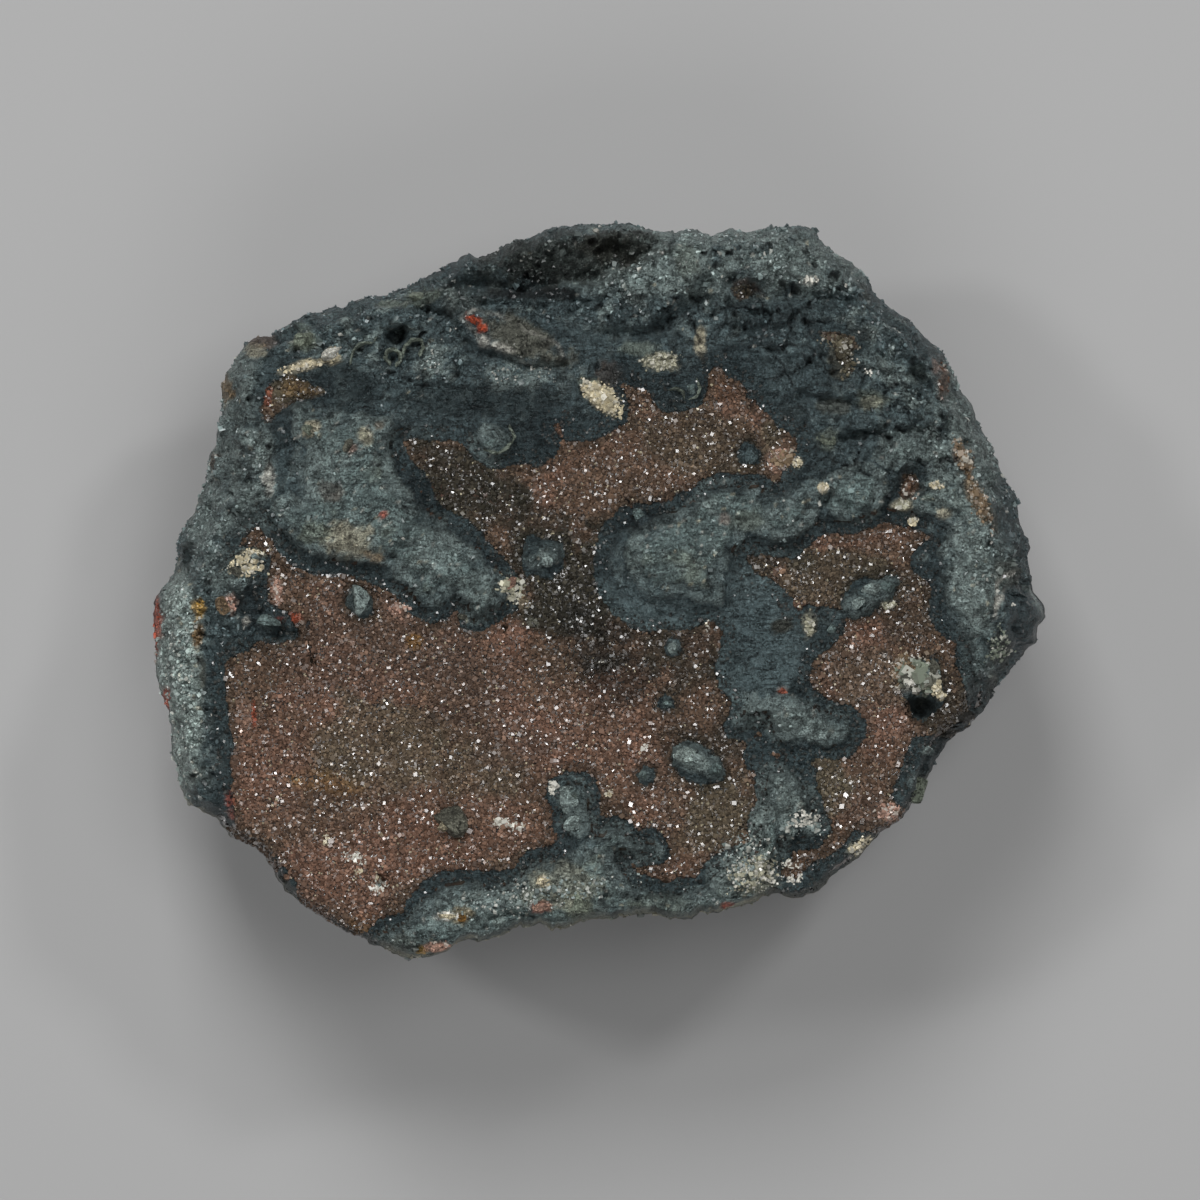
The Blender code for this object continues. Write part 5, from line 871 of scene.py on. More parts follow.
@dataclass(frozen=True)
class Relief:
    """Height of every place of the specimen, in millimetres above what it lies on."""

    face_level: float = 39.5
    bow_x: float = 2.4
    bow_y: float = 2.0
    bed_depth: float = 0.7
    druse_lift: float = 1.15
    druse_dive: float = 0.55
    base_share: float = 0.86
    ragged_rim: float = 0.42
    ring: float = 52.0
    wander: float = 0.48
    rim_pull: float = 1.6
    pit_size: float = 1.5
    plate_size: float = 3.4
    splinter_size: float = 1.2
    crack_size: float = 4.2
    crack_seed: int = 23
    scale: float = SPECIMEN_WIDTH / (max(c[0] for c in SILHOUETTE) - min(c[0] for c in SILHOUETTE))

    def rim_radius(self, angle: np.ndarray) -> np.ndarray:
        """Distance from the middle to the ragged edge of the specimen.

        Args:
            angle: Angles from +X.

        Returns:
            Millimetres.
        """
        corners = np.array(SILHOUETTE, float)
        angles = np.arctan2(corners[:, 1], corners[:, 0])
        order = angles.argsort()
        radius = np.interp(angle, angles[order], np.hypot(*corners.T)[order], period=2 * math.pi)
        return radius + self.ragged_rim * Noise.EDGE.at(around(self.ring, angle))

    @staticmethod
    def calm_radius(angle: np.ndarray) -> np.ndarray:
        """Distance from the middle to the calm ellipse at each angle."""
        across = np.hypot(CALM_HALF_HEIGHT * np.cos(angle), CALM_HALF_WIDTH * np.sin(angle))
        return CALM_HALF_WIDTH * CALM_HALF_HEIGHT / across

    def lay_out(self, square: Points) -> Points:
        """Map places of the square from -1 to 1 onto the face.

        Args:
            square: Places on the square.

        Returns:
            Places on the face, in millimetres.
        """
        share, angle = to_disc(square)
        calm = self.calm_radius(angle)
        return around(share * (calm + (self.rim_radius(angle) - calm) * share ** 3), angle)

    @staticmethod
    def druse_depth(points: Points) -> np.ndarray:
        """Signed distance to the border of the druse.

        Args:
            points: Places on the face, in millimetres.

        Returns:
            Millimetres, positive where the druse grows.
        """
        depth = Outline(DRUSE).depth(points, 12)
        for spot in BARE_SPOTS.values():
            depth = np.minimum(depth, -Outline(spot).depth(points))
        for pocket in POCKETS.values():
            depth = np.maximum(depth, Outline(pocket).depth(points))
        return depth

    @staticmethod
    def islands(points: Points, druse: np.ndarray) -> tuple[np.ndarray, np.ndarray]:
        """Rise of the islands and of the skins that sweep down from them.

        Args:
            points: Places on the face, in millimetres.
            druse: Signed distance of each place to the druse.

        Returns:
            Signed distance to the nearest island, and the rise of each place.
        """
        nearest = np.full(len(points), -9.0)
        rise = np.zeros(len(points))
        border = np.maximum(-druse, 0)
        for name, corners in ISLANDS.items():
            depth = Outline(corners).depth(points, 9)
            outside = np.maximum(-depth, 0)
            skirt = (border / (border + outside + TINY)) ** 0.8 * np.exp(-outside / 5)
            top = 0.32 * smooth_step(-0.12, 0.18, depth) + 0.13 * smooth_step(0.0, 3.0, depth)
            height = ISLAND_HEIGHTS[name] * (0.55 * skirt + top) * np.clip(border / 0.8, 0, 1)
            rise = np.maximum(rise, height)
            nearest = np.maximum(nearest, depth)
        return nearest, rise

    def survey(self, points: Points) -> Places:
        """Read the drawing at places on the face.

        Args:
            points: Places on the face, in millimetres.

        Returns:
            The places with what the drawing says about them.
        """
        away = np.column_stack([Noise.WANDER_X.at(points), Noise.WANDER_Y.at(points)])
        wandered = points + self.wander * away
        angle = np.arctan2(points[:, 1], points[:, 0])
        far = np.hypot(*points.T)
        rim_gap = self.rim_radius(angle) - far
        degrees, widths, drops = np.array(RIM, float).T
        width = np.interp(np.degrees(angle), degrees, widths, period=360)
        drop = np.interp(np.degrees(angle), degrees, drops, period=360)
        drop *= 1 + 0.2 * Noise.DROP.at(around(self.ring, angle))
        pull = self.rim_pull * smooth_step(2.4, 0.0, rim_gap) / np.maximum(far, 1)
        druse = self.druse_depth(wandered * (1 - pull)[:, None])
        island, rise = self.islands(wandered, druse)
        return Places(
            flat=points, angle=angle, rim_gap=rim_gap, druse=druse, island=island, rise=rise,
            slope=drop * np.clip(1 - rim_gap / width, 0, 1) ** 1.5,
            rugged=mound(wandered, RUGGED), cracked=mound(wandered, CRACKED), calm=mound(wandered, CALM))

    @staticmethod
    def hollow(points: Points) -> np.ndarray:
        """Depth of the hollow behind the top ledge: steep behind its lip, rising slowly to the back.

        Args:
            points: Places on the face, in millimetres.

        Returns:
            Millimetres.
        """
        lip = Outline(HOLLOW_LIP, closed=False).gap(points)
        back = Outline(HOLLOW_BACK, closed=False).gap(points)
        within = Outline(HOLLOW_LIP + HOLLOW_BACK[-2:0:-1]).holds(points)
        return np.where(within, HOLLOW_DEPTH * back / (back + lip + TINY) * np.clip(lip / 1.2, 0, 1), 0)

    @staticmethod
    def small_forms(points: Points) -> np.ndarray:
        """Seams, knobs, holes and the lens-shaped flake.

        Args:
            points: Places on the face, in millimetres.

        Returns:
            Height to add, in millimetres.
        """
        height = np.zeros(len(points))
        for width, depth, route in SEAMS:
            height -= depth * np.exp(-(Outline(route, closed=False).gap(points) / width) ** 2)
        for x, y, radius, rise in LUMPS:
            height += rise * np.sqrt(np.clip(1 - far_out(points, x, y, radius, radius) ** 2, 0, 1))
        for x, y, radius, depth in PITS:
            height -= depth * np.exp(-far_out(points, x, y, radius, radius) ** 4)
        return height + FLAKE_RISE * smooth_step(0, 0.3, Outline(FLAKE).depth(points))

    def fine_forms(self, places: Places) -> tuple[np.ndarray, np.ndarray]:
        """Chips, pits, cracks and grit of the bare ore.

        Args:
            places: Surveyed places.

        Returns:
            Height to add, in millimetres, and the painted shade in the hollows, from 0 to 1.
        """
        bare = smooth_step(0.1, 1.0, -places.druse) * (1 - 0.93 * places.facet())
        top = smooth_step(-0.1, 0.25, places.island)
        rough = np.clip(0.62 + 0.45 * places.rugged - 0.1 * top - 0.42 * places.calm, 0.16, 1.1)
        flat = places.flat
        bent = flat + 0.5 * np.column_stack([Noise.BEND_X.at(flat), Noise.BEND_Y.at(flat)])
        near, _, tag = Grain.chips(bent, self.pit_size, 19)
        pit = smooth_step(0.42, 0.18, near) * (tag < 0.14)
        form = 0.35 * Noise.LUMPY.at(flat) + 0.9 * (np.abs(Noise.RIDGED.at(flat)) - 0.22)
        form += 0.6 * Grain.plates(bent, self.plate_size, 17)
        form += 0.45 * Grain.plates(bent, self.splinter_size, 47) - 0.7 * pit
        gap = Grain.chips(bent, self.crack_size, self.crack_seed)[1]
        crack = smooth_step(0.09, 0.015, gap) * smooth_step(-0.35, 0.25, Noise.OPEN_CRACKS.at(flat))
        crack *= places.cracked * (1 - 0.5 * places.calm)
        plates = 0.9 * Grain.plates(bent, self.crack_size, self.crack_seed) * places.cracked
        plates = plates * (1 - 0.6 * places.calm) - 0.7 * crack
        dash = smooth_step(-0.42, -0.62, Noise.DASHES.at(flat * (0.42, 2.3)))
        dash *= smooth_step(-0.1, 0.4, Grain.smooth(flat / 3.2, 31)) * (1 - places.rugged)
        # Pits, cracks and dashes get painted shade in their hollows.
        dark = np.clip(pit * rough + crack + 0.7 * dash, 0, 1)
        return (rough * form + plates - 0.2 * dash) * bare, dark * bare

    def height(self, places: Places) -> tuple[np.ndarray, np.ndarray]:
        """Height of the ore at each place.

        Args:
            places: Surveyed places.

        Returns:
            Height above what the specimen lies on, in millimetres, and the painted shade in its hollows.
        """
        x, y = places.flat.T
        height = self.face_level - self.bow_x * (x / CALM_HALF_WIDTH) ** 2
        height -= self.bow_y * (y / CALM_HALF_HEIGHT) ** 2
        for sx, sy, reach_x, reach_y, rise in SWELLS:
            height += rise * np.exp(-((x - sx) / reach_x) ** 2 - ((y - sy) / reach_y) ** 2)
        flat = 1 - smooth_step(0.0, 6.0, places.slope)
        height += (places.rise + self.small_forms(places.flat) - self.hollow(places.flat)) * flat
        height += 0.5 * Noise.SWELL.at(places.flat) + 0.32 * Noise.WAVE.at(places.flat)
        height -= places.slope + self.bed_depth * smooth_step(-0.2, 0.8, places.druse)
        fine, dark = self.fine_forms(places)
        gentle = 1 - 0.85 * places.steep()
        return height + fine * gentle, dark * gentle

    @staticmethod
    def broken(spots: Points) -> np.ndarray:
        """How far the broken rock stands out at places in space, in millimetres."""
        plates = 1.0 * Grain.plates(spots, 5.5, 71) + 0.5 * Grain.plates(spots, 2.1, 79)
        return 0.9 * Noise.BROKEN.at(spots) + plates

    def stand(self, places: Places, height: np.ndarray) -> Points:
        """Where the surface of the ore stands, pushed sideways where it is rough or steep.

        Args:
            places: Surveyed places.
            height: Their heights, in millimetres.

        Returns:
            Places in space, in millimetres.
        """
        spots = np.column_stack([places.flat, height])
        inner = smooth_step(0.0, 1.5, places.rim_gap) * smooth_step(0.1, 1.2, -places.druse)
        push = np.column_stack([Noise.PUSH_X.at(spots), Noise.PUSH_Y.at(spots)])
        flat = places.flat + 0.22 * push * (inner * (0.4 + places.rugged))[:, None]
        steep = places.steep()
        falling = steep > 0
        out = np.zeros(len(spots))
        out[falling] = self.broken(spots[falling])
        out = np.minimum(out * steep * smooth_step(0.0, 1.6, places.rim_gap), 0.6 * places.rim_gap)
        flat += (out / np.maximum(np.hypot(*places.flat.T), 1))[:, None] * places.flat
        return np.column_stack([flat, height])

    def lift(self, places: Places) -> np.ndarray:
        """How far the druse's own surface lies above the ore; it dives under the ore at its border."""
        return self.druse_lift * smooth_step(-0.4, 1.0, places.druse) - self.druse_dive

    def surface(self, places: Places) -> np.ndarray:
        """Height of the druse or of the ore, whichever lies above."""
        return self.height(places)[0] + np.maximum(self.lift(places), 0)

    def side_radius(self, angle: np.ndarray, height: np.ndarray, down: np.ndarray) -> np.ndarray:
        """Distance from the middle to the broken side.

        Args:
            angle: Angles from +X.
            height: Heights above what the specimen lies on.
            down: 0 at the rim of the face, 1 at the base.

        Returns:
            Millimetres.
        """
        rim = self.rim_radius(angle)
        reach = rim + (np.minimum(self.calm_radius(angle), rim) * self.base_share - rim) * down
        for degrees, lean, cut in FRACTURES:
            facing = math.radians(degrees)
            turn = np.cos(angle - facing)
            foot = float(self.rim_radius(np.array([facing]))[0]) - cut
            plane = (foot + height * math.tan(math.radians(lean))) / np.maximum(turn, 0.2)
            reach = np.where(turn > 0.2, np.minimum(reach, plane), reach)
        spots = np.column_stack([around(reach, angle), height])
        return reach + self.broken(spots) * np.clip(9 * down, 0, 1)


def write_mesh(name: str, bm: bmesh.types.BMesh) -> bpy.types.Mesh:
    """Turn a bmesh into a mesh and free it.

    Args:
        name: Name of the mesh.
        bm: The bmesh.

    Returns:
        The mesh.
    """
    mesh = bpy.data.meshes.new(name)
    bm.to_mesh(mesh)
    bm.free()
    return mesh


def join(bm: bmesh.types.BMesh, part: bmesh.types.BMesh) -> None:
    """Add a bmesh to another one, and free it.

    Args:
        bm: The bmesh that grows.
        part: What it takes in.
    """
    mesh = write_mesh("part", part)
    bm.from_mesh(mesh)
    bpy.data.meshes.remove(mesh)


def corners_of(verts: Iterable) -> Points:
    """Places of the corners of a mesh or a bmesh."""
    return np.array([vert.co for vert in verts])


def place_verts(bm: bmesh.types.BMesh, places: Points, scale: float) -> None:
    """Move the corners of a bmesh to places in millimetres."""
    for vert, place in zip(bm.verts, places):
        vert.co = Vector(place) * scale


def double(bm: bmesh.types.BMesh) -> list[bmesh.types.BMVert]:
    """Double an open sheet, with a wall around its border, and tell the corners of the second sheet."""
    grown = bmesh.ops.extrude_face_region(bm, geom=bm.faces[:], use_keep_orig=True)["geom"]
    return [item for item in grown if isinstance(item, bmesh.types.BMVert)]


def paint(mesh: bpy.types.Mesh, name: str, values: np.ndarray | float) -> None:
    """Store a number or a colour on every corner of a mesh.

    Args:
        mesh: The mesh.
        name: Name of the attribute.
        values: One number for all corners or for each, or red, green and blue for each.
    """
    if np.ndim(values) < 2:
        layer = mesh.attributes.new(name, "FLOAT", "POINT")
        layer.data.foreach_set("value", np.full(len(mesh.vertices), values, np.float32))
        return
    layer = mesh.attributes.new(name, "FLOAT_COLOR", "POINT")
    rgba = np.column_stack([np.clip(values, 0, 1), np.ones(len(values))])
    layer.data.foreach_set("color", rgba.astype(np.float32).ravel())


def paint_ore(mesh: bpy.types.Mesh, tint: np.ndarray, grit: np.ndarray | float,
              gloss: np.ndarray | float) -> None:
    """Store what the ore's finish reads: linear colours, grit and gloss."""
    for name, values in (("tint", tint), ("grit", grit), ("gloss", gloss)):
        paint(mesh, name, values)


def show(mesh: bpy.types.Mesh, material: bpy.types.Material, nodes: tuple[str, ...] = (),
         smooth: bool = False) -> None:
    """Put a finished mesh in the scene as a piece of the specimen.

    Args:
        mesh: Its mesh, in place, with the name of the piece.
        material: Its finish.
        nodes: CAD nodes that it stands for.
        smooth: Whether its faces are shaded smooth.
    """
    mesh.materials.append(material)
    mesh.polygons.foreach_set("use_smooth", np.full(len(mesh.polygons), smooth))
    piece = bpy.data.objects.new(mesh.name, mesh)
    bpy.context.scene.collection.objects.link(piece)
    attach(piece, "root")
    if nodes:
        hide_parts(*nodes)
    LOG.info("%s: %d faces", mesh.name, len(mesh.polygons))


class Value:
    """A socket that takes part in arithmetic: each operation adds a Math node."""

    def __init__(self, tree: bpy.types.NodeTree, socket: bpy.types.NodeSocket) -> None:
        """Wrap a socket of a node tree."""
        self.tree = tree
        self.socket = socket

    def math(self, operation: str, *others: "Value | float", swapped: bool = False) -> "Value":
        """Add a Math node.

        Args:
            operation: Name of the operation.
            others: The other operands.
            swapped: Whether this socket comes second.

        Returns:
            The result.
        """
        node = self.tree.nodes.new("ShaderNodeMath")
        node.operation = operation
        operands = [self, *others]
        if swapped:
            operands.reverse()
        for socket, operand in zip(node.inputs, operands):
            if isinstance(operand, Value):
                self.tree.links.new(operand.socket, socket)
            else:
                socket.default_value = operand
        return Value(self.tree, node.outputs[0])

    def __add__(self, other: "Value | float") -> "Value":
        """Sum."""
        return self.math("ADD", other)

    __radd__ = __add__

    def __mul__(self, other: "Value | float") -> "Value":
        """Product."""
        return self.math("MULTIPLY", other)

    __rmul__ = __mul__

    def __sub__(self, other: "Value | float") -> "Value":
        """Difference."""
        return self.math("SUBTRACT", other)

    def __rsub__(self, other: float) -> "Value":
        """Reflected difference."""
        return self.math("SUBTRACT", other, swapped=True)

    def step(self, low: float, high: float) -> "Value":
        """A soft step between two values.

        Args:
            low: Where the step starts; it may be above high for a falling step.
            high: Where the step ends.

        Returns:
            The step, from 0 to 1.
        """
        node = self.tree.nodes.new("ShaderNodeMapRange")
        node.interpolation_type = "SMOOTHSTEP"
        self.tree.links.new(self.socket, node.inputs["Value"])
        node.inputs["From Min"].default_value = low
        node.inputs["From Max"].default_value = high
        return Value(self.tree, node.outputs[0])


class Finish:
    """A Principled material under construction."""

    def __init__(self, name: str, roughness: float, specular: float = 0.5) -> None:
        """Start a material.

        Args:
            name: Name of the material.
            roughness: Roughness where nothing varies it.
            specular: Strength of its reflections at rest.
        """
        self.material = bpy.data.materials.new(name)
        self.material.use_nodes = True
        self.tree = self.material.node_tree
        self.shader = self.tree.nodes["Principled BSDF"]
        self.shader.inputs["Roughness"].default_value = roughness
        self.shader.inputs["Specular IOR Level"].default_value = specular
        self.place = self.node("ShaderNodeTexCoord", {}, {}, "Object")

    def node(self, kind: str, settings: dict[str, object], sockets: dict[str | int, object],
             output: str | int = 0) -> Value:
        """Add a node.

        Args:
            kind: Its type.
            settings: Its properties, which are set first.
            sockets: Values or links of its inputs.
            output: The output to read.

        Returns:
            That output.
        """
        node = self.tree.nodes.new(kind)
        for name, setting in settings.items():
            setattr(node, name, setting)
        for name, value in sockets.items():
            if isinstance(value, Value):
                self.tree.links.new(value.socket, node.inputs[name])
            else:
                node.inputs[name].default_value = value
        return Value(self.tree, node.outputs[output])

    def vector(self, operation: str, sockets: dict[str | int, object]) -> Value:
        """Add a Vector Math node."""
        return self.node("ShaderNodeVectorMath", {"operation": operation}, sockets, "Vector")

    def stored(self, name: str, output: str = "Fac") -> Value:
        """A number or colour stored on the mesh."""
        return self.node("ShaderNodeAttribute", {"attribute_name": name}, {}, output)

    def grain(self, size: float, detail: float = 3.0, roughness: float = 0.6,
              stretch: tuple[float, float, float] = (1.0, 1.0, 1.0)) -> Value:
        """Noise from 0 to 1.

        Args:
            size: Size of its bumps, in millimetres.
            detail: How many finer layers it has.
            roughness: Strength of each finer layer against the one before.
            stretch: Squeezes the bumps along each axis.

        Returns:
            The noise.
        """
        spot = self.vector("MULTIPLY", {0: self.place, 1: stretch})
        sockets = {"Vector": spot, "Scale": 1000 / size, "Detail": detail, "Roughness": roughness}
        return self.node("ShaderNodeTexNoise", {}, sockets, "Fac")

    def shade(self, colour: Value, factor: Value) -> Value:
        """Brighten or darken a colour by a factor."""
        return self.vector("SCALE", {0: colour, "Scale": factor})

    def feed(self, socket: str, value: Value) -> None:
        """Lead a value into a socket of the shader."""
        self.tree.links.new(value.socket, self.shader.inputs[socket])

    def facets(self, size: float, tilt: Value) -> Value:
        """Normals that lean at random from one small cell to the next.

        Args:
            size: Size of the cells, in millimetres.
            tilt: How far they lean.

        Returns:
            The normals.
        """
        tag = self.node("ShaderNodeTexVoronoi", {}, {"Vector": self.place, "Scale": 1000 / size}, "Color")
        lean = self.shade(self.vector("SUBTRACT", {0: tag, 1: (0.5, 0.5, 0.5)}), tilt)
        upright = self.node("ShaderNodeNewGeometry", {}, {}, "Normal")
        return self.vector("NORMALIZE", {0: self.vector("ADD", {0: upright, 1: lean})})

    def bump(self, height: Value, depth: float, normals: Value) -> None:
        """Bump the surface.

        Args:
            height: Height from 0 to 1.
            depth: Millimetres between 0 and 1.
            normals: Normals before the bumps.
        """
        sockets = {"Height": height, "Strength": 1.0, "Distance": depth / 1000, "Normal": normals}
        self.feed("Normal", self.node("ShaderNodeBump", {}, sockets, "Normal"))


@dataclass(frozen=True)
class OreFinish:
    """Dark blue-grey manganese ore: calm skins, gritty islands and rugged fractures. Sizes in millimetres."""

    grit_size: float = 0.3
    grit_depth: float = 0.32
    cell_size: float = 0.27
    mottle_size: float = 1.3
    lace_size: float = 0.9
    crack_size: float = 2.4
    gain: float = 1.26

    def make(self) -> bpy.types.Material:
        """Build the material.

        Returns:
            The material.
        """
        finish = Finish("manganese_ore_dressed", 0.55, 0.35)
        grit = finish.stored("grit")
        gloss = finish.stored("gloss")
        fine = finish.grain(self.grit_size, 4, 0.7).step(0.3, 0.7)
        mottle = finish.grain(self.mottle_size, 5, 0.7).step(0.3, 0.7)
        lace = finish.grain(self.lace_size, 3, 0.6)
        line = (lace - 0.5).math("ABSOLUTE").step(0.035, 0.005)
        holes = lace.step(0.31, 0.38)
        crack = (finish.grain(self.crack_size, 6, 0.68) - 0.5).math("ABSOLUTE").step(0.016, 0.003)
        dashes = finish.grain(self.lace_size, 2, 0.5, (0.4, 2.2, 1.0)).step(0.45, 0.39)
        dashes = dashes * mottle.step(0.3, 0.6)
        depth = 0.6 + 0.5 * grit
        # Darker where the bump lies low: painted shade in the pits, cracks and dashes and in the low spots of
        # the grain and mottle, which also vary the tone at random.
        tone = 1.13 + depth * (1.15 * (fine - 0.5) + 0.8 * (mottle - 0.5) + 0.45 * line)
        tone = tone * (1 - depth * 0.55 * (1 - holes)) * (1 - 0.5 * dashes) * (1 - 0.5 * crack)
        finish.feed("Base Color", finish.shade(finish.stored("tint", "Color"), self.gain * tone))
        finish.feed("Roughness", 0.6 - 0.25 * gloss - 0.1 * grit)
        normals = finish.facets(self.cell_size, 0.25 + 0.6 * grit)
        relief = (fine + 0.6 * mottle + holes) * (0.3 + 0.7 * grit) - 0.5 * dashes - 0.8 * crack
        finish.bump(relief, self.grit_depth, normals)
        return finish.material


@dataclass(frozen=True)
class CrystalFinish:
    """Glassy crystals, each with a colour of its own."""

    name: str
    roughness: float
    mottle: float = 0.3

    def make(self) -> bpy.types.Material:
        """Build the material.

        Returns:
            The material.
        """
        finish = Finish(self.name, self.roughness, 0.75)
        tone = (1 - self.mottle / 2) + self.mottle * finish.grain(0.3, 2)
        finish.feed("Base Color", finish.shade(finish.stored("tint", "Color"), tone))
        return finish.material


@dataclass(frozen=True)
class OrePaint:
    """Where the ore has which colour."""

    band: Patches = ((-56.8, -13, 3.6, 15.5), (-57, -3, 2.2, 5))
    pale: Patches = ((-50, 15, 6, 16), (-50, 28, 4, 6), (15, 44, 22, 5), (50, 4, 4, 10), (49, 20, 5, 12))

    def ground(self, spots: Points, rough: np.ndarray | float) -> np.ndarray:
        """Colour of plain ore.

        Args:
            spots: Places, in millimetres.
            rough: Roughness of each place, from 0 to 1.

        Returns:
            Linear colours.
        """
        slow, fast = Noise.GROUND_SLOW.at(spots), Noise.GROUND_FAST.at(spots)
        tint = Tone.ORE.over(Tone.SKIN.linear(), np.clip(0.42 + 0.5 * rough + 0.5 * slow, 0, 1))
        tint = Tone.PALE_ORE.over(tint, smooth_step(0.15, 0.9, fast + 0.3 * slow) * (0.2 + 0.55 * rough))
        return Tone.TAUPE.over(tint, 0.35 * smooth_step(0.35, 0.9, Noise.GROUND_BROWN.at(spots)) * rough)

    @staticmethod
    def specks(tint: np.ndarray, spots: Points, amount: np.ndarray | float) -> np.ndarray:
        """Scatter pale and dark grains over the ore.

        Args:
            tint: Linear colours.
            spots: Places, in millimetres.
            amount: How many grains there are, from 0 to 1.

        Returns:
            Linear colours.
        """
        near, _, tag = Grain.chips(spots, 0.6, 113)
        grain = smooth_step(0.55, 0.3, near)
        tint = Tone.CHALK.over(tint, 0.55 * grain * (tag > 1 - 0.11 * amount))
        tint = Tone.CREAM.over(tint, 0.5 * grain * (tag < 0.07 * amount))
        return Tone.SOOT_AND_SHADE.over(tint, 0.7 * grain * ((tag > 0.4) & (tag < 0.4 + 0.1 * amount)))

    def paint_forms(self, tint: np.ndarray, places: Places, ragged: np.ndarray,
                    top: np.ndarray) -> np.ndarray:
        """Colour the islands, the turquoise band at the left and the pale outer parts.

        Args:
            tint: Linear colours of plain ore.
            places: Surveyed places.
            ragged: Noise that breaks up the edges.
            top: 1 on the islands, 0 elsewhere.

        Returns:
            Linear colours.
        """
        island = Tone.SAGE.over(
            Tone.ISLAND.linear(), 0.6 * smooth_step(0.1, 0.7, Noise.ISLAND.at(places.spots())))
        island = Tone.PALE_ORE.over(island, 0.8 * smooth_step(0.1, 0.7, ragged))
        island = Tone.SKIN.over(island, 0.35 * smooth_step(0.1, 0.7, -ragged))
        tint = mix(tint, island, 0.85 * top)
        edge = np.exp(-((places.island - 0.12) / 0.2) ** 2) * smooth_step(-0.5, 0.3, ragged)
        tint = Tone.PALE_ORE.over(tint, 0.65 * edge)
        tint = Tone.TURQUOISE.over(tint, np.clip(mound(places.flat, self.band) * (0.95 + 0.8 * ragged), 0, 1))
        return Tone.PALE_ORE.over(
            tint, 0.85 * mound(places.flat, self.pale) * smooth_step(-0.8, 0.3, ragged))

    @staticmethod
    def paint_stains_and_shade(tint: np.ndarray, places: Places, ragged: np.ndarray, top: np.ndarray) -> np.ndarray:
        """Colour the light skins, the stains with the patches of painted shade among them, the rim of the
        flake and the cream edge at the bottom.

        Args:
            tint: Linear colours.
            places: Surveyed places.
            ragged: Noise that breaks up the edges.
            top: 1 on the islands, 0 elsewhere.

        Returns:
            Linear colours.
        """
        tint = Tone.ORE.over(tint, 0.62 * mound(places.flat, LIT_SKINS) * (1 - top))
        for stain in ORE_STAINS_AND_SHADE:
            tint = stain.tone.over(tint, stain.cover(places.flat, ragged))
        flake = np.exp(-((Outline(FLAKE).depth(places.flat) - 0.1) / 0.2) ** 2)
        tint = Tone.CHALK.over(tint, 0.45 * flake * smooth_step(-0.4, 0.3, ragged))
        edge = np.exp(-(places.rim_gap / 0.7) ** 2) * smooth_step(-22, -30, places.flat[:, 1])
        return Tone.CREAM.over(tint, 0.7 * edge * smooth_step(-0.4, 0.4, ragged))

    def face(self, places: Places, dark: np.ndarray) -> tuple[np.ndarray, np.ndarray, np.ndarray]:
        """Colours of the face.

        Args:
            places: Surveyed places.
            dark: Painted shade in the hollows, from 0 to 1.

        Returns:
            Linear colours, the grit of each place and its gloss.
        """
        spots = places.spots()
        steep, facet = places.steep(), places.facet(0.2)
        rough = np.clip(0.35 + places.rugged - 0.4 * places.calm, 0, 1)
        top = smooth_step(-0.12, 0.22, places.island)
        ragged = Noise.RAGGED.at(spots) * (1 - 0.4 * steep)
        tint = self.paint_forms(self.ground(spots, rough), places, ragged, top)
        amount = np.clip(0.2 * places.rugged + 0.6 * top + mound(places.flat, self.band), 0, 1)
        tint = self.specks(tint, spots, amount * (1 - 0.7 * steep))
        tint = self.paint_stains_and_shade(tint, places, ragged, top)
        grains = (Grain.chips(spots, 0.5, 131)[2] - 0.5) * (0.4 + rough + 0.4 * top) * (1 - steep)
        # Painted shade in the hollows, random tone of the grains, and the darkest skins.
        shade = (1 - 0.75 * dark) * (1 + 0.5 * grains) * (1 - 0.5 * mound(places.flat, DARK_SKINS))
        skirt = smooth_step(2.4, 0.6, -places.druse) * (1 - top) * (1 - mound(places.flat, LIT_SKINS))
        tint = mix(tint * shade[:, None], Tone.SKIN.linear() * 0.9, 0.6 * skirt)
        tint = mix(tint, Tone.UMBER.linear() * 0.7, smooth_step(0.0, 0.7, places.druse))
        grit = 0.55 + 0.45 * places.rugged + 0.25 * top - 0.15 * places.calm + 0.5 * steep
        gloss = np.clip(0.35 + 0.5 * places.calm + facet - 0.3 * top, 0, 1.3)
        return tint, np.clip(grit, 0.4, 1.1) * (1 - 0.9 * facet), gloss

    def sides(self, corners: Points) -> np.ndarray:
        """Colours of the broken sides.

        Args:
            corners: Places, in millimetres.

        Returns:
            Linear colours.
        """
        tint = self.specks(self.ground(corners, 0.75), corners, 0.25)
        left = smooth_step(-44, -56, corners[:, 0]) * smooth_step(14, 24, corners[:, 2])
        left = 0.42 * left * smooth_step(-0.1, 0.4, Noise.RUST_LEFT.at(corners))
        return Tone.RUST.over(tint, np.maximum(0.15 * smooth_step(0.45, 0.85, Noise.RUST.at(corners)), left))


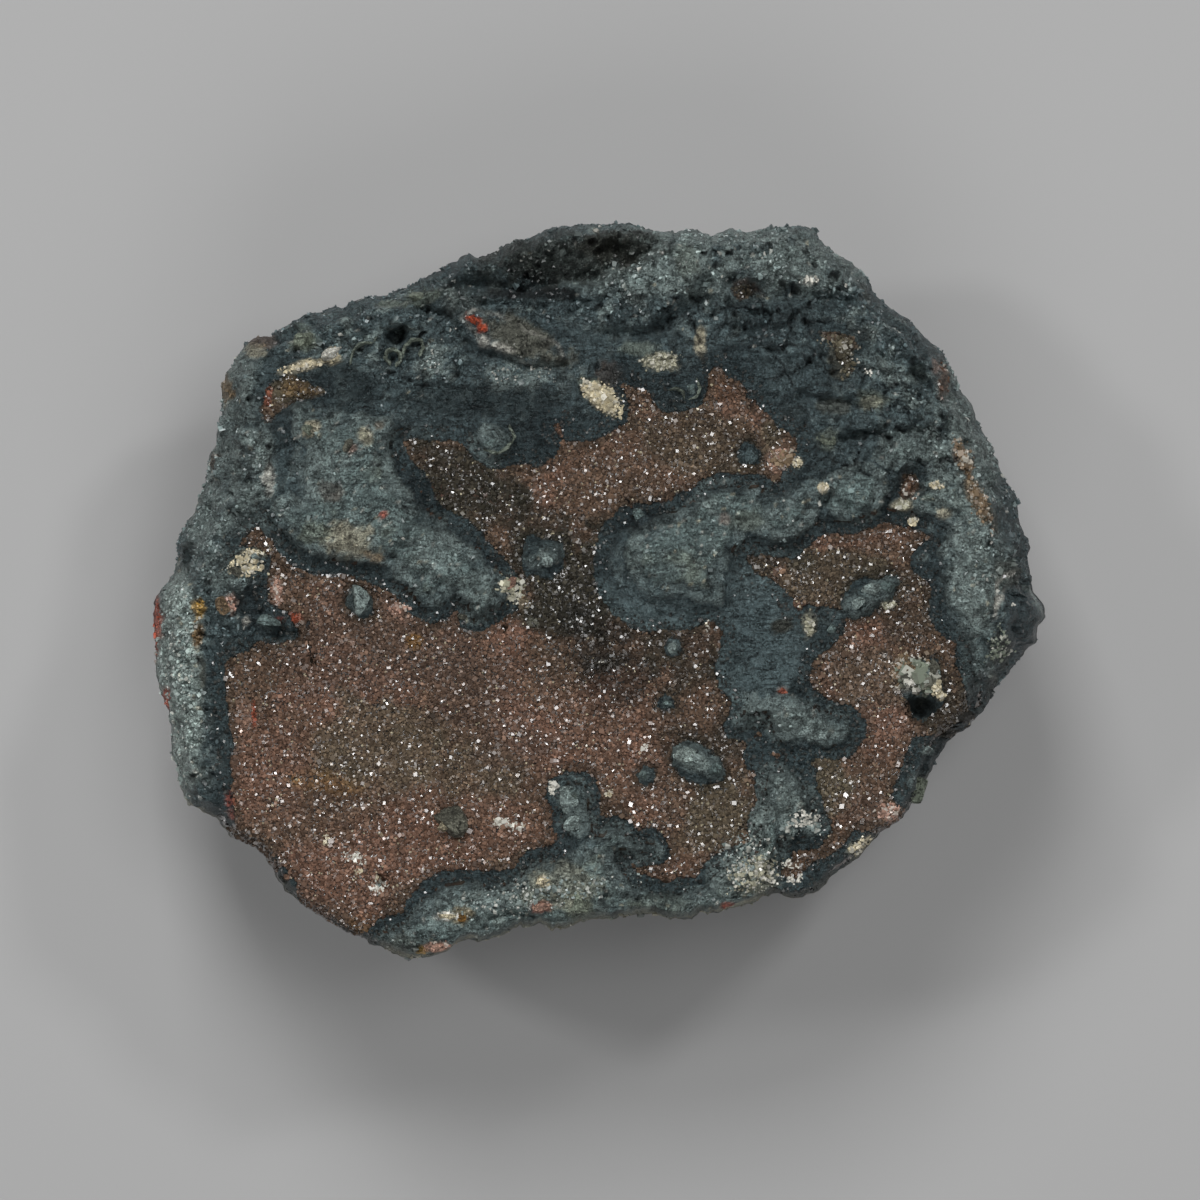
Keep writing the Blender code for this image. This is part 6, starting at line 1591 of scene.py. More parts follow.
@dataclass(frozen=True)
class OreMatrix:
    """The lump of ore: its face, its broken sides and its flat base."""

    relief: Relief
    across: int = 124
    up: int = 101
    deep: int = 32
    refine: int = 2
    side_grit: float = 1.0
    side_gloss: float = 0.2

    @staticmethod
    def cut_along(bm: bmesh.types.BMesh, axis: int, parts: int) -> None:
        """Cut every edge that runs along an axis.

        Args:
            bm: The block.
            axis: 0 for X, 1 for Y, 2 for Z.
            parts: How many equal parts each edge is cut into.
        """
        edges = []
        for edge in bm.edges:
            run = edge.verts[0].co - edge.verts[1].co
            if abs(run[axis]) > NIL and abs(run[axis - 1]) < NIL and abs(run[axis - 2]) < NIL:
                edges.append(edge)
        bmesh.ops.subdivide_edges(bm, edges=edges, cuts=parts - 1, use_grid_fill=True)

    def refine_bare_face(self, bm: bmesh.types.BMesh) -> None:
        """Cut the faces that no druse covers into finer ones.

        Args:
            bm: The block, with its normals up to date.
        """
        top = [face for face in bm.faces if face.normal.z > 0.5]
        middles = np.array([face.calc_center_median().xy for face in top])
        depth = self.relief.druse_depth(self.relief.lay_out(middles))
        edges = {edge for face, inner in zip(top, depth) if inner < 0.9 for edge in face.edges}
        bmesh.ops.subdivide_edges(bm, edges=list(edges), cuts=self.refine, use_grid_fill=True)

    def make_block(self) -> bpy.types.Mesh:
        """Make a cube of fine faces, with one large face below.

        Returns:
            The mesh, with corners from -1 to 1.
        """
        bm = bmesh.new()
        bmesh.ops.create_cube(bm, size=2)
        for axis, parts in enumerate((self.across, self.up, self.deep)):
            self.cut_along(bm, axis, parts)
        bm.normal_update()
        self.refine_bare_face(bm)
        bm.normal_update()
        below = [face for face in bm.faces if face.normal.z < -0.5]
        bmesh.ops.dissolve_faces(bm, faces=below, use_verts=False)
        return write_mesh("ore_matrix", bm)

    def lay_sides(self, block: Points, rim: Points) -> Points:
        """Shape the sides and the base.

        Args:
            block: Corners of the cube from -1 to 1.
            rim: Corners of the rim, in millimetres.

        Returns:
            Corners in millimetres.
        """
        rim = rim[np.arctan2(rim[:, 1], rim[:, 0]).argsort()]
        share, angle = to_disc(block[:, :2])
        down = (1 - block[:, 2]) / 2
        top = np.interp(angle, np.arctan2(rim[:, 1], rim[:, 0]), rim[:, 2], period=2 * math.pi)
        height = top * (1 - down)
        return np.column_stack([around(self.relief.side_radius(angle, height, down) * share, angle), height])

    def build(self, paints: OrePaint, material: bpy.types.Material) -> None:
        """Build and dress the lump.

        Args:
            paints: Colours of the ore.
            material: Its finish.
        """
        mesh = self.make_block()
        block = corners_of(mesh.vertices)
        top = block[:, 2] > 1 - NIL
        rim = top & (np.abs(block[:, :2]).max(1) > 1 - NIL)
        places = self.relief.survey(self.relief.lay_out(block[top, :2]))
        height, dark = self.relief.height(places)
        corners = np.empty_like(block)
        corners[top] = self.relief.stand(places, height)
        corners[~top] = self.lay_sides(block[~top], corners[rim])
        mesh.vertices.foreach_set("co", (corners * self.relief.scale).astype(np.float32).ravel())
        mesh.update()
        tint = np.zeros_like(block)
        grit = np.full(len(block), self.side_grit)
        gloss = np.full(len(block), self.side_gloss)
        tint[top], grit[top], gloss[top] = paints.face(places, dark)
        tint[~top] = paints.sides(corners[~top])
        paint_ore(mesh, tint, grit, gloss)
        show(mesh, material, ("matrix",), smooth=True)


@dataclass
class Crowd:
    """Many small crystals: middles and widths along three edges in millimetres, and linear colours."""

    middles: Points
    sizes: Points
    tints: np.ndarray

    def part(self, chosen: np.ndarray) -> "Crowd":
        """Some of the crystals."""
        return Crowd(self.middles[chosen], self.sizes[chosen], self.tints[chosen])

    @staticmethod
    def union(crowds: list["Crowd"]) -> "Crowd":
        """All the crystals of several crowds."""
        rows = zip(*((crowd.middles, crowd.sizes, crowd.tints) for crowd in crowds))
        return Crowd(*(np.concatenate(row) for row in rows))

    def whiten(self, pale: np.ndarray, tone: Tone, shares: np.ndarray) -> None:
        """Blend the colours of some crystals towards a light tone."""
        self.tints[pale] = tone.over(self.tints[pale], shares)


@dataclass(frozen=True)
class CrystalShape:
    """A small rhombohedron that is repeated many times."""

    scale: float
    squash: float = 0.82
    jitter: float = 0.0

    def template(self) -> tuple[Points, np.ndarray]:
        """Make one crystal of unit size.

        Returns:
            Its corners, and the numbers of the four corners of each face.
        """
        bm = bmesh.new()
        bmesh.ops.create_cube(bm, size=1)
        diagonal = Vector((1, 1, 1)).normalized()
        for vert in bm.verts:
            vert.co -= diagonal * vert.co.dot(diagonal) * (1 - self.squash)
        corners = corners_of(bm.verts)
        faces = np.array([[vert.index for vert in face.verts] for face in bm.faces])
        bm.free()
        return corners, faces

    def repeat(self, name: str, crowd: Crowd, chance: np.random.Generator) -> bpy.types.Mesh:
        """Join many crystals in one mesh.

        Args:
            name: Name of the mesh.
            crowd: The crystals.
            chance: Source of their turns.

        Returns:
            The mesh, with the colours stored as tint.
        """
        corners, faces = self.template()
        many, count = len(crowd.middles), len(corners)
        turns = chance.normal(size=(many, 4))
        w, x, y, z = (turns / np.linalg.norm(turns, axis=1)[:, None]).T
        spin = np.array([
            [1 - 2 * (y * y + z * z), 2 * (x * y - z * w), 2 * (x * z + y * w)],
            [2 * (x * y + z * w), 1 - 2 * (x * x + z * z), 2 * (y * z - x * w)],
            [2 * (x * z - y * w), 2 * (y * z + x * w), 1 - 2 * (x * x + y * y)]]).transpose(2, 0, 1)
        shaped = (corners + chance.normal(0, self.jitter, (many, count, 3))) * crowd.sizes[:, None, :]
        placed = np.einsum("nij,nkj->nki", spin, shaped) + crowd.middles[:, None, :]
        index = faces + (np.arange(many) * count)[:, None, None]
        mesh = bpy.data.meshes.new(name)
        mesh.from_pydata((placed.reshape(-1, 3) * self.scale).tolist(), [], index.reshape(-1, 4).tolist())
        paint(mesh, "tint", np.repeat(crowd.tints, count, axis=0))
        return mesh


def scatter(x_span: tuple[int, int], y_span: tuple[int, int], spacing: float, jitter: float,
            chance: np.random.Generator) -> Points:
    """Scatter places about evenly.

    Args:
        x_span: First and last x, in millimetres.
        y_span: First and last y.
        spacing: Usual distance between neighbours.
        jitter: How far each place strays, in spacings.
        chance: Source of the scatter.

    Returns:
        Places on the face, in millimetres.
    """
    grid = np.meshgrid(np.arange(*x_span, spacing), np.arange(*y_span, spacing))
    flat = np.stack(grid, axis=-1).reshape(-1, 2)
    return flat + chance.uniform(-jitter, jitter, flat.shape) * spacing


@dataclass(frozen=True)
class Druse:
    """The crust of grown-together rhodochrosite crystals: a closed bed and the crystals on it."""

    relief: Relief
    across: int = 200
    up: int = 164
    inset: float = 0.999
    spacing: float = 0.285
    crystal: float = 0.31
    thickness: float = 0.5
    # Share of near-white crystals: partly pale crystals, partly painted glints.
    pale_share: float = 0.017
    seed: int = 5
    nodes: tuple[str, ...] = ("rhodochrosite_druse", "rhodochrosite_druse_right", "rhodochrosite_pocket_left",
                              "rhodochrosite_pocket_upper", "rhodochrosite_pocket_right")
    parts: tuple[str, ...] = ("left", "inner_left", "middle", "inner_right", "right")

    def zone_tint(self, places: Places) -> np.ndarray:
        """Colour of the druse, before each crystal gets its own.

        Args:
            places: Surveyed places.

        Returns:
            Linear colours.
        """
        spots = places.spots()
        ragged = 0.8 * Noise.ZONE_EDGE.at(spots)
        tint = Tone.BRICK.over(Tone.WINE.linear(), smooth_step(-0.2, 0.8, Noise.ZONE.at(spots)))
        for zone in DRUSE_ZONES:
            tint = zone.tone.over(tint, zone.cover(places.flat, ragged))
        tint = Tone.UMBER.over(tint, 0.68 * smooth_step(1.9, 0.2, places.druse))
        return Tone.SKIN.over(tint, 0.9 * smooth_step(0.3, -0.15, places.druse))

    def build_bed(self, material: bpy.types.Material) -> None:
        """Build the closed sheet that the crystals stand on.

        Args:
            material: Its finish.
        """
        bm = bmesh.new()
        bmesh.ops.create_grid(bm, x_segments=self.across, y_segments=self.up, size=1)
        middles = np.array([face.calc_center_median().xy for face in bm.faces])
        depth = self.relief.druse_depth(self.relief.lay_out(middles * self.inset))
        outside = [face for face, inner in zip(bm.faces, depth) if inner < -0.05]
        bmesh.ops.delete(bm, geom=outside, context="FACES")
        for pinch in [vert for vert in bm.verts if len(vert.link_edges) == 2 * len(vert.link_faces) == 4]:
            bmesh.utils.vert_separate(pinch, pinch.link_edges[:])
        places = self.relief.survey(self.relief.lay_out(corners_of(bm.verts)[:, :2] * self.inset))
        height = self.relief.height(places)[0] + self.relief.lift(places)
        height += 0.16 * Grain.smooth(places.spots() / 0.5, 163) * smooth_step(0, 1, places.druse)
        place_verts(bm, np.column_stack([places.flat, height]), self.relief.scale)
        bmesh.ops.translate(bm, verts=double(bm), vec=(0, 0, -self.thickness * self.relief.scale))
        bmesh.ops.recalc_face_normals(bm, faces=bm.faces[:])
        mesh = write_mesh("rhodochrosite_bed", bm)
        # The bed takes the druse colour darkened to 0.42, as painted shade in the gaps between the crystals.
        paint(mesh, "tint", np.tile(self.zone_tint(places) * 0.42, (2, 1)))
        show(mesh, material, self.nodes)

    def seats(self, chance: np.random.Generator) -> Places:
        """Choose where the crystals sit: close together inside, few at the border.

        Args:
            chance: Source of their scatter.

        Returns:
            Their places.
        """
        flat = scatter((-53, 53), (-48, 43), self.spacing, 0.45, chance)
        flat = flat[self.relief.druse_depth(flat) > -1.6]
        places = self.relief.survey(flat)
        share = smooth_step(-0.2, 0.3, places.druse) ** 1.5
        kept = (chance.uniform(size=len(flat)) < share) & (places.rim_gap > 0.3)
        return self.relief.survey(flat[kept])

    def build_crystals(self, material: bpy.types.Material) -> None:
        """Grow the crystals, with one piece for each part of the field.

        Args:
            material: Their finish.
        """
        chance = np.random.default_rng(self.seed)
        places = self.seats(chance)
        count = len(places.flat)
        # Near-white crystals stand partly for pale crystals and partly for painted glints.
        pale = (chance.uniform(size=count) < self.pale_share) & (places.druse > 0.7)
        size = self.crystal * (0.6 + 0.4 * smooth_step(-0.8, 0.8, places.druse))
        size = size * np.exp(chance.normal(0, 0.24, count)) * np.where(pale, 0.58, 1)
        height = self.relief.surface(places) + size * chance.uniform(-0.1, 0.28, count) + 0.12 * pale
        sizes = size[:, None] * chance.uniform(0.8, 1.2, (count, 3))
        tints = 0.92 * self.zone_tint(places) * np.exp(chance.normal(0, 0.34, count))[:, None]
        crowd = Crowd(np.column_stack([places.flat, height]), sizes, tints)
        crowd.whiten(pale, Tone.CREAM, chance.uniform(0.4, 1.0, pale.sum()))
        x = places.flat[:, 0]
        bounds = np.quantile(x, np.linspace(0, 1, len(self.parts) + 1))
        bounds[-1] += 1
        for part, low, high in zip(self.parts, bounds[:-1], bounds[1:]):
            name = "rhodochrosite_crystals_" + part
            mesh = CrystalShape(self.relief.scale).repeat(name, crowd.part((x >= low) & (x < high)), chance)
            show(mesh, material)


@dataclass(frozen=True)
class OreGrit:
    """Grains of ore that stand on the rough parts of the face and along its rim."""

    relief: Relief
    spacing: float = 0.46
    grain: float = 0.29
    pale_share: float = 0.02
    seed: int = 41

    def seats(self, paints: OrePaint, chance: np.random.Generator) -> Places:
        """Choose where the grains sit.

        Args:
            paints: Where the ore has which colour.
            chance: Source of their scatter.

        Returns:
            Their places.
        """
        flat = scatter((-61, 61), (-50, 50), self.spacing, 0.5, chance)
        gap = self.relief.rim_radius(np.arctan2(flat[:, 1], flat[:, 0])) - np.hypot(*flat.T)
        places = self.relief.survey(flat[gap > -0.1])
        top = smooth_step(-0.1, 0.3, places.island)
        density = 0.08 + 0.5 * places.rugged + 0.12 * top - 0.3 * places.calm + 0.25 * places.steep()
        density += 0.6 * mound(places.flat, paints.band) + 0.3 * smooth_step(1.0, 0.2, places.rim_gap)
        density *= smooth_step(0.0, 0.6, -places.druse) * (1 - places.facet()) * (1 - 0.5 * places.cracked)
        density *= smooth_step(-0.5, 0.4, Noise.CLUMPS.at(places.spots()))
        return self.relief.survey(places.flat[chance.uniform(size=len(places.flat)) < density])

    def build(self, paints: OrePaint, material: bpy.types.Material) -> None:
        """Build the grains, in a left and a right piece.

        Args:
            paints: Colours of the ore.
            material: Their finish.
        """
        chance = np.random.default_rng(self.seed)
        places = self.seats(paints, chance)
        count = len(places.flat)
        size = self.grain * np.exp(chance.normal(0, 0.3, count))
        height, dark = self.relief.height(places)
        middles = self.relief.stand(places, height)
        middles[:, 2] += size * chance.uniform(-0.25, 0.25, count)
        sizes = size[:, None] * chance.uniform(0.6, 1.4, (count, 3))
        # The grains take the face's colour, painted hollow shade included.
        tints = paints.face(places, dark)[0] * np.exp(chance.normal(0.05, 0.3, count))[:, None]
        crowd = Crowd(middles, sizes, tints)
        pale = chance.uniform(size=count) < self.pale_share
        crowd.whiten(pale, Tone.CHALK, chance.uniform(0.2, 0.7, pale.sum()))
        left = places.flat[:, 0] < 0
        for name, chosen in (("ore_grains_left", left), ("ore_grains_right", ~left)):
            mesh = CrystalShape(self.relief.scale, jitter=0.17).repeat(name, crowd.part(chosen), chance)
            show(mesh, material)


@dataclass(frozen=True)
class CalciteGroup:
    """A group of small pale crystals: its place, reach, tone and how many crystals it has."""

    x: float
    y: float
    reach_x: float
    reach_y: float
    tone: Tone
    count: int
    size: float
    turn: float = 0.0
    lift: float = 0.0


CALCITE_GROUPS = {
    "calcite_upper": CalciteGroup(0.3, 26.0, 3.0, 1.3, Tone.CREAM, 572, 0.31, -38),
    "calcite_ledge": CalciteGroup(8.3, 30.8, 2.1, 1.2, Tone.SAND, 220, 0.26),
    "calcite_druse_edge": CalciteGroup(24.6, 17.8, 1.7, 1.1, Tone.TAN, 154, 0.37),
    "calcite_middle": CalciteGroup(-11.8, 0.4, 1.7, 1.8, Tone.SAND, 130, 0.36),
    "calcite_vug": CalciteGroup(42.8, -11.6, 2.6, 2.1, Tone.TAUPE, 150, 0.5, -20, 0.9),
    "calcite_lower_right": CalciteGroup(20.4, -37.8, 3.2, 2.0, Tone.SAND, 230, 0.28, 20),
    "calcite_corner": CalciteGroup(38.6, -29.6, 1.6, 1.4, Tone.BLUSH, 132, 0.37),
    "calcite_left_shelf": CalciteGroup(-47.6, 3.4, 2.2, 1.4, Tone.CREAM, 176, 0.31)}

SCATTERED_GROUPS = tuple(CalciteGroup(*row) for row in (
    (-12.4, -31.2, 2.2, 0.6, Tone.CHALK, 132, 0.31, -8),
    (-32.8, -35.6, 1.7, 0.8, Tone.CHALK, 110, 0.28, -15), (-32.4, -37.5, 0.6, 0.4, Tone.CREAM, 26, 0.31),
    (-29.6, -39.6, 1.4, 0.9, Tone.CHALK, 75, 0.31), (-6.3, -26.2, 0.6, 1, Tone.CHALK, 53, 0.25),
    (27.4, -30.5, 1.8, 1.1, Tone.CHALK, 80, 0.32), (28.8, -31.5, 1, 0.9, Tone.PALE_ORE, 45, 0.37),
    (25.4, -32, 1.1, 1.3, Tone.PALE_ORE, 60, 0.34), (25.6, -36.6, 1.2, 0.6, Tone.CHALK, 40, 0.31),
    (25.6, -38.4, 1.2, 0.8, Tone.CHALK, 35, 0.31), (45.7, -13.9, 0.6, 0.7, Tone.CREAM, 31, 0.25),
    (38.7, -1.9, 0.9, 0.5, Tone.SAND, 45, 0.3, 20, 0.4), (28, -4.5, 0.7, 1.5, Tone.SAND, 50, 0.3, 15, 0.3),
    (26.4, 17.2, 0.6, 0.6, Tone.CREAM, 34, 0.3, 0, 0.3), (29.8, 13.8, 0.7, 0.6, Tone.CREAM, 38, 0.3, 0, 0.4),
    (41.9, 9.4, 0.6, 0.6, Tone.CREAM, 30, 0.3, 0, 0.4), (-36.7, -33.3, 0.5, 1, Tone.CREAM, 31, 0.28),
    (-20.2, -43.4, 1.5, 0.5, Tone.CHALK, 57, 0.25), (-7.5, -38.7, 0.8, 0.8, Tone.CREAM, 48, 0.28),
    (-21.8, -47.4, 1.5, 0.6, Tone.BLUSH, 62, 0.28), (35, -34, 1.8, 0.8, Tone.CREAM, 79, 0.31, 35),
    (-39.8, 30.2, 2.6, 0.5, Tone.CREAM, 97, 0.28, 14), (-35.9, 31.6, 1, 0.8, Tone.CREAM, 57, 0.37),
    (-22.2, 31.4, 1.4, 2.2, Tone.PALE_ORE, 60, 0.22), (-43.2, 0.2, 0.7, 1.8, Tone.BLUSH, 66, 0.31),
    (-26.6, -2.2, 0.9, 0.6, Tone.BLUSH, 40, 0.31), (0.2, -9.5, 0.4, 0.3, Tone.CHALK, 9, 0.31),
    (14.5, -5, 0.4, 0.8, Tone.CHALK, 13, 0.25), (41.4, 13.6, 1.2, 1.2, Tone.BROWN, 88, 0.28),
    (45.2, 14.2, 1, 0.5, Tone.CREAM, 50, 0.28, -8, 0.3),
    (40.4, 11.6, 1.1, 0.6, Tone.SAND, 60, 0.28, 18, 0.3), (-46.4, 5.2, 1.4, 0.4, Tone.CREAM, 48, 0.25),
    (-49.4, -1.8, 0.8, 1, Tone.BLUSH, 40, 0.31), (36, 29.4, 0.6, 0.4, Tone.CHALK, 13, 0.25),
    (28.2, 41.8, 1.6, 0.6, Tone.CHALK, 26, 0.25), (42.6, -11.2, 2.5, 2, Tone.SAGE, 60, 0.85, -20, 0.8),
    (-30, -38.4, 0.5, 0.8, Tone.CREAM, 26, 0.25), (6, -21, 0.6, 0.5, Tone.CHALK, 18, 0.31),
    (48.7, 18, 0.9, 2.4, Tone.TAN, 150, 0.34, 22), (51, 11.6, 1, 3.2, Tone.TAN, 190, 0.32, 22),
    (46, 28.4, 0.8, 2.2, Tone.BROWN, 110, 0.32), (53.6, -7.6, 1.5, 2.4, Tone.SAGE, 130, 0.3),
    (33, 31.2, 1.4, 2.6, Tone.OLIVE, 70, 0.3), (41.4, -9.2, 2.8, 1, Tone.TAN, 130, 0.36),
    (39.8, -11.4, 0.8, 2.4, Tone.TAN, 80, 0.36), (-10.8, 29.2, 5, 1.6, Tone.ORE, 150, 0.2),
    (19, -35.5, 3.6, 3.8, Tone.PALE_ORE, 260, 0.28), (21, -37.6, 3, 2.6, Tone.CHALK, 70, 0.32),
    (55.3, -1.8, 0.35, 0.15, Tone.CHALK, 5, 0.3, 25), (57.2, -5.6, 0.3, 0.2, Tone.CHALK, 5, 0.3),
    (41, -10, 1.2, 0.9, Tone.TAN, 50, 0.32, 0, 0.9), (41.6, -12.2, 0.9, 0.8, Tone.CHALK, 36, 0.3, 0, 1.2),
    (45, -12.8, 0.6, 1.3, Tone.CREAM, 36, 0.28, 0, 0.8), (31.6, 33.4, 2.2, 1, Tone.OLIVE, 60, 0.26, -15),
    (24.8, 18, 1.6, 1.2, Tone.BLUSH, 30, 0.3), (-56.6, -14, 2.6, 13, Tone.TURQUOISE, 420, 0.26),
    (-8, -40.5, 12, 2, Tone.PALE_ORE, 260, 0.26, 8), (1.2, -27, 0.6, 0.6, Tone.CREAM, 22, 0.31)))


@dataclass(frozen=True)
class Calcite:
    """The cream and white crystal groups."""

    relief: Relief
    pale_share: float = 0.25
    seed: int = 23

    def grow(self, group: CalciteGroup, chance: np.random.Generator) -> Crowd:
        """Grow one group.

        Args:
            group: The group.
            chance: Source of its variation.

        Returns:
            Its crystals.
        """
        count = group.count
        far = np.sqrt(chance.uniform(0, 1, count)) * np.exp(chance.normal(0, 0.22, count))
        way = chance.uniform(0, 2 * math.pi, count)
        turn = math.radians(group.turn)
        along, across = far * np.cos(way) * group.reach_x, far * np.sin(way) * group.reach_y
        flat = np.column_stack([group.x + along * math.cos(turn) - across * math.sin(turn),
                                group.y + along * math.sin(turn) + across * math.cos(turn)])
        places = self.relief.survey(flat)
        size = group.size * np.exp(np.clip(chance.normal(0, 0.35, count), -1, 0.9)) * (1.15 - 0.4 * far)
        height = self.relief.surface(places) + group.lift * np.sqrt(np.clip(1 - far ** 2, 0, 1))
        height += size * chance.uniform(-0.15, 0.3, count)
        tints = group.tone.linear() * np.exp(chance.normal(0, 0.2, count))[:, None]
        pale = chance.uniform(size=count) < self.pale_share
        sizes = size[:, None] * chance.uniform(0.7, 1.3, (count, 3))
        crowd = Crowd(np.column_stack([flat, height]), sizes, tints)
        crowd.whiten(pale, Tone.CHALK, np.full(pale.sum(), 0.6))
        return crowd.part(places.rim_gap > 0.4)

    def build(self, material: bpy.types.Material) -> None:
        """Build every group: one piece for each that has a CAD node, and one for the scattered rest.

        Args:
            material: Their finish.
        """
        chance = np.random.default_rng(self.seed)
        shape = CrystalShape(self.relief.scale)
        for node, group in CALCITE_GROUPS.items():
            mesh = shape.repeat(node + "_crystals", self.grow(group, chance), chance)
            show(mesh, material, (node,))
        grown = [self.grow(group, chance) for group in SCATTERED_GROUPS]
        show(shape.repeat("calcite_scattered", Crowd.union(grown), chance), material)


@dataclass(frozen=True)
class Nugget:
    """An angular lump that stands on the face: its place, size, tone and turn."""

    x: float
    y: float
    width: float
    length: float
    height: float
    tone: Tone
    turn: float = 0.0


NUGGETS = tuple(Nugget(*row) for row in (
    (-19.7, -30.6, 4.4, 4.2, 2.4, Tone.TAUPE, 20), (-20.6, -31.6, 2.2, 1.8, 2.6, Tone.CREAM),
    (-4.3, -28, 3.2, 3, 1, Tone.PALE_ORE), (-3.4, -31.2, 2.4, 2.2, 0.9, Tone.PALE_ORE, 30),
    (-32.2, -1.1, 2.5, 3.3, 1.5, Tone.PALE_ORE, 15), (-7.6, 4.6, 2.6, 1.8, 0.9, Tone.PALE_ORE, -40),
    (-9.4, 5.6, 2.2, 2.2, 0.9, Tone.ORE), (43.5, -11.2, 3.4, 2.6, 1.5, Tone.PALE_ORE, -14),
    (41.6, -10.2, 2.2, 1.8, 1.2, Tone.TAN, 30), (44.9, -10.3, 1.6, 2, 1.2, Tone.TAUPE, 10),
    (-35.8, 31.8, 2.4, 1.8, 1.3, Tone.CHALK, 30), (-39.5, 33.5, 2.6, 2.4, 0.9, Tone.SAGE, 50),
    (20, 18.4, 1.9, 2.1, 0.9, Tone.ORE), (5.4, 10, 1.9, 2.3, 0.7, Tone.ISLAND, 20),
    (11.3, -21.7, 2.7, 1.7, 0.9, Tone.TURQUOISE, -12), (13.4, -22.6, 2.4, 1.5, 0.9, Tone.PALE_ORE, -30),
    (15.3, -23.9, 1.8, 1.6, 0.8, Tone.ISLAND, 10), (34.6, -1.3, 2.4, 1.8, 0.9, Tone.PALE_ORE, 35),
    (36.6, 0.1, 2.6, 1.7, 0.9, Tone.PALE_ORE, 15), (38.7, 0.7, 1.7, 1.5, 0.7, Tone.ISLAND, 10),
    (-31.5, 21, 1.6, 1.4, 0.8, Tone.SAND, 30), (-38.9, 21.6, 1.3, 1.7, 0.9, Tone.SAGE, 20),
    (-33.6, 19.6, 1.7, 1.2, 0.7, Tone.TAUPE, 50), (-7.5, -38.8, 1.7, 1.5, 0.9, Tone.CREAM),
    (-2.6, -42, 3.6, 3, 1, Tone.SAGE, -20), (-20.6, -43.4, 2.6, 1, 0.6, Tone.CREAM, 4),
    (-18.4, -43.5, 1.2, 1.1, 0.6, Tone.OCHRE), (-7.8, -42.1, 2, 1, 0.6, Tone.BLUSH, 12),
    (-21.8, -47.4, 2.4, 1.3, 0.6, Tone.BLUSH, 10), (-36.7, -34, 0.9, 2, 0.7, Tone.TAUPE),
    (-32.8, -35.5, 2.6, 1.1, 0.6, Tone.CHALK, -20), (-29.7, -39.6, 1.6, 1.2, 0.7, Tone.PALE_ORE),
    (43.8, -21.2, 1.5, 1.6, 0.9, Tone.PALE_ORE), (42.8, -26.2, 2.4, 3.6, 1, Tone.SAGE, -20),
    (9.8, -7.5, 1.2, 1.5, 0.7, Tone.PALE_ORE), (14.9, -10.1, 1.1, 0.6, 0.5, Tone.PALE_ORE, 20),
    (8.9, -15, 1.2, 1.1, 0.6, Tone.ISLAND), (5.9, -24.6, 1.3, 1.2, 0.7, Tone.ISLAND),
    (-12, 1, 1.8, 1.5, 0.8, Tone.BLUSH, 30), (-10.3, -1.2, 1.7, 1.2, 0.6, Tone.TAN),
    (31, -4.9, 1.2, 1.1, 0.7, Tone.ISLAND), (24.3, -13.4, 1.5, 1.1, 0.7, Tone.SALMON, 15),
    (-18.4, -3.2, 1, 0.9, 0.6, Tone.TAUPE), (-44.4, -4.1, 2.8, 1.6, 1, Tone.ISLAND, -15),
    (-5.6, 0.6, 1.2, 1, 0.5, Tone.UMBER), (30.4, 20.3, 2.6, 1.8, 0.35, Tone.SAGE, 10),
    (12.4, 27.2, 1.8, 1.5, 0.35, Tone.ISLAND), (-24.4, 39.4, 2.6, 1.6, 0.8, Tone.SAGE, 20),
    (-50.6, -2, 2.2, 2, 0.9, Tone.TAN, 40), (-48.4, 2.6, 2.6, 1.6, 1.1, Tone.TAUPE, 20),
    (-46.2, 4.6, 2, 1.2, 0.8, Tone.PALE_ORE, 10), (-17, 36.1, 1.5, 0.6, 0.8, Tone.RUST, -40)))


@dataclass(frozen=True)
class Nuggets:
    """The angular lumps of the face, joined in one mesh."""

    relief: Relief
    cuts: int = 9
    grit: float = 0.75
    gloss: float = 0.5
    seed: int = 57

    def chip(self, nugget: Nugget, chance: np.random.Generator) -> bmesh.types.BMesh:
        """Cut random flat faces off a ball.

        Args:
            nugget: What it becomes.
            chance: Source of its variation.

        Returns:
            The lump, in place, in metres.
        """
        bm = bmesh.new()
        bmesh.ops.create_icosphere(bm, subdivisions=3, radius=1)
        for axis in chance.normal(size=(self.cuts, 3)):
            normal = Vector(axis).normalized()
            depth = chance.uniform(0.36, 0.64)
            for vert in bm.verts:
                vert.co -= normal * max(0.0, vert.co.dot(normal) - depth)
        corners = corners_of(bm.verts)
        corners *= 1 + 0.12 * Noise.NUGGET_FORM.at(corners + nugget.x)[:, None]
        corners *= np.array([nugget.width, nugget.length, nugget.height * 1.6]) / 1.5
        along, across, up = corners.T
        turn = math.radians(nugget.turn)
        spot = self.relief.survey(np.array([[nugget.x, nugget.y]]))
        ground = self.relief.height(spot)[0][0] + max(0.0, self.relief.lift(spot)[0] - 0.2)
        x = nugget.x + along * math.cos(turn) - across * math.sin(turn)
        y = nugget.y + along * math.sin(turn) + across * math.cos(turn)
        place_verts(bm, np.column_stack([x, y, ground + up + 0.1 * nugget.height]), self.relief.scale)
        return bm

    def build(self, material: bpy.types.Material) -> None:
        """Build one piece with every lump.

        Args:
            material: Their finish.
        """
        chance = np.random.default_rng(self.seed)
        joined = bmesh.new()
        tints = []
        for nugget in NUGGETS:
            single = self.chip(nugget, chance)
            shade = 1 + 0.5 * Noise.NUGGET_TONE.at(corners_of(single.verts) / self.relief.scale)
            tints.append(nugget.tone.linear() * shade[:, None])
            join(joined, single)
        mesh = write_mesh("nuggets", joined)
        paint_ore(mesh, np.concatenate(tints), self.grit, self.gloss)
        show(mesh, material)


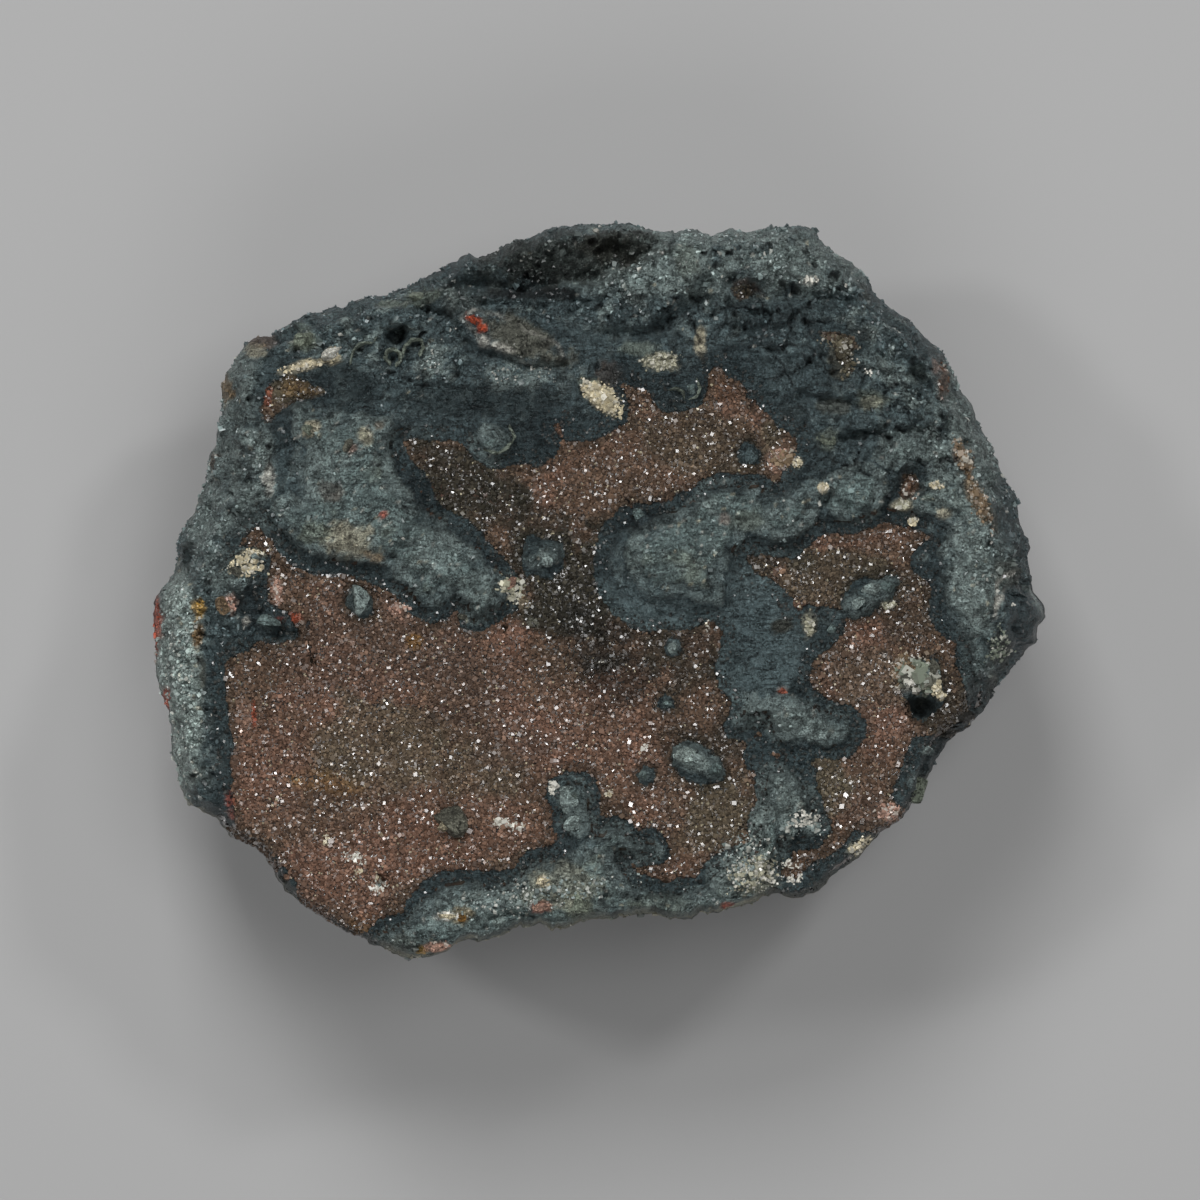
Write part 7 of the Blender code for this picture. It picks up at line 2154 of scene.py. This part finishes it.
@dataclass(frozen=True)
class CurledShells:
    """Thin curled skins of ore that stand up around holes and at the druse's border."""

    relief: Relief
    height: float = 1.2
    wall: float = 0.24
    grit: float = 0.4
    gloss: float = 0.6
    arcs: tuple[tuple[Corner, ...], ...] = (
        ((-33.4, 30.3), (-33.3, 31.2), (-33, 32.2), (-32.2, 33.1), (-31.2, 33.3), (-30.4, 33.2),
         (-29.9, 34.1)),
        ((-28, 30.4), (-28.8, 31.2), (-28.5, 32.2), (-27.6, 32.5), (-26.7, 31.8), (-26.7, 30.8),
         (-27.4, 30.2)),
        ((-26.4, 31.2), (-26.2, 32.7), (-25.2, 33.7), (-24, 33.7), (-23.6, 32.6), (-24.2, 31.5)),
        ((-12.2, 22.2), (-11.4, 20.6), (-12.4, 19.2), (-13.8, 18.4), (-15.4, 19)),
        ((12.9, 28.4), (13.4, 27.2), (12.9, 26.1), (11.9, 25.8)),
        ((9.2, 26.9), (10.2, 27.2), (11.1, 26.7), (11.2, 25.8)))

    def curl(self, route: Points) -> bmesh.types.BMesh:
        """Make one shell that follows a route.

        Args:
            route: Places on the face, in millimetres.

        Returns:
            The shell, in place, in metres.
        """
        bm = bmesh.new()
        bmesh.ops.create_grid(bm, x_segments=28, y_segments=4, size=1)
        along, up, _ = (corners_of(bm.verts).T + 1) / 2
        run = np.linspace(0, 1, len(route))
        flat = np.column_stack([np.interp(along, run, route[:, 0]), np.interp(along, run, route[:, 1])])
        middle = route.mean(0)
        out = flat - middle
        out /= np.linalg.norm(out, axis=1)[:, None]
        flat = flat + out * (0.35 * up ** 2 - 0.1)[:, None]
        places = self.relief.survey(flat)
        tall = self.height * (0.55 + 0.45 * np.sin(math.pi * along))
        tall *= 1 + 0.3 * Grain.smooth(places.spots() / 0.9, 7)
        height = self.relief.height(places)[0] - 0.3 + up * tall
        place_verts(bm, np.column_stack([flat, height]), self.relief.scale)
        for vert in double(bm):
            inward = Vector((*(middle * self.relief.scale - np.array(vert.co.xy)), 0)).normalized()
            vert.co += inward * self.wall * self.relief.scale
        bmesh.ops.recalc_face_normals(bm, faces=bm.faces[:])
        return bm

    def build(self, paints: OrePaint, material: bpy.types.Material) -> None:
        """Build one piece with every shell.

        Args:
            paints: Colours of the ore.
            material: Its finish.
        """
        joined = bmesh.new()
        for arc in self.arcs:
            join(joined, self.curl(np.array(arc, float)))
        mesh = write_mesh("curled_shells", joined)
        corners = corners_of(mesh.vertices) / self.relief.scale
        tint = Tone.SAGE.over(paints.ground(corners, 0.6), np.full(len(corners), 0.7))
        paint_ore(mesh, tint, self.grit, self.gloss)
        show(mesh, material, smooth=True)


@dataclass(frozen=True)
class Studio:
    """A plain pale floor, soft light and a camera that looks straight down on the face."""

    camera_height: float = 2.5
    face_height: float = 0.036
    photo_width: int = 1200
    metres_per_pixel: float = 0.000134
    middle_row: float = 591.5
    floor_size: float = 6.0
    floor_tone: tuple[float, float, float] = (0.42, 0.42, 0.42)

    def set_camera(self) -> None:
        """Aim the camera at the face, framed as in the photo."""
        frame = self.photo_width * self.metres_per_pixel
        camera = bpy.data.cameras.new("camera")
        camera.sensor_width = 36
        camera.lens = 36 * (self.camera_height - self.face_height) / frame
        camera.clip_end = 20
        stand = bpy.data.objects.new("camera", camera)
        shift = (self.middle_row - self.photo_width / 2) * self.metres_per_pixel
        stand.location = (0, shift, self.camera_height)
        bpy.context.scene.collection.objects.link(stand)
        bpy.context.scene.camera = stand

    def add_light(self, name: str, place: Vector, size: float, power: float) -> None:
        """Add a square soft light aimed at the specimen.

        Args:
            name: Name of the light.
            place: Where it hangs, in metres.
            size: Length of its sides, in metres.
            power: Watts.
        """
        light = bpy.data.lights.new(name, "AREA")
        light.size = size
        light.energy = power
        lamp = bpy.data.objects.new(name, light)
        lamp.location = place
        lamp.rotation_euler = (Vector((0, 0, self.face_height)) - place).to_track_quat("-Z", "Y").to_euler()
        bpy.context.scene.collection.objects.link(lamp)

    def lay_floor(self) -> None:
        """Lay the floor."""
        finish = Finish("floor", 0.8)
        finish.shader.inputs["Base Color"].default_value = (*self.floor_tone, 1)
        bm = bmesh.new()
        bmesh.ops.create_grid(bm, x_segments=1, y_segments=1, size=self.floor_size / 2)
        mesh = write_mesh("floor", bm)
        mesh.materials.append(finish.material)
        floor = bpy.data.objects.new("floor", mesh)
        bpy.context.scene.collection.objects.link(floor)

    def build(self) -> None:
        """Set up the camera, the lights, the floor and the surroundings."""
        self.set_camera()
        self.lay_floor()
        self.add_light("key", Vector((-0.25, 0.95, 1.15)), 0.55, 11)
        self.add_light("top", Vector((0.35, 0.25, 1.6)), 0.5, 4)
        self.add_light("fill", Vector((0.1, -1.0, 1.1)), 0.9, 5)
        self.add_light("spark_left", Vector((-0.8, 0.3, 1.0)), 0.16, 2.5)
        self.add_light("spark_right", Vector((0.6, 0.6, 1.0)), 0.16, 2.5)
        scene = bpy.context.scene
        scene.view_settings.view_transform = "Standard"
        scene.world = bpy.data.worlds.new("room")
        scene.world.use_nodes = True
        sky = scene.world.node_tree.nodes["Background"].inputs
        sky["Color"].default_value = (1, 1, 1, 1)
        sky["Strength"].default_value = 0.1


def main() -> None:
    """Build the specimen around its frame and light it."""
    logging.basicConfig(level=logging.INFO, format="%(name)s: %(message)s")
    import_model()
    relief = Relief()
    ore = OreFinish().make()
    red = CrystalFinish("rhodochrosite_dressed", 0.16).make()
    pale = CrystalFinish("calcite_dressed", 0.32, 0.25).make()
    paints = OrePaint()
    OreMatrix(relief).build(paints, ore)
    OreGrit(relief).build(paints, CrystalFinish("ore_grains_dressed", 0.38).make())
    druse = Druse(relief)
    druse.build_bed(red)
    druse.build_crystals(red)
    Calcite(relief).build(pale)
    Nuggets(relief).build(ore)
    CurledShells(relief).build(paints, ore)
    Studio().build()


if __name__ == "__main__":
    main()
